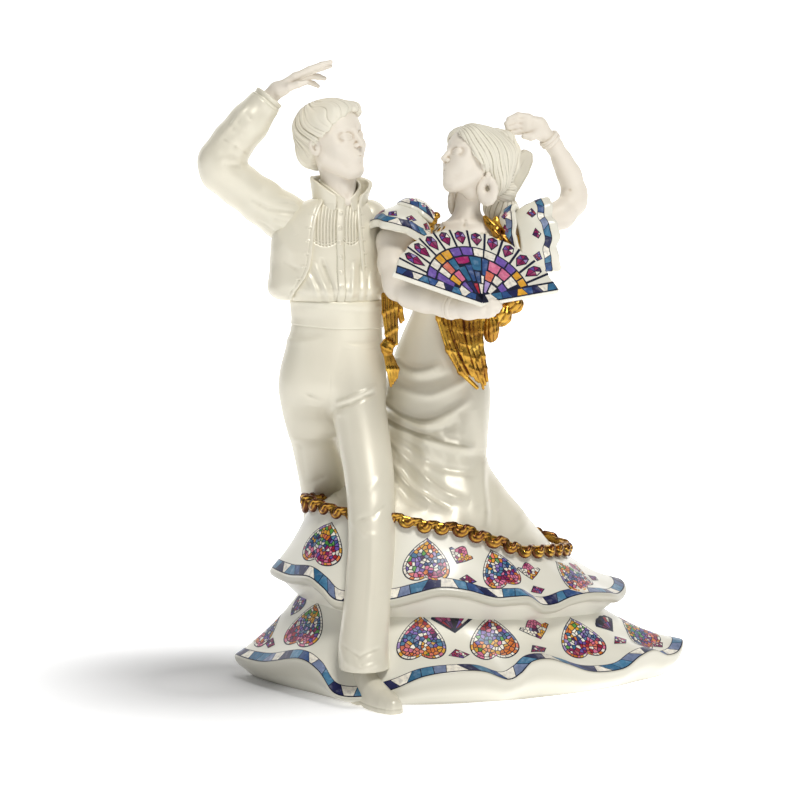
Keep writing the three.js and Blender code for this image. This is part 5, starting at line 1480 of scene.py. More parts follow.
def smooth_outline(pts, k=6, closed=True):
    p = np.array(pts, float)
    n = len(p)
    out = []
    for i in range(n):
        a, b, c, e = p[(i - 1) % n], p[i], p[(i + 1) % n], p[(i + 2) % n]
        for f in np.arange(k) / k:
            out.append(0.5 * (2 * b + (c - a) * f + (2 * a - 5 * b + 4 * c - e) * f * f + (3 * b - a - 3 * c + e) * f**3))
    return np.array(out)


HALF = [(0.0, 0.53), (0.05, 0.475), (0.15, 0.40), (0.265, 0.285), (0.37, 0.15), (0.455, 0.0), (0.497, -0.15), (0.485, -0.285), (0.415, -0.395), (0.30, -0.457), (0.175, -0.465), (0.07, -0.43), (0.0, -0.385)]
HEART = [p for p in HALF] + [(-x, y) for x, y in HALF[-2:0:-1]]


def heart_outline(w, h, k=4):
    p = np.array(HEART)
    n = len(p)
    out = []
    cusps = {0, 12}
    for i in range(n):
        a, b, c, e = p[(i - 1) % n], p[i], p[(i + 1) % n], p[(i + 2) % n]
        if i in cusps:
            a = b
        if (i + 1) % n in cusps:
            e = c
        for f in np.arange(k) / k:
            out.append(0.5 * (2 * b + (c - a) * f + (2 * a - 5 * b + 4 * c - e) * f * f + (3 * b - a - 3 * c + e) * f**3))
    o = np.array(out)
    return [(x * w, y * h) for x, y in o]


def scatter(rng, outline, gap, tries=900):
    """Well-spaced points inside an outline."""
    o = np.array(outline)
    lo, hi = o.min(0), o.max(0)
    got = []
    a, b = o, np.roll(o, -1, 0)
    for _ in range(tries):
        q = lo + (hi - lo) * rng.rand(2)
        cross = ((a[:, 1] > q[1]) != (b[:, 1] > q[1])) & (q[0] < (b[:, 0] - a[:, 0]) * (q[1] - a[:, 1]) / (b[:, 1] - a[:, 1] + 1e-12) + a[:, 0])
        if cross.sum() % 2 == 0:
            continue
        g = gap * (0.46 + 0.95 * rng.rand() ** 1.2)
        if all((q[0] - x) ** 2 + (q[1] - y) ** 2 > g * g for x, y in got):
            got.append((q[0], q[1]))
    return got


def mosaic(sheet, surf, fr, outline, gap, palette, rng, line=0.26, floor=0.12):
    sites = scatter(rng, outline, gap)
    P = np.array(sites)
    for i, s in enumerate(sites):
        d = ((P - P[i]) ** 2).sum(1)
        near = np.argsort(d)[1:14]
        poly = [(s[0] - 3 * gap, s[1] - 3 * gap), (s[0] + 3 * gap, s[1] - 3 * gap), (s[0] + 3 * gap, s[1] + 3 * gap), (s[0] - 3 * gap, s[1] + 3 * gap)]
        for j in near:
            nx, ny = P[j] - P[i]
            L = math.hypot(nx, ny)
            nx, ny = nx / L, ny / L
            m = (P[i] + P[j]) / 2
            poly = clip(poly, nx, ny, nx * m[0] + ny * m[1] - line / 2)
            if len(poly) < 3:
                break
        if len(poly) < 3:
            continue
        # keep the cell inside the outline: clip the outline by the cell's own edges
        q = [tuple(o) for o in outline]
        c = centroid(poly)
        n = len(poly)
        for k in range(n):
            a, b = poly[k], poly[(k + 1) % n]
            ex, ey = b[0] - a[0], b[1] - a[1]
            L = math.hypot(ex, ey)
            if L < 1e-6:
                continue
            nx, ny = ey / L, -ex / L
            if nx * (c[0] - a[0]) + ny * (c[1] - a[1]) > 0:
                nx, ny = -nx, -ny
            q = clip(q, nx, ny, nx * a[0] + ny * a[1])
            if len(q) < 3:
                break
        if len(q) < 3 or area_of(q) < floor:
            continue
        thin = []
        for v in q:
            if not thin or math.hypot(v[0] - thin[-1][0], v[1] - thin[-1][1]) > 0.08:
                thin.append(v)
        if len(thin) < 3:
            continue
        sheet.cell(surf, fr, thin, palette(s[0], s[1], rng), rng)


def pick(rng, rows):
    w = np.array([r[1] for r in rows], float)
    return rows[rng.choice(len(rows), p=w / w.sum())][0]


TOPS = [(YEL, 3), (ORA, 2), (GRN, 2), (WHT, 1.2), (SAL, 0.8)]
MIDS = [(BLU, 2.2), (STE, 2), (PUR, 2), (WHT, 2.6), (GBL, 1.6), (TEA, 1), (LIL, 1.2), (GRN, 0.6), (PLM, 0.5)]
LOWS = [(CRI, 2), (PNK, 2.2), (MAG, 2), (SAL, 1.4), (ORA, 1), (WHT, 1.6), (PUR, 0.6)]
DARKS = [(MAG, 2.4), (CRI, 1.6), (PLM, 2), (PNK, 1), (ORA, 0.8), (WHT, 0.8)]
WARMS = [(YEL, 2), (ORA, 2), (WHT, 1), (PNK, 1), (GRN, 0.6), (SAL, 1)]
STYLES = [(TOPS, MIDS, LOWS), (DARKS, MIDS, WARMS), (TOPS, MIDS, LOWS), (WARMS, MIDS, LOWS), (LOWS, MIDS, WARMS)]


def heart(sheet, surf, c, w, h, lean, style, seed, **kw):
    rng = np.random.RandomState(seed)
    fr = surf.frame(c, lean, **kw) if isinstance(surf, Surface) else None
    o = heart_outline(w, h)
    sheet.base(surf, fr, o)
    oc = np.array(o)
    mid = np.array([0, 0.02 * h])

    def scaled(k):
        return mid + (oc - mid) * k
    a, b = scaled(0.955), scaled(0.868)
    n = len(oc)
    i = 0
    while i < n:
        step = int(rng.randint(2, 5))
        j = min(i + step, n)
        idx = [q % n for q in range(i, j + 1)]
        seg_a, seg_b = a[idx], b[idx]
        g = 0.15
        da, db = seg_a[-1] - seg_a[0], seg_b[-1] - seg_b[0]
        La, Lb = max(np.linalg.norm(da), 1e-6), max(np.linalg.norm(db), 1e-6)
        seg_a[0] += da / La * g
        seg_a[-1] -= da / La * g
        seg_b[0] += db / Lb * g
        seg_b[-1] -= db / Lb * g
        low = seg_a[:, 1].mean() < -0.2 * h
        col = pick(rng, [(WHT, 3), (YEL, 1), (ORA, 1), (PNK, 1.2), (SAL, 0.8)] if low else [(WHT, 5), (GBL, 1), (YEL, 0.5), (LIL, 0.5)])
        poly = [tuple(v) for v in seg_a] + [tuple(v) for v in seg_b[::-1]]
        sheet.cell(surf, fr, poly, col, rng)
        i = j
    top, mids, low = STYLES[style % len(STYLES)]
    turn = rng.uniform(-0.35, 0.35)

    def palette(x, y, r):
        v = y / h + turn * x / w + r.normal() * 0.07
        if v > 0.16:
            return pick(r, top)
        if v > -0.12:
            return pick(r, mids)
        return pick(r, low)
    mosaic(sheet, surf, fr, [tuple(v) for v in scaled(0.832)], 2.15, palette, rng, line=0.42)


def badge(sheet, surf, c, w, h, lean, kind, seed, **kw):
    """The small devices between the hearts."""
    rng = np.random.RandomState(seed)
    fr = surf.frame(c, lean, wide=2.5, **kw) if isinstance(surf, Surface) else None
    if kind == "m":
        dome = [(-0.27 + 0.54 * i / 8, 0.16 + 0.33 * math.sin(math.pi * i / 8)) for i in range(9)]
        o = [(0.0, -0.52), (-0.28, -0.22), (-0.5, 0.10), (-0.42, 0.2)] + dome + [(0.42, 0.2), (0.5, 0.10), (0.28, -0.22)]
        pal = lambda x, y, r: pick(r, [(PNK, 3), (MAG, 1)]) if abs(x) < 0.24 * w and y > 0.08 * h else (pick(r, [(WHT, 4), (GBL, 1)]) if x < -0.1 * w else (pick(r, [(YEL, 2), (ORA, 1), (WHT, 2)]) if x > 0.12 * w else pick(r, [(MAG, 2), (PLM, 1), (WHT, 1), (YEL, 1)])))
        gap = 1.9
    elif kind == "d":
        o = [(-0.5, -0.06), (-0.06, 0.5), (0.5, -0.10), (0.10, -0.48)]
        pal = lambda x, y, r: pick(r, [(MAG, 3), (PUR, 1), (PLM, 1), (WHT, 1), (PNK, 1), (CRI, 1)])
        gap = 1.9
    elif kind == "f":
        rim = [(0.5 * math.cos(math.pi * (0.06 + 0.88 * i / 20)), 0.02 + (0.42 + 0.05 * abs(math.sin(math.pi * i / 4))) * math.sin(math.pi * (0.06 + 0.88 * i / 20))) for i in range(21)]
        o = [(0.0, -0.5)] + rim
        pal = lambda x, y, r: pick(r, [(NAV, 2), (MAG, 2), (CRI, 1.4), (PLM, 2), (DRK, 2), (WHT, 0.8), (PUR, 1)])
        gap = 1.7
    else:
        o = [(x, -y) for x, y in heart_outline(1.0, 1.0, 2)]
        pal = lambda x, y, r: pick(r, [(BLU, 2), (NAV, 2), (PUR, 2), (WHT, 1.2), (PLM, 1.4), (MAG, 1)])
        gap = 1.8
    o = [(x * w, y * h) for x, y in o]
    sheet.base(surf, fr, o, lift=0.10, rings=(1.0, 0.84, 0.66, 0.46, 0.24))
    oc = np.array(o)
    cc = centroid(o)
    d = 0.5
    if kind == "f":
        # a fan: rays from the lower point, cut across once, under a row of scallops
        apex = np.array([0.0, -0.40 * h])
        m = 7
        for i in range(m):
            a0, a1 = math.pi * (0.10 + 0.80 * i / m), math.pi * (0.10 + 0.80 * (i + 1) / m)

            def rim_at(a):
                q = np.array([0.5 * w * 0.9 * math.cos(a), 0.02 * h + 0.40 * h * math.sin(a)])
                return q
            p0, p1 = rim_at(a0), rim_at(a1)
            cutk = 0.45 + 0.2 * rng.rand()
            for k0, k1 in ((0.12, cutk), (cutk, 0.95)):
                poly = [tuple(apex + (p0 - apex) * k0), tuple(apex + (p1 - apex) * k0), tuple(apex + (p1 - apex) * k1), tuple(apex + (p0 - apex) * k1)]
                q = inset(poly, 0.17)
                if len(q) >= 3 and area_of(q) > 0.15:
                    sheet.cell(surf, fr, q, pal(0, 0, rng), rng, 0.17)
        return
    k = 1 - 2 * d / min(w, h)
    inner = [tuple(cc + (v - cc) * k) for v in oc]
    mosaic(sheet, surf, fr, inner, gap, pal, rng, line=0.30, floor=0.1)


BAND = [WHT, STE, BLU, NAV, WHT, TEA, STE, GBL, WHT, NAV, STE, BLU, WHT, GBL, STE, NAV]


def band(sheet, f, t0, t1, s_of, width, cell, seed, out_of, thick=0.62, dens=None):
    """A row of slanted cells along the curve f(t, s_of(t)), `width` mm wide towards smaller s."""
    rng = np.random.RandomState(seed)
    N = 2400
    t = np.linspace(t0, t1, N)
    s0 = s_of(t)
    edge = f(t, s0)
    L = np.concatenate([[0], np.cumsum(np.linalg.norm(np.diff(edge, axis=0), axis=1))])
    ds = 0.02
    slope = np.linalg.norm(edge - f(t, s0 - ds), axis=1) / ds
    total = L[-1]

    def at(x, w, lift):
        """x along the edge, w above it, both mm, arrays of one shape."""
        tt = np.interp(x, L, t)
        ss = s_of(tt) - w / np.interp(x, L, slope)
        P = f(tt, ss)
        e = 0.0015
        n = np.cross(f(tt + e, ss) - f(tt - e, ss), f(tt, ss + 0.01) - f(tt, ss - 0.01))
        n /= np.maximum(np.linalg.norm(n, axis=-1, keepdims=True), 1e-9)
        o = out_of(P)
        n = np.where((n * o).sum(-1, keepdims=True) < 0, -n, n)
        return P + n * lift
    m = max(int(total / 0.55), 40)
    X, W = np.meshgrid(np.linspace(0, total, m), np.linspace(0, width, 5), indexing="ij")
    sheet.grid(at(X, W, 0.07))
    x, k = 0.0, int(rng.randint(16))
    lean = 0.0
    while x < total - 1.0:
        col = BAND[k % len(BAND)]
        ln = cell * (0.8 + 0.5 * rng.rand())
        if total - (x + ln) < cell * 0.5:
            ln = total - x
        nl = rng.choice([-1, 1]) * rng.uniform(0.4, 2.0)
        if col is WHT:
            nl = -lean * (0.8 + 0.5 * rng.rand()) if abs(lean) > 0.3 else nl
        g = 0.2
        a, b = np.meshgrid(np.linspace(0, 1, 6), np.linspace(0, 1, 4), indexing="ij")
        lo_, hi_ = thick, width - thick * 0.66
        Wd = lo_ + (hi_ - lo_) * b
        xl = x + g + lean * (b - 0.5) * 2
        xr = x + ln - g + nl * (b - 0.5) * 2
        Xc = np.clip(xl + (xr - xl) * a, 0.02, total - 0.02)
        sheet.grid(at(Xc, Wd, 0.14), col, rng)
        x += ln
        lean = nl
        k += 1


def away(c):
    c = np.array(c, float)
    return lambda P: P - c


# the two flounces
LOW_S, UP_S = Surface([low_ob]), Surface([up_ob])
SIDE_OF["flounce_print"] = lambda p: np.array([p[0] + 4, p[1] + 6, 60.0 - 0 * p[2]])
sheet = Sheet()
band(sheet, flounce_low, 0.0, 1.0, lambda t: 0 * t + 0.996, 5.7, 6.4, 5, away((-2, -6, -60)))
band(sheet, flounce_up, 0.0, 1.0, lambda t: 0 * t + 0.996, 5.6, 6.2, 9, away((-2, -6, -40)))
for i, (c, w, h, lean, st) in enumerate([
    ((-61.9, -35.3, 70.0), 28.5, 21.5, 6, 0), ((-12.9, -52.5, 64.6), 22.4, 22.0, 3, 3), ((22.0, -47.4, 60.1), 21.0, 20.5, -6, 2), ((57.9, -22.9, 52.5), 23, 21, -12, 0),
    ((60, 18, 53.5), 22, 21, 0, 1), ((30, 38.5, 58), 22, 21, 0, 2), ((-8, 37, 61), 22, 21, 0, 4), ((-45, 19.5, 66), 22, 20, 0, 3),
]):
    heart(sheet, UP_S, c, w, h, lean, st, 100 + i)
for i, (k, c, w, h, lean) in enumerate([
    ("m", (3.1, -49.1, 66.9), 12.6, 9.8, 28), ("d", (6.5, -55.6, 56.3), 8.8, 5.4, 12), ("m", (36.0, -37.2, 57.3), 14.5, 9.6, 8), ("d", (39.5, -42.9, 49.1), 9.6, 5.4, -4),
    ("m", (60.5, -11, 53.8), 13, 10, -10), ("d", (68.6, -9.2, 49.2), 8.6, 6, -10), 
    ("m", (45, 28, 61), 13, 9.6, 0), ("d", (52, 33, 51), 9, 5.6, 0), ("m", (13, 38, 63), 13, 9.6, 0), ("d", (13, 42.5, 53), 9, 5.6, 0), ("m", (-27, 28, 66), 13, 9.6, 0), ("d", (-30, 30, 56), 9, 5.6, 0), ("d", (-64, 14, 57), 9, 5.6, 0),
    ("m", (-36, -48.5, 68), 13, 9.6, 0), ("d", (-36, -56, 56.5), 9, 5.6, 0),
]):
    badge(sheet, UP_S, c, w, h, lean, k, 200 + i)
for i, (c, w, h, lean, st) in enumerate([
    ((-69.4, -32.6, 29.6), 29, 24.5, -4, 0), ((-93, -5, 26), 23, 21, -8, 2), ((-15.3, -60.4, 29.1), 23.4, 25.0, 2, 1), ((18.3, -54.7, 27.9), 23.6, 23.6, -4, 4), ((60.6, -34.4, 24.0), 25.5, 22.6, -2, 0), ((92.0, -6.5, 21.3), 24, 21, -10, 2),
    ((88, 27, 22), 23, 21, 0, 1), ((55, 43, 24), 23, 21, 0, 0), ((17, 46, 26), 23, 21.5, 0, 3), ((-20, 35, 27), 23, 21, 0, 4), ((-60, 14, 27), 23, 21, 0, 2),
]):
    heart(sheet, LOW_S, c, w, h, lean, st, 300 + i)
for i, (k, c, w, h, lean) in enumerate([
    ("h", (-80, -18, 40.5), 12.5, 11.5, 8), ("d", (-87.9, -19.5, 19.1), 9.5, 6.4, -6), ("f", (-0.4, -51.4, 35.9), 21.4, 13.4, 0), ("d", (2.1, -65.1, 22.9), 10.8, 6.6, 0), ("m", (38.6, -43.4, 30.5), 18.2, 11.6, -2),
    ("d", (39.5, -54.7, 23.2), 12.0, 6.6, -2), ("f", (74.4, -17.4, 28.0), 17, 10.5, -6), ("d", (80.8, -23.5, 21.4), 11, 6.4, -6), ("m", (86, 2, 26), 14, 9.5, -8), ("d", (101, -7, 17), 9, 6.2, -8),
    ("m", (74, 36, 28), 15, 10, 0), ("d", (78, 43, 20), 10, 6, 0), ("f", (36, 44, 31), 18, 11, 0), ("d", (36, 53, 20), 10, 6, 0), ("m", (-2, 42, 33), 15, 10, 0), ("d", (-2, 50, 22), 10, 6, 0), ("f", (-40, 24, 32), 18, 11, 0), ("d", (-41, 29, 21), 10, 6, 0), ("m", (-80, 9, 28), 13, 9, 0),
    ("f", (-44, -58, 33), 18, 11, 0), ("d", (-45, -64, 22), 10, 6, 0),
]):
    badge(sheet, LOW_S, c, w, h, lean, k, 400 + i)
sheet.make("flounce_print")

# ------------------------------------------------------------------ sleeve frills: flared bells round the upper arms
def frill_fn(top, hem, r0, r1, waves, amp, squash, phase):
    a, b = np.array(top, float), np.array(hem, float)
    ax = (b - a) / np.linalg.norm(b - a)
    u = np.array([0, 1.0, 0]) - ax * ax[1]
    u /= np.linalg.norm(u)
    v = np.cross(ax, u)
    js, rs, ws = [-0.2, 0, 0.35, 0.75, 1.0, 1.2], [r0 - 1.2, r0, r0 + (r1 - r0) * 0.62, r0 + (r1 - r0) * 0.95, r1, r1 + 0.2], [0, 0, 0.2, 0.6, 1.0, 1.1]

    def f(t, s, d=0.0):
        th = 2 * np.pi * t
        w = amp * np.sin(waves * th + phase) + 0.35 * amp * np.sin((2 * waves + 1) * th + 1.7 * phase)
        sm = lambda c: (np.interp(s - 0.08, js, c) + np.interp(s, js, c) + np.interp(s + 0.08, js, c)) / 3
        r = sm(rs) + 1.25 * w * sm(ws) - d
        p = a + (b - a) * s[..., None] + ax * (0.6 * w * sm(ws))[..., None]
        return p + u * (r * np.cos(th) * squash)[..., None] + v * (r * np.sin(th))[..., None]
    return f, a, b


FRILLS = {
    "right_inner": ((-14.6, -5.4, 230.6), (-18.2, -8.0, 224.4), 5.2, 11.2, 5, 0.6, 0.95, 0.6),
    "right_outer": ((-20.6, -10.6, 227.4), (-24.8, -13.0, 215.8), 7.4, 15.8, 5, 0.9, 0.95, 2),
    "left_inner": ((24.0, -0.8, 216.6), (31.2, -1.8, 217.4), 9.0, 12.8, 5, 0.8, 0.9, 1),
    "left_outer": ((30.6, 1.0, 213.0), (46.2, 4.2, 215.0), 12.4, 18.4, 6, 1.1, 0.8, 2.2),
}
for i, (nm, row) in enumerate(FRILLS.items()):
    f, a, b = frill_fn(*row)
    n = 300
    t = np.arange(n) / n
    rows = []
    for s in np.linspace(0, 1, 22):
        rows.append(f(t, 0 * t + s))
    for k in range(1, 8):
        e = math.pi * k / 8
        rows.append(f(t, 0 * t + 1 + 0.12 * math.sin(e), 1.45 - 1.45 * math.cos(e)))
    for s in np.linspace(1, 0, 12):
        rows.append(f(t, 0 * t + s, 2.9 + 0.2 * (1 - s)))
    G = np.stack(rows, 1)
    ob = piece(mesh_object("sleeve_frill_" + nm, G.reshape(-1, 3), grid_quads(n, G.shape[1], True, True), WHITE), "decal_glaze", {"right_inner": "sleeve_frill_right_inner", "right_outer": "sleeve_frill_right_outer", "left_inner": "sleeve_frill_left_inner", "left_outer": "sleeve_frill_left_outer"}[nm])
    mid = (a + b) / 2
    tag = "frill_print_" + nm
    SIDE_OF[tag] = (lambda m: lambda p: p - m)(a - (b - a) * 0.4)
    sh = Sheet()
    band(sh, lambda tt, ss, f=f: f(tt, ss), 0.0, 1.0, lambda tt: 0 * tt + 0.86, 3.5, 4.2, 20 + i, away(a - (b - a) * 0.4), thick=0.42)
    surf = Surface([ob])
    m = 9
    for k in range(m):
        tt = np.array((k + 0.3) / m)
        c = f(tt, np.array(0.46 if "outer" in nm else 0.40))
        ax = (b - a) / np.linalg.norm(b - a)
        badge(sh, surf, c, 5.0 if k % 2 else 4.4, 5.6, 90 + 20 * (k % 2), "d", 500 + 20 * i + k, out=c - mid + 0 * ax, up=tuple(-ax))
    sh.make(tag)

# ------------------------------------------------------------------ the open fan
FE1 = np.array([-0.897, 0.0, 0.442])
FE1 /= np.linalg.norm(FE1)
FE2 = np.array([0.299, 0.737, 0.606])
FE2 = FE2 - FE1 * (FE1 @ FE2)
FE2 /= np.linalg.norm(FE2)
FN = np.cross(FE1, FE2)
FP = np.array([12.4, -66, 186.8])
A0, A1, FAN_R = math.radians(-10), math.radians(135), 43.0


def fan_f(P):
    x, y, z = P[0] - F(FP[0]), P[1] - F(FP[1]), P[2] - F(FP[2])
    a = x * F(FE1[0]) + y * F(FE1[1]) + z * F(FE1[2])
    b = x * F(FE2[0]) + y * F(FE2[1]) + z * F(FE2[2])
    w = x * F(FN[0]) + y * F(FN[1]) + z * F(FN[2])
    r, ph = np.sqrt(a * a + b * b), np.arctan2(b, a)
    u = (ph - F(A0)) / F(A1 - A0)
    rim = F(FAN_R - 0.1) + F(0.35) * np.cos(u * F(2 * np.pi * 10))
    d = r - rim
    d = smax(d, -(a * F(-math.sin(A0)) + b * F(math.cos(A0))) - F(0.9), 0.4)
    d = smax(d, -(a * F(math.sin(A1)) - b * F(math.cos(A1))) - F(0.9), 0.4)
    back = F(2.75) + F(0.45) * np.abs((u * 20 + 0.5) % 2 - 1) * np.clip(r / 12, 0, 1)
    d = smax(d, w - back, 0.5)
    return smax(d, -w, 0.35)


c = np.array([[a, b, w] for a in (-34, 44) for b in (-10, 45) for w in (-1, 4)])
wp = FP + c[:, :1] * FE1 + c[:, 1:2] * FE2 + c[:, 2:] * FN
carve("fan_slab", fan_f, wp.min(0), wp.max(0), 0.42, WHITE, "decal_glaze", "fan")
fan_face = Plane(FP, FE1, FE2, -FN)
SIDE_OF["fan_print"] = lambda p: -FN
fan = Sheet()
rng = np.random.RandomState(77)


def pol(u, r):
    a = A0 + (A1 - A0) * u
    return (r * math.cos(a), r * math.sin(a))


def rose(u):
    return 27.2 + 5.6 * math.sin(math.pi * min(max(u, 0), 1)) ** 1.1


def wedge(u0, u1, k0, k1, col, rel=True, gap=0.42, n=6):
    out = []
    for i in range(n + 1):
        u = u0 + (u1 - u0) * i / n
        out.append(pol(u, k1 * (rose(u) if rel else 1)))
    for i in range(n + 1):
        u = u1 + (u0 - u1) * i / n
        out.append(pol(u, k0 * (rose(u) if rel else 1)))
    p = inset(out, gap) if k0 > 0.01 or not rel else inset(out[: n + 1] + [(0.0, 0.0)], gap)
    if len(p) >= 3 and area_of(p) > 0.2:
        fan.cell(fan_face, None, p, col, rng, 0.13)


def stroke(p, q, w, lift=0.10):
    p, q = np.array(p, float), np.array(q, float)
    d = (q - p) / np.linalg.norm(q - p)
    n = np.array([-d[1], d[0]]) * w / 2
    G = np.array([[p - n, p + n], [q - n, q + n]])
    fan.grid(np.array([[fan_face.drape(None, [G[i, j]], lift)[0] for j in range(2)] for i in range(2)]))


# black ground of the rose window and of the two edge strips
o = [pol(i / 40, rose(i / 40) + 0.45) for i in range(41)]
o = [(0.0, -0.4)] + o
k = len(fan.IV)
fan.IV.extend(fan_face.drape(None, o, 0.06))
for i in range(1, 41):
    fan.IQ.append((k, k + i, k + i + 1))
STRIP = 4.3


def strip_xy(side, s, w):
    """s along the bottom edge from the rivet, w inward."""
    if side == 0:
        e, n = np.array([math.cos(A0), math.sin(A0)]), np.array([-math.sin(A0), math.cos(A0)])
    else:
        e, n = np.array([math.cos(A1), math.sin(A1)]), np.array([math.sin(A1), -math.cos(A1)])
    return tuple(e * s + n * (w - 0.75))


for side in (0, 1):
    G = np.array([[strip_xy(side, s, w) for w in (0, STRIP + 0.9)] for s in np.linspace(0, FAN_R - 0.6, 12)])
    fan.grid(np.array([[fan_face.drape(None, [G[i, j]], 0.08)[0] for j in range(2)] for i in range(12)]))
    cols = [BLU, WHT, TEA, NAV, WHT, BLU, TEA, WHT, NAV, BLU] if side == 0 else [WHT, TEA, BLU, NAV, YEL, BLU, NAV, WHT, TEA]
    edges = np.linspace(3.2, FAN_R - 0.9, len(cols) + 1)
    lean = 0.0
    for i, col in enumerate(cols):
        nl = 0.0 if i == len(cols) - 1 else rng.uniform(0.4, 1.3) * (1 if i % 2 else -1)
        a, b = edges[i], edges[i + 1]
        poly = [strip_xy(side, a - lean, 0.5), strip_xy(side, b - nl, 0.5), strip_xy(side, b + nl, STRIP), strip_xy(side, a + lean, STRIP)]
        p = inset(poly, 0.17)
        if len(p) >= 3:
            fan.cell(fan_face, None, p, col * (1.15 if col is not WHT else 1.0), rng, 0.15)
        lean = nl
# rose window: outer band, then the panes below it
e0, e1 = 0.062, 0.938
ring_cells = [(e0, 0.15, PUR), (0.15, 0.225, WHT), (0.225, 0.285, YEL), (0.285, 0.355, YEL), (0.355, 0.43, PUR), (0.43, 0.51, PUR), (0.51, 0.58, WHT), (0.58, 0.66, WHT), (0.66, 0.74, PUR), (0.74, 0.81, PUR), (0.81, 0.87, YEL), (0.87, e1, YEL)]
for u0, u1, col in ring_cells:
    wedge(u0, u1, 0.83, 1.0, col)
panes = [
    (e0 + 0.01, 0.15, 0.50, 0.83, PUR), (0.15, 0.215, 0.62, 0.83, WHT), (0.15, 0.24, 0.42, 0.62, YEL), (0.215, 0.29, 0.62, 0.83, SAL * 0.9), (0.24, 0.33, 0.42, 0.62, PNK),
    (0.29, 0.355, 0.62, 0.83, TEA), (0.355, 0.47, 0.68, 0.83, MAG * 1.15), (0.33, 0.41, 0.38, 0.66, TEA), (0.41, 0.48, 0.36, 0.68, BLU), (0.47, 0.565, 0.56, 0.83, TEA * 1.1), (0.48, 0.55, 0.34, 0.56, BLU),
    (0.565, 0.62, 0.50, 0.83, BLU * 1.1), (0.62, 0.72, 0.62, 0.83, PNK), (0.60, 0.70, 0.42, 0.62, SAL), (0.72, 0.81, 0.62, 0.83, PNK), (0.70, 0.80, 0.44, 0.62, WHT), (0.81, 0.90, 0.58, 0.83, WHT), (0.80, 0.91, 0.42, 0.58, PUR), (0.55, 0.60, 0.34, 0.50, WHT),
    (0.10, 0.20, 0.24, 0.42, WHT), (0.20, 0.30, 0.20, 0.42, PUR), (0.30, 0.40, 0.16, 0.38, NAV * 1.5), (0.40, 0.50, 0.14, 0.34, CRI), (0.50, 0.60, 0.14, 0.34, WHT), (0.60, 0.70, 0.18, 0.42, LIL), (0.70, 0.82, 0.22, 0.42, WHT),
]
for u0, u1, k0, k1, col in panes:
    wedge(u0, u1, k0, k1, col, gap=0.36)
# sticks and the drop between each pair
for i in range(0, 11):
    u = 0.085 + 0.083 * i
    stroke(pol(u, rose(u) * 0.9), pol(u, FAN_R + 0.1), 1.15)
for i in range(10):
    u = 0.085 + 0.083 * (i + 0.5)
    r = (rose(u) + FAN_R) / 2 + 0.6
    a = A0 + (A1 - A0) * u
    e, n = np.array([math.cos(a), math.sin(a)]), np.array([-math.sin(a), math.cos(a)])
    c = np.array(pol(u, r))
    L = (FAN_R - rose(u)) * 0.36
    wd = 2.45
    shape = [(-L * 1.05, 0.0), (-0.15 * L, -wd), (0.55 * L, -wd * 0.92), (0.95 * L, -0.2), (0.75 * L, wd * 0.75), (0.0, wd)]
    o = [tuple(c + e * p[0] * 1.14 + n * p[1] * 1.14) for p in shape]
    k = len(fan.IV)
    fan.IV.extend(fan_face.drape(None, o, 0.08))
    fan.IQ.append(tuple(range(k, k + len(o))))
    mid = np.array([0.22 * L, 0.1])
    cuts = [(shape[0], shape[1], mid, MAG), (shape[1], shape[2], mid, PUR), (shape[2], shape[3], mid, MAG), (shape[3], shape[4], mid, PLM), (shape[4], shape[5], mid, WHT if i % 2 else LIL), (shape[5], shape[0], mid, MAG * 0.8)]
    for p0, p1, p2, col in cuts:
        tri = [tuple(c + e * p[0] + n * p[1]) for p in (p0, p1, p2)]
        q = inset(tri, 0.17)
        if len(q) >= 3:
            fan.cell(fan_face, None, q, col, rng, 0.14)
fan.make("fan_print")


# ------------------------------------------------------------------ the woman
W_BODICE = [[178.4, -4, -1.5, 15.4, 12.4], [186, -2, -3, 15.8, 13], [195, 1, -4.5, 18, 15], [204, 4.5, -5, 19.5, 15.8], [212, 6.5, -3.6, 20.5, 12.4], [218, 8, -1.8, 18.5, 9.6], [221.4, 7.6, -1.2, 13, 8.2]]


def bodice_f(P):
    d, u, v, th = column(P, W_BODICE, 1.6)
    d = smin(d, ell(P, (-4.6, -16.0, 206), (7.8, 6.4, 7.6)), 5)
    d = smin(d, ell(P, (11.4, -16.6, 205.5), (7.8, 6.4, 7.6)), 5)
    z = P[2]
    # gathered cloth under the bust and at the waist
    for k in range(9):
        x0 = -12 + 3.4 * k
        d = d - fold(P, [(x0 * 0.75 + 1, -18, 199), (x0 * 0.6, -17, 190), (x0 * 0.7 - 1, -15, 181)], 0.9, 0.36 if k % 2 else -0.3)
    # neckline with a small lace edge
    dip = 216.2 - 1.1 * np.clip(-P[1] / 10, 0, 1.6) + 0.35 * np.clip(np.abs(P[0] - 6) / 6, 0, 3)
    edge = np.abs(z - dip) - 0.8
    d = d - F(0.55) * np.exp(-((np.maximum(edge, 0) / 0.5) ** 2)) * (F(0.75) + F(0.25) * np.cos(th * 46))
    d = smax(d, z - (dip + 1.5 + 0.35 * np.cos(th * 46)), 0.6)
    return d - F(0.12) * ripple(P, 91, 7.0)


carve("gown_bodice_cast", bodice_f, (-18, -26, 177), (31, 13, 222), 0.42, PEARL, "pearl_glaze", "gown_bodice")


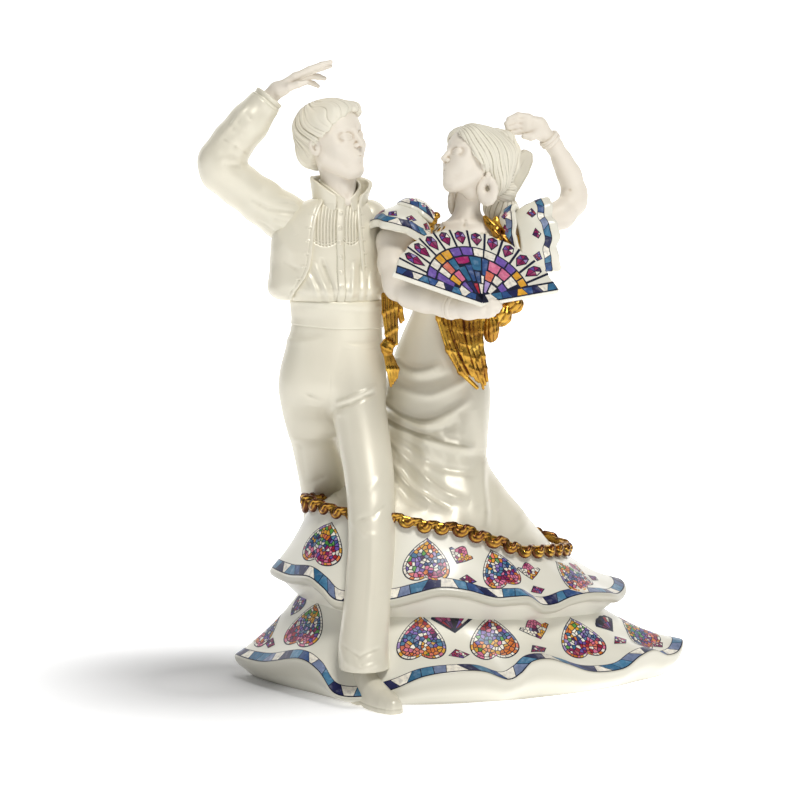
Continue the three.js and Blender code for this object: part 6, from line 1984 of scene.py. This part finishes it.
def bust_f(P):
    d, u, v, th = column(P, [[208, 5.4, -4.4, 18.6, 13.0], [212, 6.4, -3.8, 19.2, 11.6], [216, 7.4, -2.6, 18.6, 9.6], [219.6, 8.0, -1.9, 16.4, 8.2], [222.4, 7.6, -1.4, 10.8, 7.2], [225.4, 7.1, -1.3, 7.2, 6.3], [230, 7.4, -1.0, 6.1, 6.1], [235, 8.5, -0.8, 6.2, 6.2], [240, 9.4, -2.2, 5.6, 5.0]], 1.5)
    # collar bones and the cords of the neck
    d = smin(d, cap(P, (4.2, -8.0, 221.0), (-4.5, -6.5, 221.4), 1.1, 0.8), 2.4)
    d = smin(d, cap(P, (7.4, -8.6, 220.8), (17.0, -6.4, 221.0), 1.1, 0.8), 2.4)
    d = smin(d, cap(P, (5.4, -7.4, 222.2), (14.6, -2.0, 238), 1.1, 1.5), 2.6)
    d = d + fold(P, [(5.6, -9.0, 220.6), (5.8, -8.6, 222.4)], 1.4, 0.5, False)
    return d


carve("woman_bust_cast", bust_f, (-15, -20, 207), (29, 12, 245), 0.4, SKIN, "bisque", "woman_neck")

WK = 0.92
lo, hi = box_of(W_HEAD, tuple(WK * v for v in (-16, -20, -22)), tuple(WK * v for v in (16, 20, 20)))
carve("woman_head_cast", placed(lambda Q: face(Q, 1.0), W_HEAD, WK), lo, hi, 0.27, SKIN, "bisque", "woman_head")

W_POLE = np.array([0.0, -15.0, -15.0])
W_AXIS = np.array([0.0, 26.0, 27.0]) / math.hypot(26, 27)
W_SIDE = np.cross(W_AXIS, [1.0, 0, 0])


def woman_hair_local(P):
    S = mirror_x(P)
    d = ell(P, (0, -4.0, 5.6), (14.3, 16.6, 14.4))
    d = smin(d, ell(S, (5.6, 4.8, 10.4), (8.2, 9.0, 7.4), rot("y", 22)), 3)
    d = smin(d, ell(S, (10.4, -0.4, 2.4), (4.6, 8.0, 9.4)), 4)
    d = smin(d, ell(P, (-1.0, -12.5, -5.0), (11.4, 9.6, 11.2)), 5)
    d = smin(d, ell(P, (-2.0, -14.8, 6.6), (9.2, 7.8, 9.4)), 4)
    # bare face: a soft oval under the parting, the ears half covered
    x, y, z = S
    front = np.interp(x, [0, 3, 6, 9, 11, 12.6, 15], [11.6, 11.2, 9.8, 6.8, 3.4, -1.0, -9.0]).astype(F)
    side = np.interp(z, [-16, -8, -5, -2, 2, 8], [-4.0, -2.4, -0.6, 1.6, 3.4, 4.0]).astype(F)
    bare = smax(z - front, (side - y) * F(0.9), 2.4)
    d = smax(d, -bare, 1.1)
    d = smax(d, -ell(P, (0, 4.5, -24.0), (24, 15.0, 13.4), rot("x", 18)), 1.6)
    x, y, z = P
    q = z - F(W_POLE[2])
    py = y - F(W_POLE[1])
    along = py * F(W_AXIS[1]) + q * F(W_AXIS[2])
    side = py * F(W_SIDE[1]) + q * F(W_SIDE[2])
    a = np.arctan2(side, x)
    rad = np.sqrt(side * side + x * x)
    n = ripple(P, 21, 5.0)
    near = np.clip(rad / 7, 0, 1)
    a = a + F(0.05) * n + F(0.006) * along * np.sign(x)
    lock = np.sin(a * 19)
    fine = np.sin(a * 57 + 2.0 * n)
    d = d + F(0.38) * near * (F(1) - np.abs(lock)) ** F(1.6) + F(0.10) * near * fine
    d = d + fold(P, [(0.4, 13.5, 13.0), (0.4, 8.0, 17.6), (0.3, -1, 20.2)], 0.8, 0.7)
    d = d - fold(S, [(2.0, 13.6, 12.6), (7.6, 11.0, 9.6), (11.6, 6.0, 4.0), (13.0, 2.0, -2.0)], 1.6, 0.6)
    d = d + fold(S, [(1.0, 12.8, 15.6), (8.6, 8.6, 12.6), (13.2, 1.4, 5.6), (13.6, -3.4, -1.0)], 0.7, 0.45)
    return d


def woman_hair_world(P):
    d = fields(move(P, W_HEAD), WK, woman_hair_local)
    # the roll at the back and the twist down to the knot
    e = ell(P, (23.0, 3.2, 249.0), (7.8, 8.6, 12.2), rot("y", 10))
    e = smin(e, ell(P, (24.8, 6.2, 236.6), (6.8, 7.0, 7.2)), 3)
    a = np.arctan2(P[2] - F(238), P[0] - F(10) + F(0.5) * P[1])
    e = e + F(0.34) * (F(1) - np.abs(np.sin(a * 17 + 0.14 * P[0] + 0.3 * ripple(P, 24, 4)))) ** F(1.5) + F(0.08) * np.sin(a * 90)
    d = smin(d, e, 1.6)
    # the rolled lock that stands up behind the crown
    roll = chain(P, [(21.6, 3.0, 264.4, 2.9), (26.6, 3.4, 262.0, 3.5), (29.2, 3.8, 256.0, 3.7), (29.0, 4.0, 248.6, 3.5), (26.6, 4.2, 242.0, 3.1)], 2.0)
    roll = roll + F(0.30) * (F(1) - np.abs(np.sin(F(1.15) * (P[1] + F(0.55) * P[0] - F(0.16) * P[2])))) ** F(1.4)
    return smin(d, roll, 0.5)


carve("woman_hair_cast", woman_hair_world, (-10, -25, 222), (34, 18, 274), 0.27, HAIR, "bisque", "woman_hair")


def bun_f(P):
    Q = move(P, shift((23.8, 8.4, 228.0)) @ rot("y", 14) @ rot("x", 10))
    d = ell(Q, (0, 0, 0), (8.9, 8.2, 7.7))
    a = np.arctan2(Q[0], Q[1])
    pole = np.clip(1.08 - np.abs(Q[2]) / 7.7, 0.0, 1)
    d = d + F(0.75) * pole ** F(0.4) * (F(1) - np.abs(np.sin(a * 9.0 + 0.07 * Q[2]))) ** F(1.7)
    d = d + F(0.10) * np.sin(a * 54 + 0.5 * Q[2]) * pole
    d = smin(d, smax(np.abs(np.sqrt(Q[0] ** 2 + Q[1] ** 2) - 4.2) - 1.2, np.abs(Q[2] - 6.2) - 1.4, 0.8), 0.8)
    return d


carve("hair_knot", bun_f, (13, -2, 218), (35, 19, 239), 0.3, HAIR, "bisque", "hair_bun")


def comb_f(P):
    Q = move(P, shift((25.6, 12.6, 233)) @ rot("y", 26) @ rot("z", 28))
    u, w, z = Q[0], Q[1], Q[2]
    half = np.interp(z, [-2, 0, 8, 16, 22, 25.4, 26.4], [4.0, 4.5, 5.7, 6.3, 5.3, 2.9, 0.4]).astype(F)
    bow = F(0.9) - F(0.012) * (z - 10) ** 2
    d = smax((np.abs(u) - half) * F(0.9), np.abs(w - bow * 0.4) - (F(1.25) - F(0.25) * np.clip(z / 26, 0, 1)), 1.1)
    d = smax(d, z - F(26.1), 0.8)
    d = smax(d, -z, 0.5)
    rim = (np.abs(u) - half + 1.1) / 0.42
    d = d + F(0.22) * np.exp(-(rim * rim))
    d = d + F(0.12) * np.exp(-((np.abs(u) / 0.4) ** 2)) * np.clip((z - 4) / 6, 0, 1) * np.clip((22 - z) / 4, 0, 1)
    return d


carve("back_comb", comb_f, (20, 5, 230), (46, 24, 262), 0.3, HAIR, "bisque", "hair_comb")


def hoop_f(c, turn):
    def f(P):
        Q = move(P, shift(c) @ rot("z", turn))
        x, y, z = Q[0], Q[1], Q[2]
        zz = z / F(1.38)
        r = np.sqrt(x * x + zz * zz)
        a = np.arctan2(zz, x)
        thick = F(2.1) - F(0.4) * np.sin(a)
        d = np.sqrt((r - F(3.2)) ** 2 + (y * F(1.25)) ** 2) - thick
        d = d + F(0.10) * np.cos(a * 14) * np.clip(1 - (y / 1.8) ** 2, 0, 1)
        # the stud that meets the lobe
        return smin(d, ell(Q, (0.2, 0.5, 7.0), (1.3, 1.2, 1.5)), 0.7)
    return f


carve("near_hoop", hoop_f((16.5, -13.6, 237.5), -20), (8, -20, 227), (25, -6, 249), 0.26, SKIN, "bisque", "earring_left")
carve("far_hoop", hoop_f((1.0, 4.6, 232.6), 62), (-8, -5, 222), (10, 14, 244), 0.26, SKIN, "bisque", "earring_right")

W_ARM_R = [(-21, -8, 219, 6.4), (-29.6, -12.5, 212.6, 6.7), (-29.1, -20, 202.3, 6.6), (-27.0, -28.5, 193.7, 6.3), (-20.8, -37, 188.9, 6.0), (-12.7, -44, 186.3, 5.6), (-4.8, -50, 184.4, 5.1), (-0.4, -53.4, 183.5, 4.7), (1.8, -55.2, 183.1, 4.4)]


def arm_r_f(P):
    d = chain(P, W_ARM_R, 2.5)
    d = smin(d, ell(P, (-27.6, -31.6, 190.4), (3.6, 3.4, 4.2)), 4.0)
    d = smin(d, ell(P, (-16.6, -40.6, 187.4), (8.0, 5.0, 5.2), rot("z", -40)), 4.0)
    d = d + fold(P, [(-20.4, -33.5, 195.0), (-22.2, -29.0, 196.6), (-22.6, -24.0, 197.4)], 1.0, 0.4)
    return d - F(0.08) * ripple(P, 95, 8.0)


carve("fan_arm", arm_r_f, (-41, -59, 173), (7, 1, 228), 0.42, SKIN, "bisque", "woman_right_arm")


def bangle(P, a, b, r, t):
    """Two rolled rings round a wrist."""
    a, b = np.array(a, float), np.array(b, float)
    L = np.linalg.norm(b - a)
    n = (b - a) / L
    x, y, z = P[0] - F(a[0]), P[1] - F(a[1]), P[2] - F(a[2])
    s = x * F(n[0]) + y * F(n[1]) + z * F(n[2])
    q = np.sqrt(np.maximum(x * x + y * y + z * z - s * s, 0))
    d = None
    for c in (0.28, 0.72):
        e = np.sqrt((q - F(r)) ** 2 + ((s - F(L * c)) * F(0.85)) ** 2) - F(t)
        d = e if d is None else smin(d, e, 0.35)
    return d


carve("right_bangle", lambda P: bangle(P, (-3.2, -51.4, 184.0), (0.2, -53.9, 183.4), 5.0, 0.95), (-9, -60, 173), (10, -45, 189), 0.26, SKIN, "bisque", "bracelet_right")


def hand_r_f(P):
    d = smin(cap(P, (1.6, -55.2, 183.1), (6.4, -57.8, 183.2), 4.3, 4.1), cap(P, (6.6, -58.4, 184.6), (12.6, -61.0, 184.9), 3.4, 2.9), 3.6)
    d = smin(d, cap(P, (6.4, -57.8, 181.8), (12.2, -60.6, 182.2), 3.3, 2.8), 3.6)
    f = hand_fingers(P, [
        [(13.4, -61.0, 185.8, 2.0), (16.5, -63.0, 186.3, 1.9), (19.3, -63.0, 186.1, 1.5)],
        [(13.8, -61.0, 184.2, 2.1), (17.2, -63.4, 184.5, 2.0), (20.2, -63.2, 184.5, 1.6)],
        [(13.4, -60.6, 182.5, 2.0), (16.5, -62.6, 182.5, 1.9), (19.3, -62.0, 182.7, 1.5)],
        [(12.5, -59.6, 180.9, 1.8), (15.2, -61.4, 180.8, 1.7), (17.6, -60.8, 181.0, 1.35)],
    ], 1.1)
    th = hand_fingers(P, [[(6.2, -58.6, 183.8, 2.1), (9.4, -61.0, 184.0, 1.9), (11.8, -62.0, 184.2, 1.5)]])
    return smin(smin(d, f, 1.8), th, 1.5)


carve("fan_hand", hand_r_f, (-3, -68, 174), (26, -49, 192), 0.26, SKIN, "bisque", "woman_right_hand")

W_ARM_L = [(34, 2, 220, 6.4), (42, 4.6, 221.4, 6.8), (53.3, 10, 225.1, 6.6), (59.3, 14.5, 231.0, 6.2), (59.8, 15.5, 236.5, 5.8), (57.5, 14.4, 243.9, 5.1), (53.4, 12, 252.2, 4.4), (49.6, 9.6, 258.6, 3.9), (46.6, 8.2, 262.2, 3.8)]


def arm_l_f(P):
    d = chain(P, W_ARM_L, 2.5)
    d = smin(d, ell(P, (62.2, 16.6, 233.4), (3.0, 3.0, 3.8)), 3.6)
    d = smin(d, ell(P, (56.6, 13.8, 246.0), (4.6, 4.6, 7.6), rot("y", -32)), 4.0)
    d = d + fold(P, [(57.4, 8.4, 236.4), (58.0, 13.0, 238.4), (58.4, 19.0, 237.0)], 1.0, 0.45)
    return d - F(0.08) * ripple(P, 96, 8.0)


carve("raised_arm", arm_l_f, (26, -6, 213), (72, 25, 268), 0.42, SKIN, "bisque", "woman_left_arm")
carve("left_bangle", lambda P: bangle(P, (48.6, 9.1, 260.0), (46.2, 8.0, 262.8), 4.5, 0.9), (39, -1, 252), (57, 17, 270), 0.26, SKIN, "bisque", "bracelet_left")


def hand_l_f(P):
    # broad side to the front, the fingers one under another
    d = smin(cap(P, (46.6, 8.0, 262.4), (43.4, 7.0, 265.4), 3.8, 3.7), cap(P, (42.4, 6.6, 269.6), (36.6, 5.8, 270.6), 3.0, 2.6), 4.0)
    d = smin(d, cap(P, (42.0, 6.4, 265.4), (36.4, 5.4, 266.6), 3.0, 2.6), 4.0)
    f = hand_fingers(P, [
        [(36.9, 5.8, 272.1, 2.0), (31.8, 5.0, 272.8, 1.9), (27.5, 4.0, 271.2, 1.5)],
        [(36.6, 5.4, 270.1, 2.05), (31.0, 4.6, 270.5, 1.95), (26.4, 3.4, 269.0, 1.55)],
        [(36.4, 5.2, 268.0, 2.0), (31.0, 4.4, 267.9, 1.9), (27.0, 3.4, 267.0, 1.5)],
        [(36.2, 5.0, 265.9, 1.9), (32.1, 4.4, 265.4, 1.75), (29.3, 3.8, 265.0, 1.35)],
    ], 0.8)
    th = hand_fingers(P, [[(41.9, 3.6, 264.0, 2.1), (38.0, 2.0, 262.7, 1.9), (34.6, 1.4, 263.0, 1.4)]])
    return smin(smin(d, f, 1.6), th, 1.5)


carve("raised_palm", hand_l_f, (22, -4, 256), (53, 14, 277), 0.26, SKIN, "bisque", "woman_left_hand")


# ------------------------------------------------------------------ the fringed shawl
def cords(P, u, gap, depth, seed, sway=1.2):
    """Grooves between hanging cords; u is the distance across them."""
    n = ripple(P, seed, 9.0)
    w = u / F(gap) + F(sway) * F(0.25) * n
    g = np.abs(np.sin(np.pi * w))
    twist = np.sin(P[2] * F(1.7) + w * F(3.0))
    return F(depth) * (F(1) - g) ** F(1.5) - F(0.14) * twist


def shawl_f(P):
    d, u, v, th = column(P, [[186, 3, 0, 21, 17.5], [196, 6, -0.6, 23.4, 19], [206, 8, -0.4, 24.6, 18.6], [214, 9, 0.6, 24, 15.4], [221, 9, 1.2, 17.6, 11.6]], 2.0)
    d = d + cords(P, th * 19, 2.3, 0.75, 101)
    # it hangs open in front
    x, y, z = P
    open_ = 1.0 * (z - 186) * 0.0 + 0
    d = smax(d, -(y + F(3.5)) , 1.5) if False else smax(d, -(y + F(6.5) + F(0.12) * (z - F(200))), 1.5)
    e = smin(chain(P, [(-7.6, -9.6, 225.4, 1.7), (-11.6, -13.2, 219.4, 2.3), (-14.0, -17.2, 210, 2.4), (-13.6, -18.6, 200, 1.9)], 1.0), chain(P, [(-11, -6.6, 223.4, 1.6), (-15.0, -9.4, 218.0, 2.3), (-17.4, -12.6, 209.6, 2.4), (-17, -14, 200, 1.9)], 1.0), 0.6)
    s = (z - 200) * 1.1 + x * 0.8
    e = e - F(0.28) * np.sin(s * 1.5)
    e2 = smin(chain(P, [(15.6, -8.6, 223.6, 1.4), (20.6, -12.0, 217.6, 2.3), (22.6, -15.4, 209, 2.5), (21.6, -16.6, 199, 2.0)], 1.0), chain(P, [(20.6, -5.6, 223.2, 1.4), (24.6, -8.6, 217, 2.3), (26.4, -11.6, 208, 2.5), (25.6, -12.6, 199, 2.0)], 1.0), 0.6)
    e2 = e2 - F(0.3) * np.sin((z + x * 0.7) * 1.5)
    return np.minimum(np.minimum(d, e), e2)


carve("shawl_gold", shawl_f, (-24, -24, 183), (38, 25, 228), 0.42, GOLD, "gold_lustre", "shawl_wrap")


def cord_set(P, rows, r0, r1, wave=0.015, k=0.18, freq=1.3):
    """Hanging cords, each a soft chain with a slow twist."""
    d = None
    for i, pts in enumerate(rows):
        n = len(pts)
        e = chain(P, [tuple(p) + (r0 + (r1 - r0) * j / (n - 1),) for j, p in enumerate(pts)], 1.2)
        e = e - F(wave) * np.sin(P[2] * F(freq) + F(1.7 * i) + P[0] * F(0.9))
        d = e if d is None else smin(d, e, F(k))
    return d


FF_TOP, FF_ROWS = 188.5, []
for i in range(12):
    u = i / 11 + 0.018 * math.sin(5.1 * i)
    pts = []
    foot = 142.6 + 2.2 * abs(math.sin(2.3 * i + 0.6)) + 0.9 * abs(i - 8)
    for z in np.linspace(FF_TOP, foot, 8):
        L = np.interp(z, [142, 151.3, 161.4, 170, 176.5, 184, 190], [12.2, 4.6, -0.6, -3.8, -5.6, -5.0, -3.4])
        R = np.interp(z, [142, 145.2, 154.3, 164, 174.5, 184, 190], [15.2, 16.6, 15.4, 13.6, 13.4, 17.0, 20.0])
        x = L + (R - L) * u
        y = np.interp(z, [142, 150, 160, 170, 180, 190], [-21.4, -23.0, -22.8, -20.6, -17.6, -15.0]) + 0.010 * (x - 9) ** 2
        pts.append((x, y - 0.5 * (i % 2) - 0.4 * math.sin(1.9 * i), z))
    FF_ROWS.append(pts)


def fringe_front_f(P):
    d = cord_set(P, FF_ROWS, 1.42, 0.72)
    # the backing the cords hang on, and the rolled edge down the left
    back = cord_set(P, [[(p[0], p[1] + 1.2, p[2]) for p in FF_ROWS[k]] for k in (1, 3, 5, 7, 9)], 2.2, 0.7, 0.0, 2.0)
    d = smin(d, back + F(0.5), 0.3)
    edge = chain(P, [(-4.6, -16.4, 186, 1.5), (-6.6, -18.4, 176.5, 1.6), (-2.0, -21.6, 161.4, 1.5), (3.6, -22.8, 151.0, 1.3), (11.4, -22.2, 143.4, 1.0)], 1.4)
    return smin(d, edge, 0.6)


carve("fringe_front_gold", fringe_front_f, (-10, -28, 139), (29, -9, 192), 0.34, GOLD, "gold_lustre", "shawl_fringe_front")


def tassel(P, c, r, ax, seed):
    """A doubled-over cord tassel: rounded, its cords running along the axis."""
    a = np.array(ax, float)
    a /= np.linalg.norm(a)
    d = ell(P, c, r)
    x, y, z = P[0] - F(c[0]), P[1] - F(c[1]), P[2] - F(c[2])
    t1 = np.cross(a, [0.1, 1, 0.2])
    t1 /= np.linalg.norm(t1)
    t2 = np.cross(a, t1)
    p = x * F(t1[0]) + y * F(t1[1]) + z * F(t1[2])
    q = x * F(t2[0]) + y * F(t2[1]) + z * F(t2[2])
    an = np.arctan2(p, q)
    s = x * F(a[0]) + y * F(a[1]) + z * F(a[2])
    return d + F(0.55) * (F(1) - np.abs(np.sin(an * 3.5 + 0.25 * s + seed))) ** F(1.5) - F(0.10) * np.sin(s * 1.6 + an * 2)


def fringe_tail_f(P):
    d = tassel(P, (29.4, -9, 182.4), (4.9, 4.1, 4.7), (0.5, 0, 1), 0.0)
    d = smin(d, tassel(P, (23.4, -11.6, 177.2), (5.2, 4.0, 5.4), (0.3, 0, 1), 1.0), 1.6)
    d = smin(d, tassel(P, (18.2, -14.6, 170.8), (4.2, 3.5, 6.6), (-0.2, 0, 1), 2.0), 1.6)
    d = smin(d, tassel(P, (27, -8, 188.4), (5.0, 4.2, 6.0), (0.1, 0, 1), 0.5), 1.6)
    return d


carve("fringe_tail_gold", fringe_tail_f, (11, -19, 163), (36, -2, 197), 0.34, GOLD, "gold_lustre", "shawl_fringe_tail")


def fringe_left_f(P):
    main = cord_set(P, [[(-33.2 + 1.9 * i, -18.4 - 0.5 * (i % 2), 187.5), (-32.9 + 1.9 * i, -20.4, 179 + i), (-31.6 + 1.5 * i, -21.6, 169 + i), (-30.6 + 1.2 * i, -22.4, 162.5 + 0.6 * i)] for i in range(4)], 1.16, 0.8)
    main = smin(main, cord_set(P, [[(-28.4 + 1.5 * i, -18.0, 187.0), (-26.4 + 1.4 * i, -19.2, 181), (-24.8 + 1.0 * i, -19.6, 174.6 + i)] for i in range(2)], 1.1, 0.8), 0.2)
    knot = ell(P, (-31.4, -22.6, 163.0), (3.4, 2.8, 4.0)) - F(0.2) * np.sin(P[2] * F(1.6) + P[0])
    low = cord_set(P, [[(-32.4 + 0.8 * i, -22.8, 160), (-31.0 + 1.5 * i, -23.8, 152.4), (-29.6 + 0.9 * i, -24.0, 144.4 + 1.3 * i)] for i in range(4)], 1.05, 0.7)
    return smin(smin(main, knot, 0.8), low, 0.7)


carve("fringe_side_gold", fringe_left_f, (-38, -29, 140), (-20, -13, 191), 0.34, GOLD, "gold_lustre", "shawl_fringe_right")
# ------------------------------------------------------------------ stage, light, camera
def area(name, loc, target, size, power, color=(1, 1, 1), size_y=None):
    L = bpy.data.lights.new(name, "AREA")
    L.energy = power
    L.color = color
    L.size = size
    if size_y:
        L.shape = "RECTANGLE"
        L.size_y = size_y
    o = bpy.data.objects.new(name, L)
    o.location = loc
    o.rotation_euler = (Vector(target) - Vector(loc)).to_track_quat("-Z", "Y").to_euler()
    bpy.context.scene.collection.objects.link(o)
    return o


def stage():
    n, pts = 48, []
    prof = [(-3.0, 0.0), (1.6, 0.0)] + [(1.6 + 1.2 * math.sin(a), 1.2 - 1.2 * math.cos(a)) for a in np.linspace(0.1, math.pi / 2, 14)] + [(2.8, 4.0)]
    V = [(x * 1000, y * 1000, z * 1000 - 0.05) for x in (-4.0, 4.0) for y, z in prof]
    k = len(prof)
    q = np.array([[i, i + 1, k + i + 1, k + i] for i in range(k - 1)])
    m = bpy.data.materials.new("studio_paper")
    nt, b = nodes_of(m)
    nt.links.new(ramp(nt, noise(nt, 8.0, 2.0), [(0.3, (0.86, 0.86, 0.865)), (0.7, (0.88, 0.88, 0.88))]), b.inputs["Base Color"])
    b.inputs["Roughness"].default_value = 0.75
    b.inputs["Specular IOR Level"].default_value = 0.15
    # the paper glows by its own emission, brighter away from the piece: painted light on the paper, dimmest round a
    # point just left of the foot as a painted shadow there
    co = nt.nodes.new("ShaderNodeNewGeometry").outputs["Position"]
    far = node(nt, "ShaderNodeVectorMath", operation="LENGTH")
    off = node(nt, "ShaderNodeVectorMath", operation="SUBTRACT")
    # centre of the painted shadow, just left of the foot
    off.inputs[1].default_value = (-0.116, -0.016, 0.0)
    nt.links.new(co, off.inputs[0])
    nt.links.new(off.outputs[0], far.inputs[0])
    glow_and_painted_shadow = nt.nodes.new("ShaderNodeMapRange")
    glow_and_painted_shadow.inputs["From Min"].default_value = 0.03
    glow_and_painted_shadow.inputs["From Max"].default_value = 0.16
    glow_and_painted_shadow.inputs["To Min"].default_value = 0.04
    glow_and_painted_shadow.inputs["To Max"].default_value = 0.98
    nt.links.new(far.outputs["Value"], glow_and_painted_shadow.inputs["Value"])
    b.inputs["Emission Color"].default_value = (1, 1, 1, 1)
    nt.links.new(glow_and_painted_shadow.outputs["Result"], b.inputs["Emission Strength"])
    mesh_object("studio_floor", np.array(V), q[:, ::-1], m)


stage()
# one lamp set lights the piece, another the paper it stands on
figure_only = bpy.data.collections.new("figure_only")
for ob in PIECES:
    figure_only.objects.link(ob)
key = area("key", (0.42, -1.04, 1.84), (0, 0, 0.12), 0.62, 25.0, (1.0, 0.985, 0.95))
front = area("front", (0.55, -1.45, 0.30), (0, 0, 0.13), 0.7, 2.1, (1.0, 0.975, 0.93))
fill = area("fill", (-1.35, -0.9, 0.45), (0, 0, 0.14), 0.8, 1.0, (0.95, 0.975, 1.0))
for lamp in (key, front, fill):
    lamp.light_linking.receiver_collection = figure_only
over = area("over", (0.56, -0.28, 2.03), (0, 0, 0.0), 0.60, 16.0, (1.0, 0.99, 0.97))
paper_only = bpy.data.collections.new("paper_only")
paper_only.objects.link(bpy.data.objects["studio_floor"])
over.light_linking.receiver_collection = paper_only
world = bpy.data.worlds.new("studio_air")
bpy.context.scene.world = world
world.use_nodes = True
world.node_tree.nodes["Background"].inputs[0].default_value = (0.97, 0.985, 1.0, 1.0)
world.node_tree.nodes["Background"].inputs[1].default_value = 0.11

cam = bpy.data.cameras.new("view")
cam_ob = bpy.data.objects.new("view", cam)
bpy.context.scene.collection.objects.link(cam_ob)
target = Vector((-0.0253, 0.0, 0.1353))
e = math.radians(5.5)
cam_ob.location = target + 1.2 * Vector((0, -math.cos(e), math.sin(e)))
cam_ob.rotation_euler = (target - cam_ob.location).to_track_quat("-Z", "Y").to_euler()
cam.sensor_width = 36.0
cam.lens = 36.0 * 1200.0 / (800.0 * 0.487)
cam.clip_start = 0.05
cam.clip_end = 30.0
bpy.context.scene.camera = cam_ob
bpy.context.scene.view_settings.view_transform = "Standard"

for ob in PIECES:
    if "tint" not in ob.data.color_attributes:
        shade_cavity(ob)
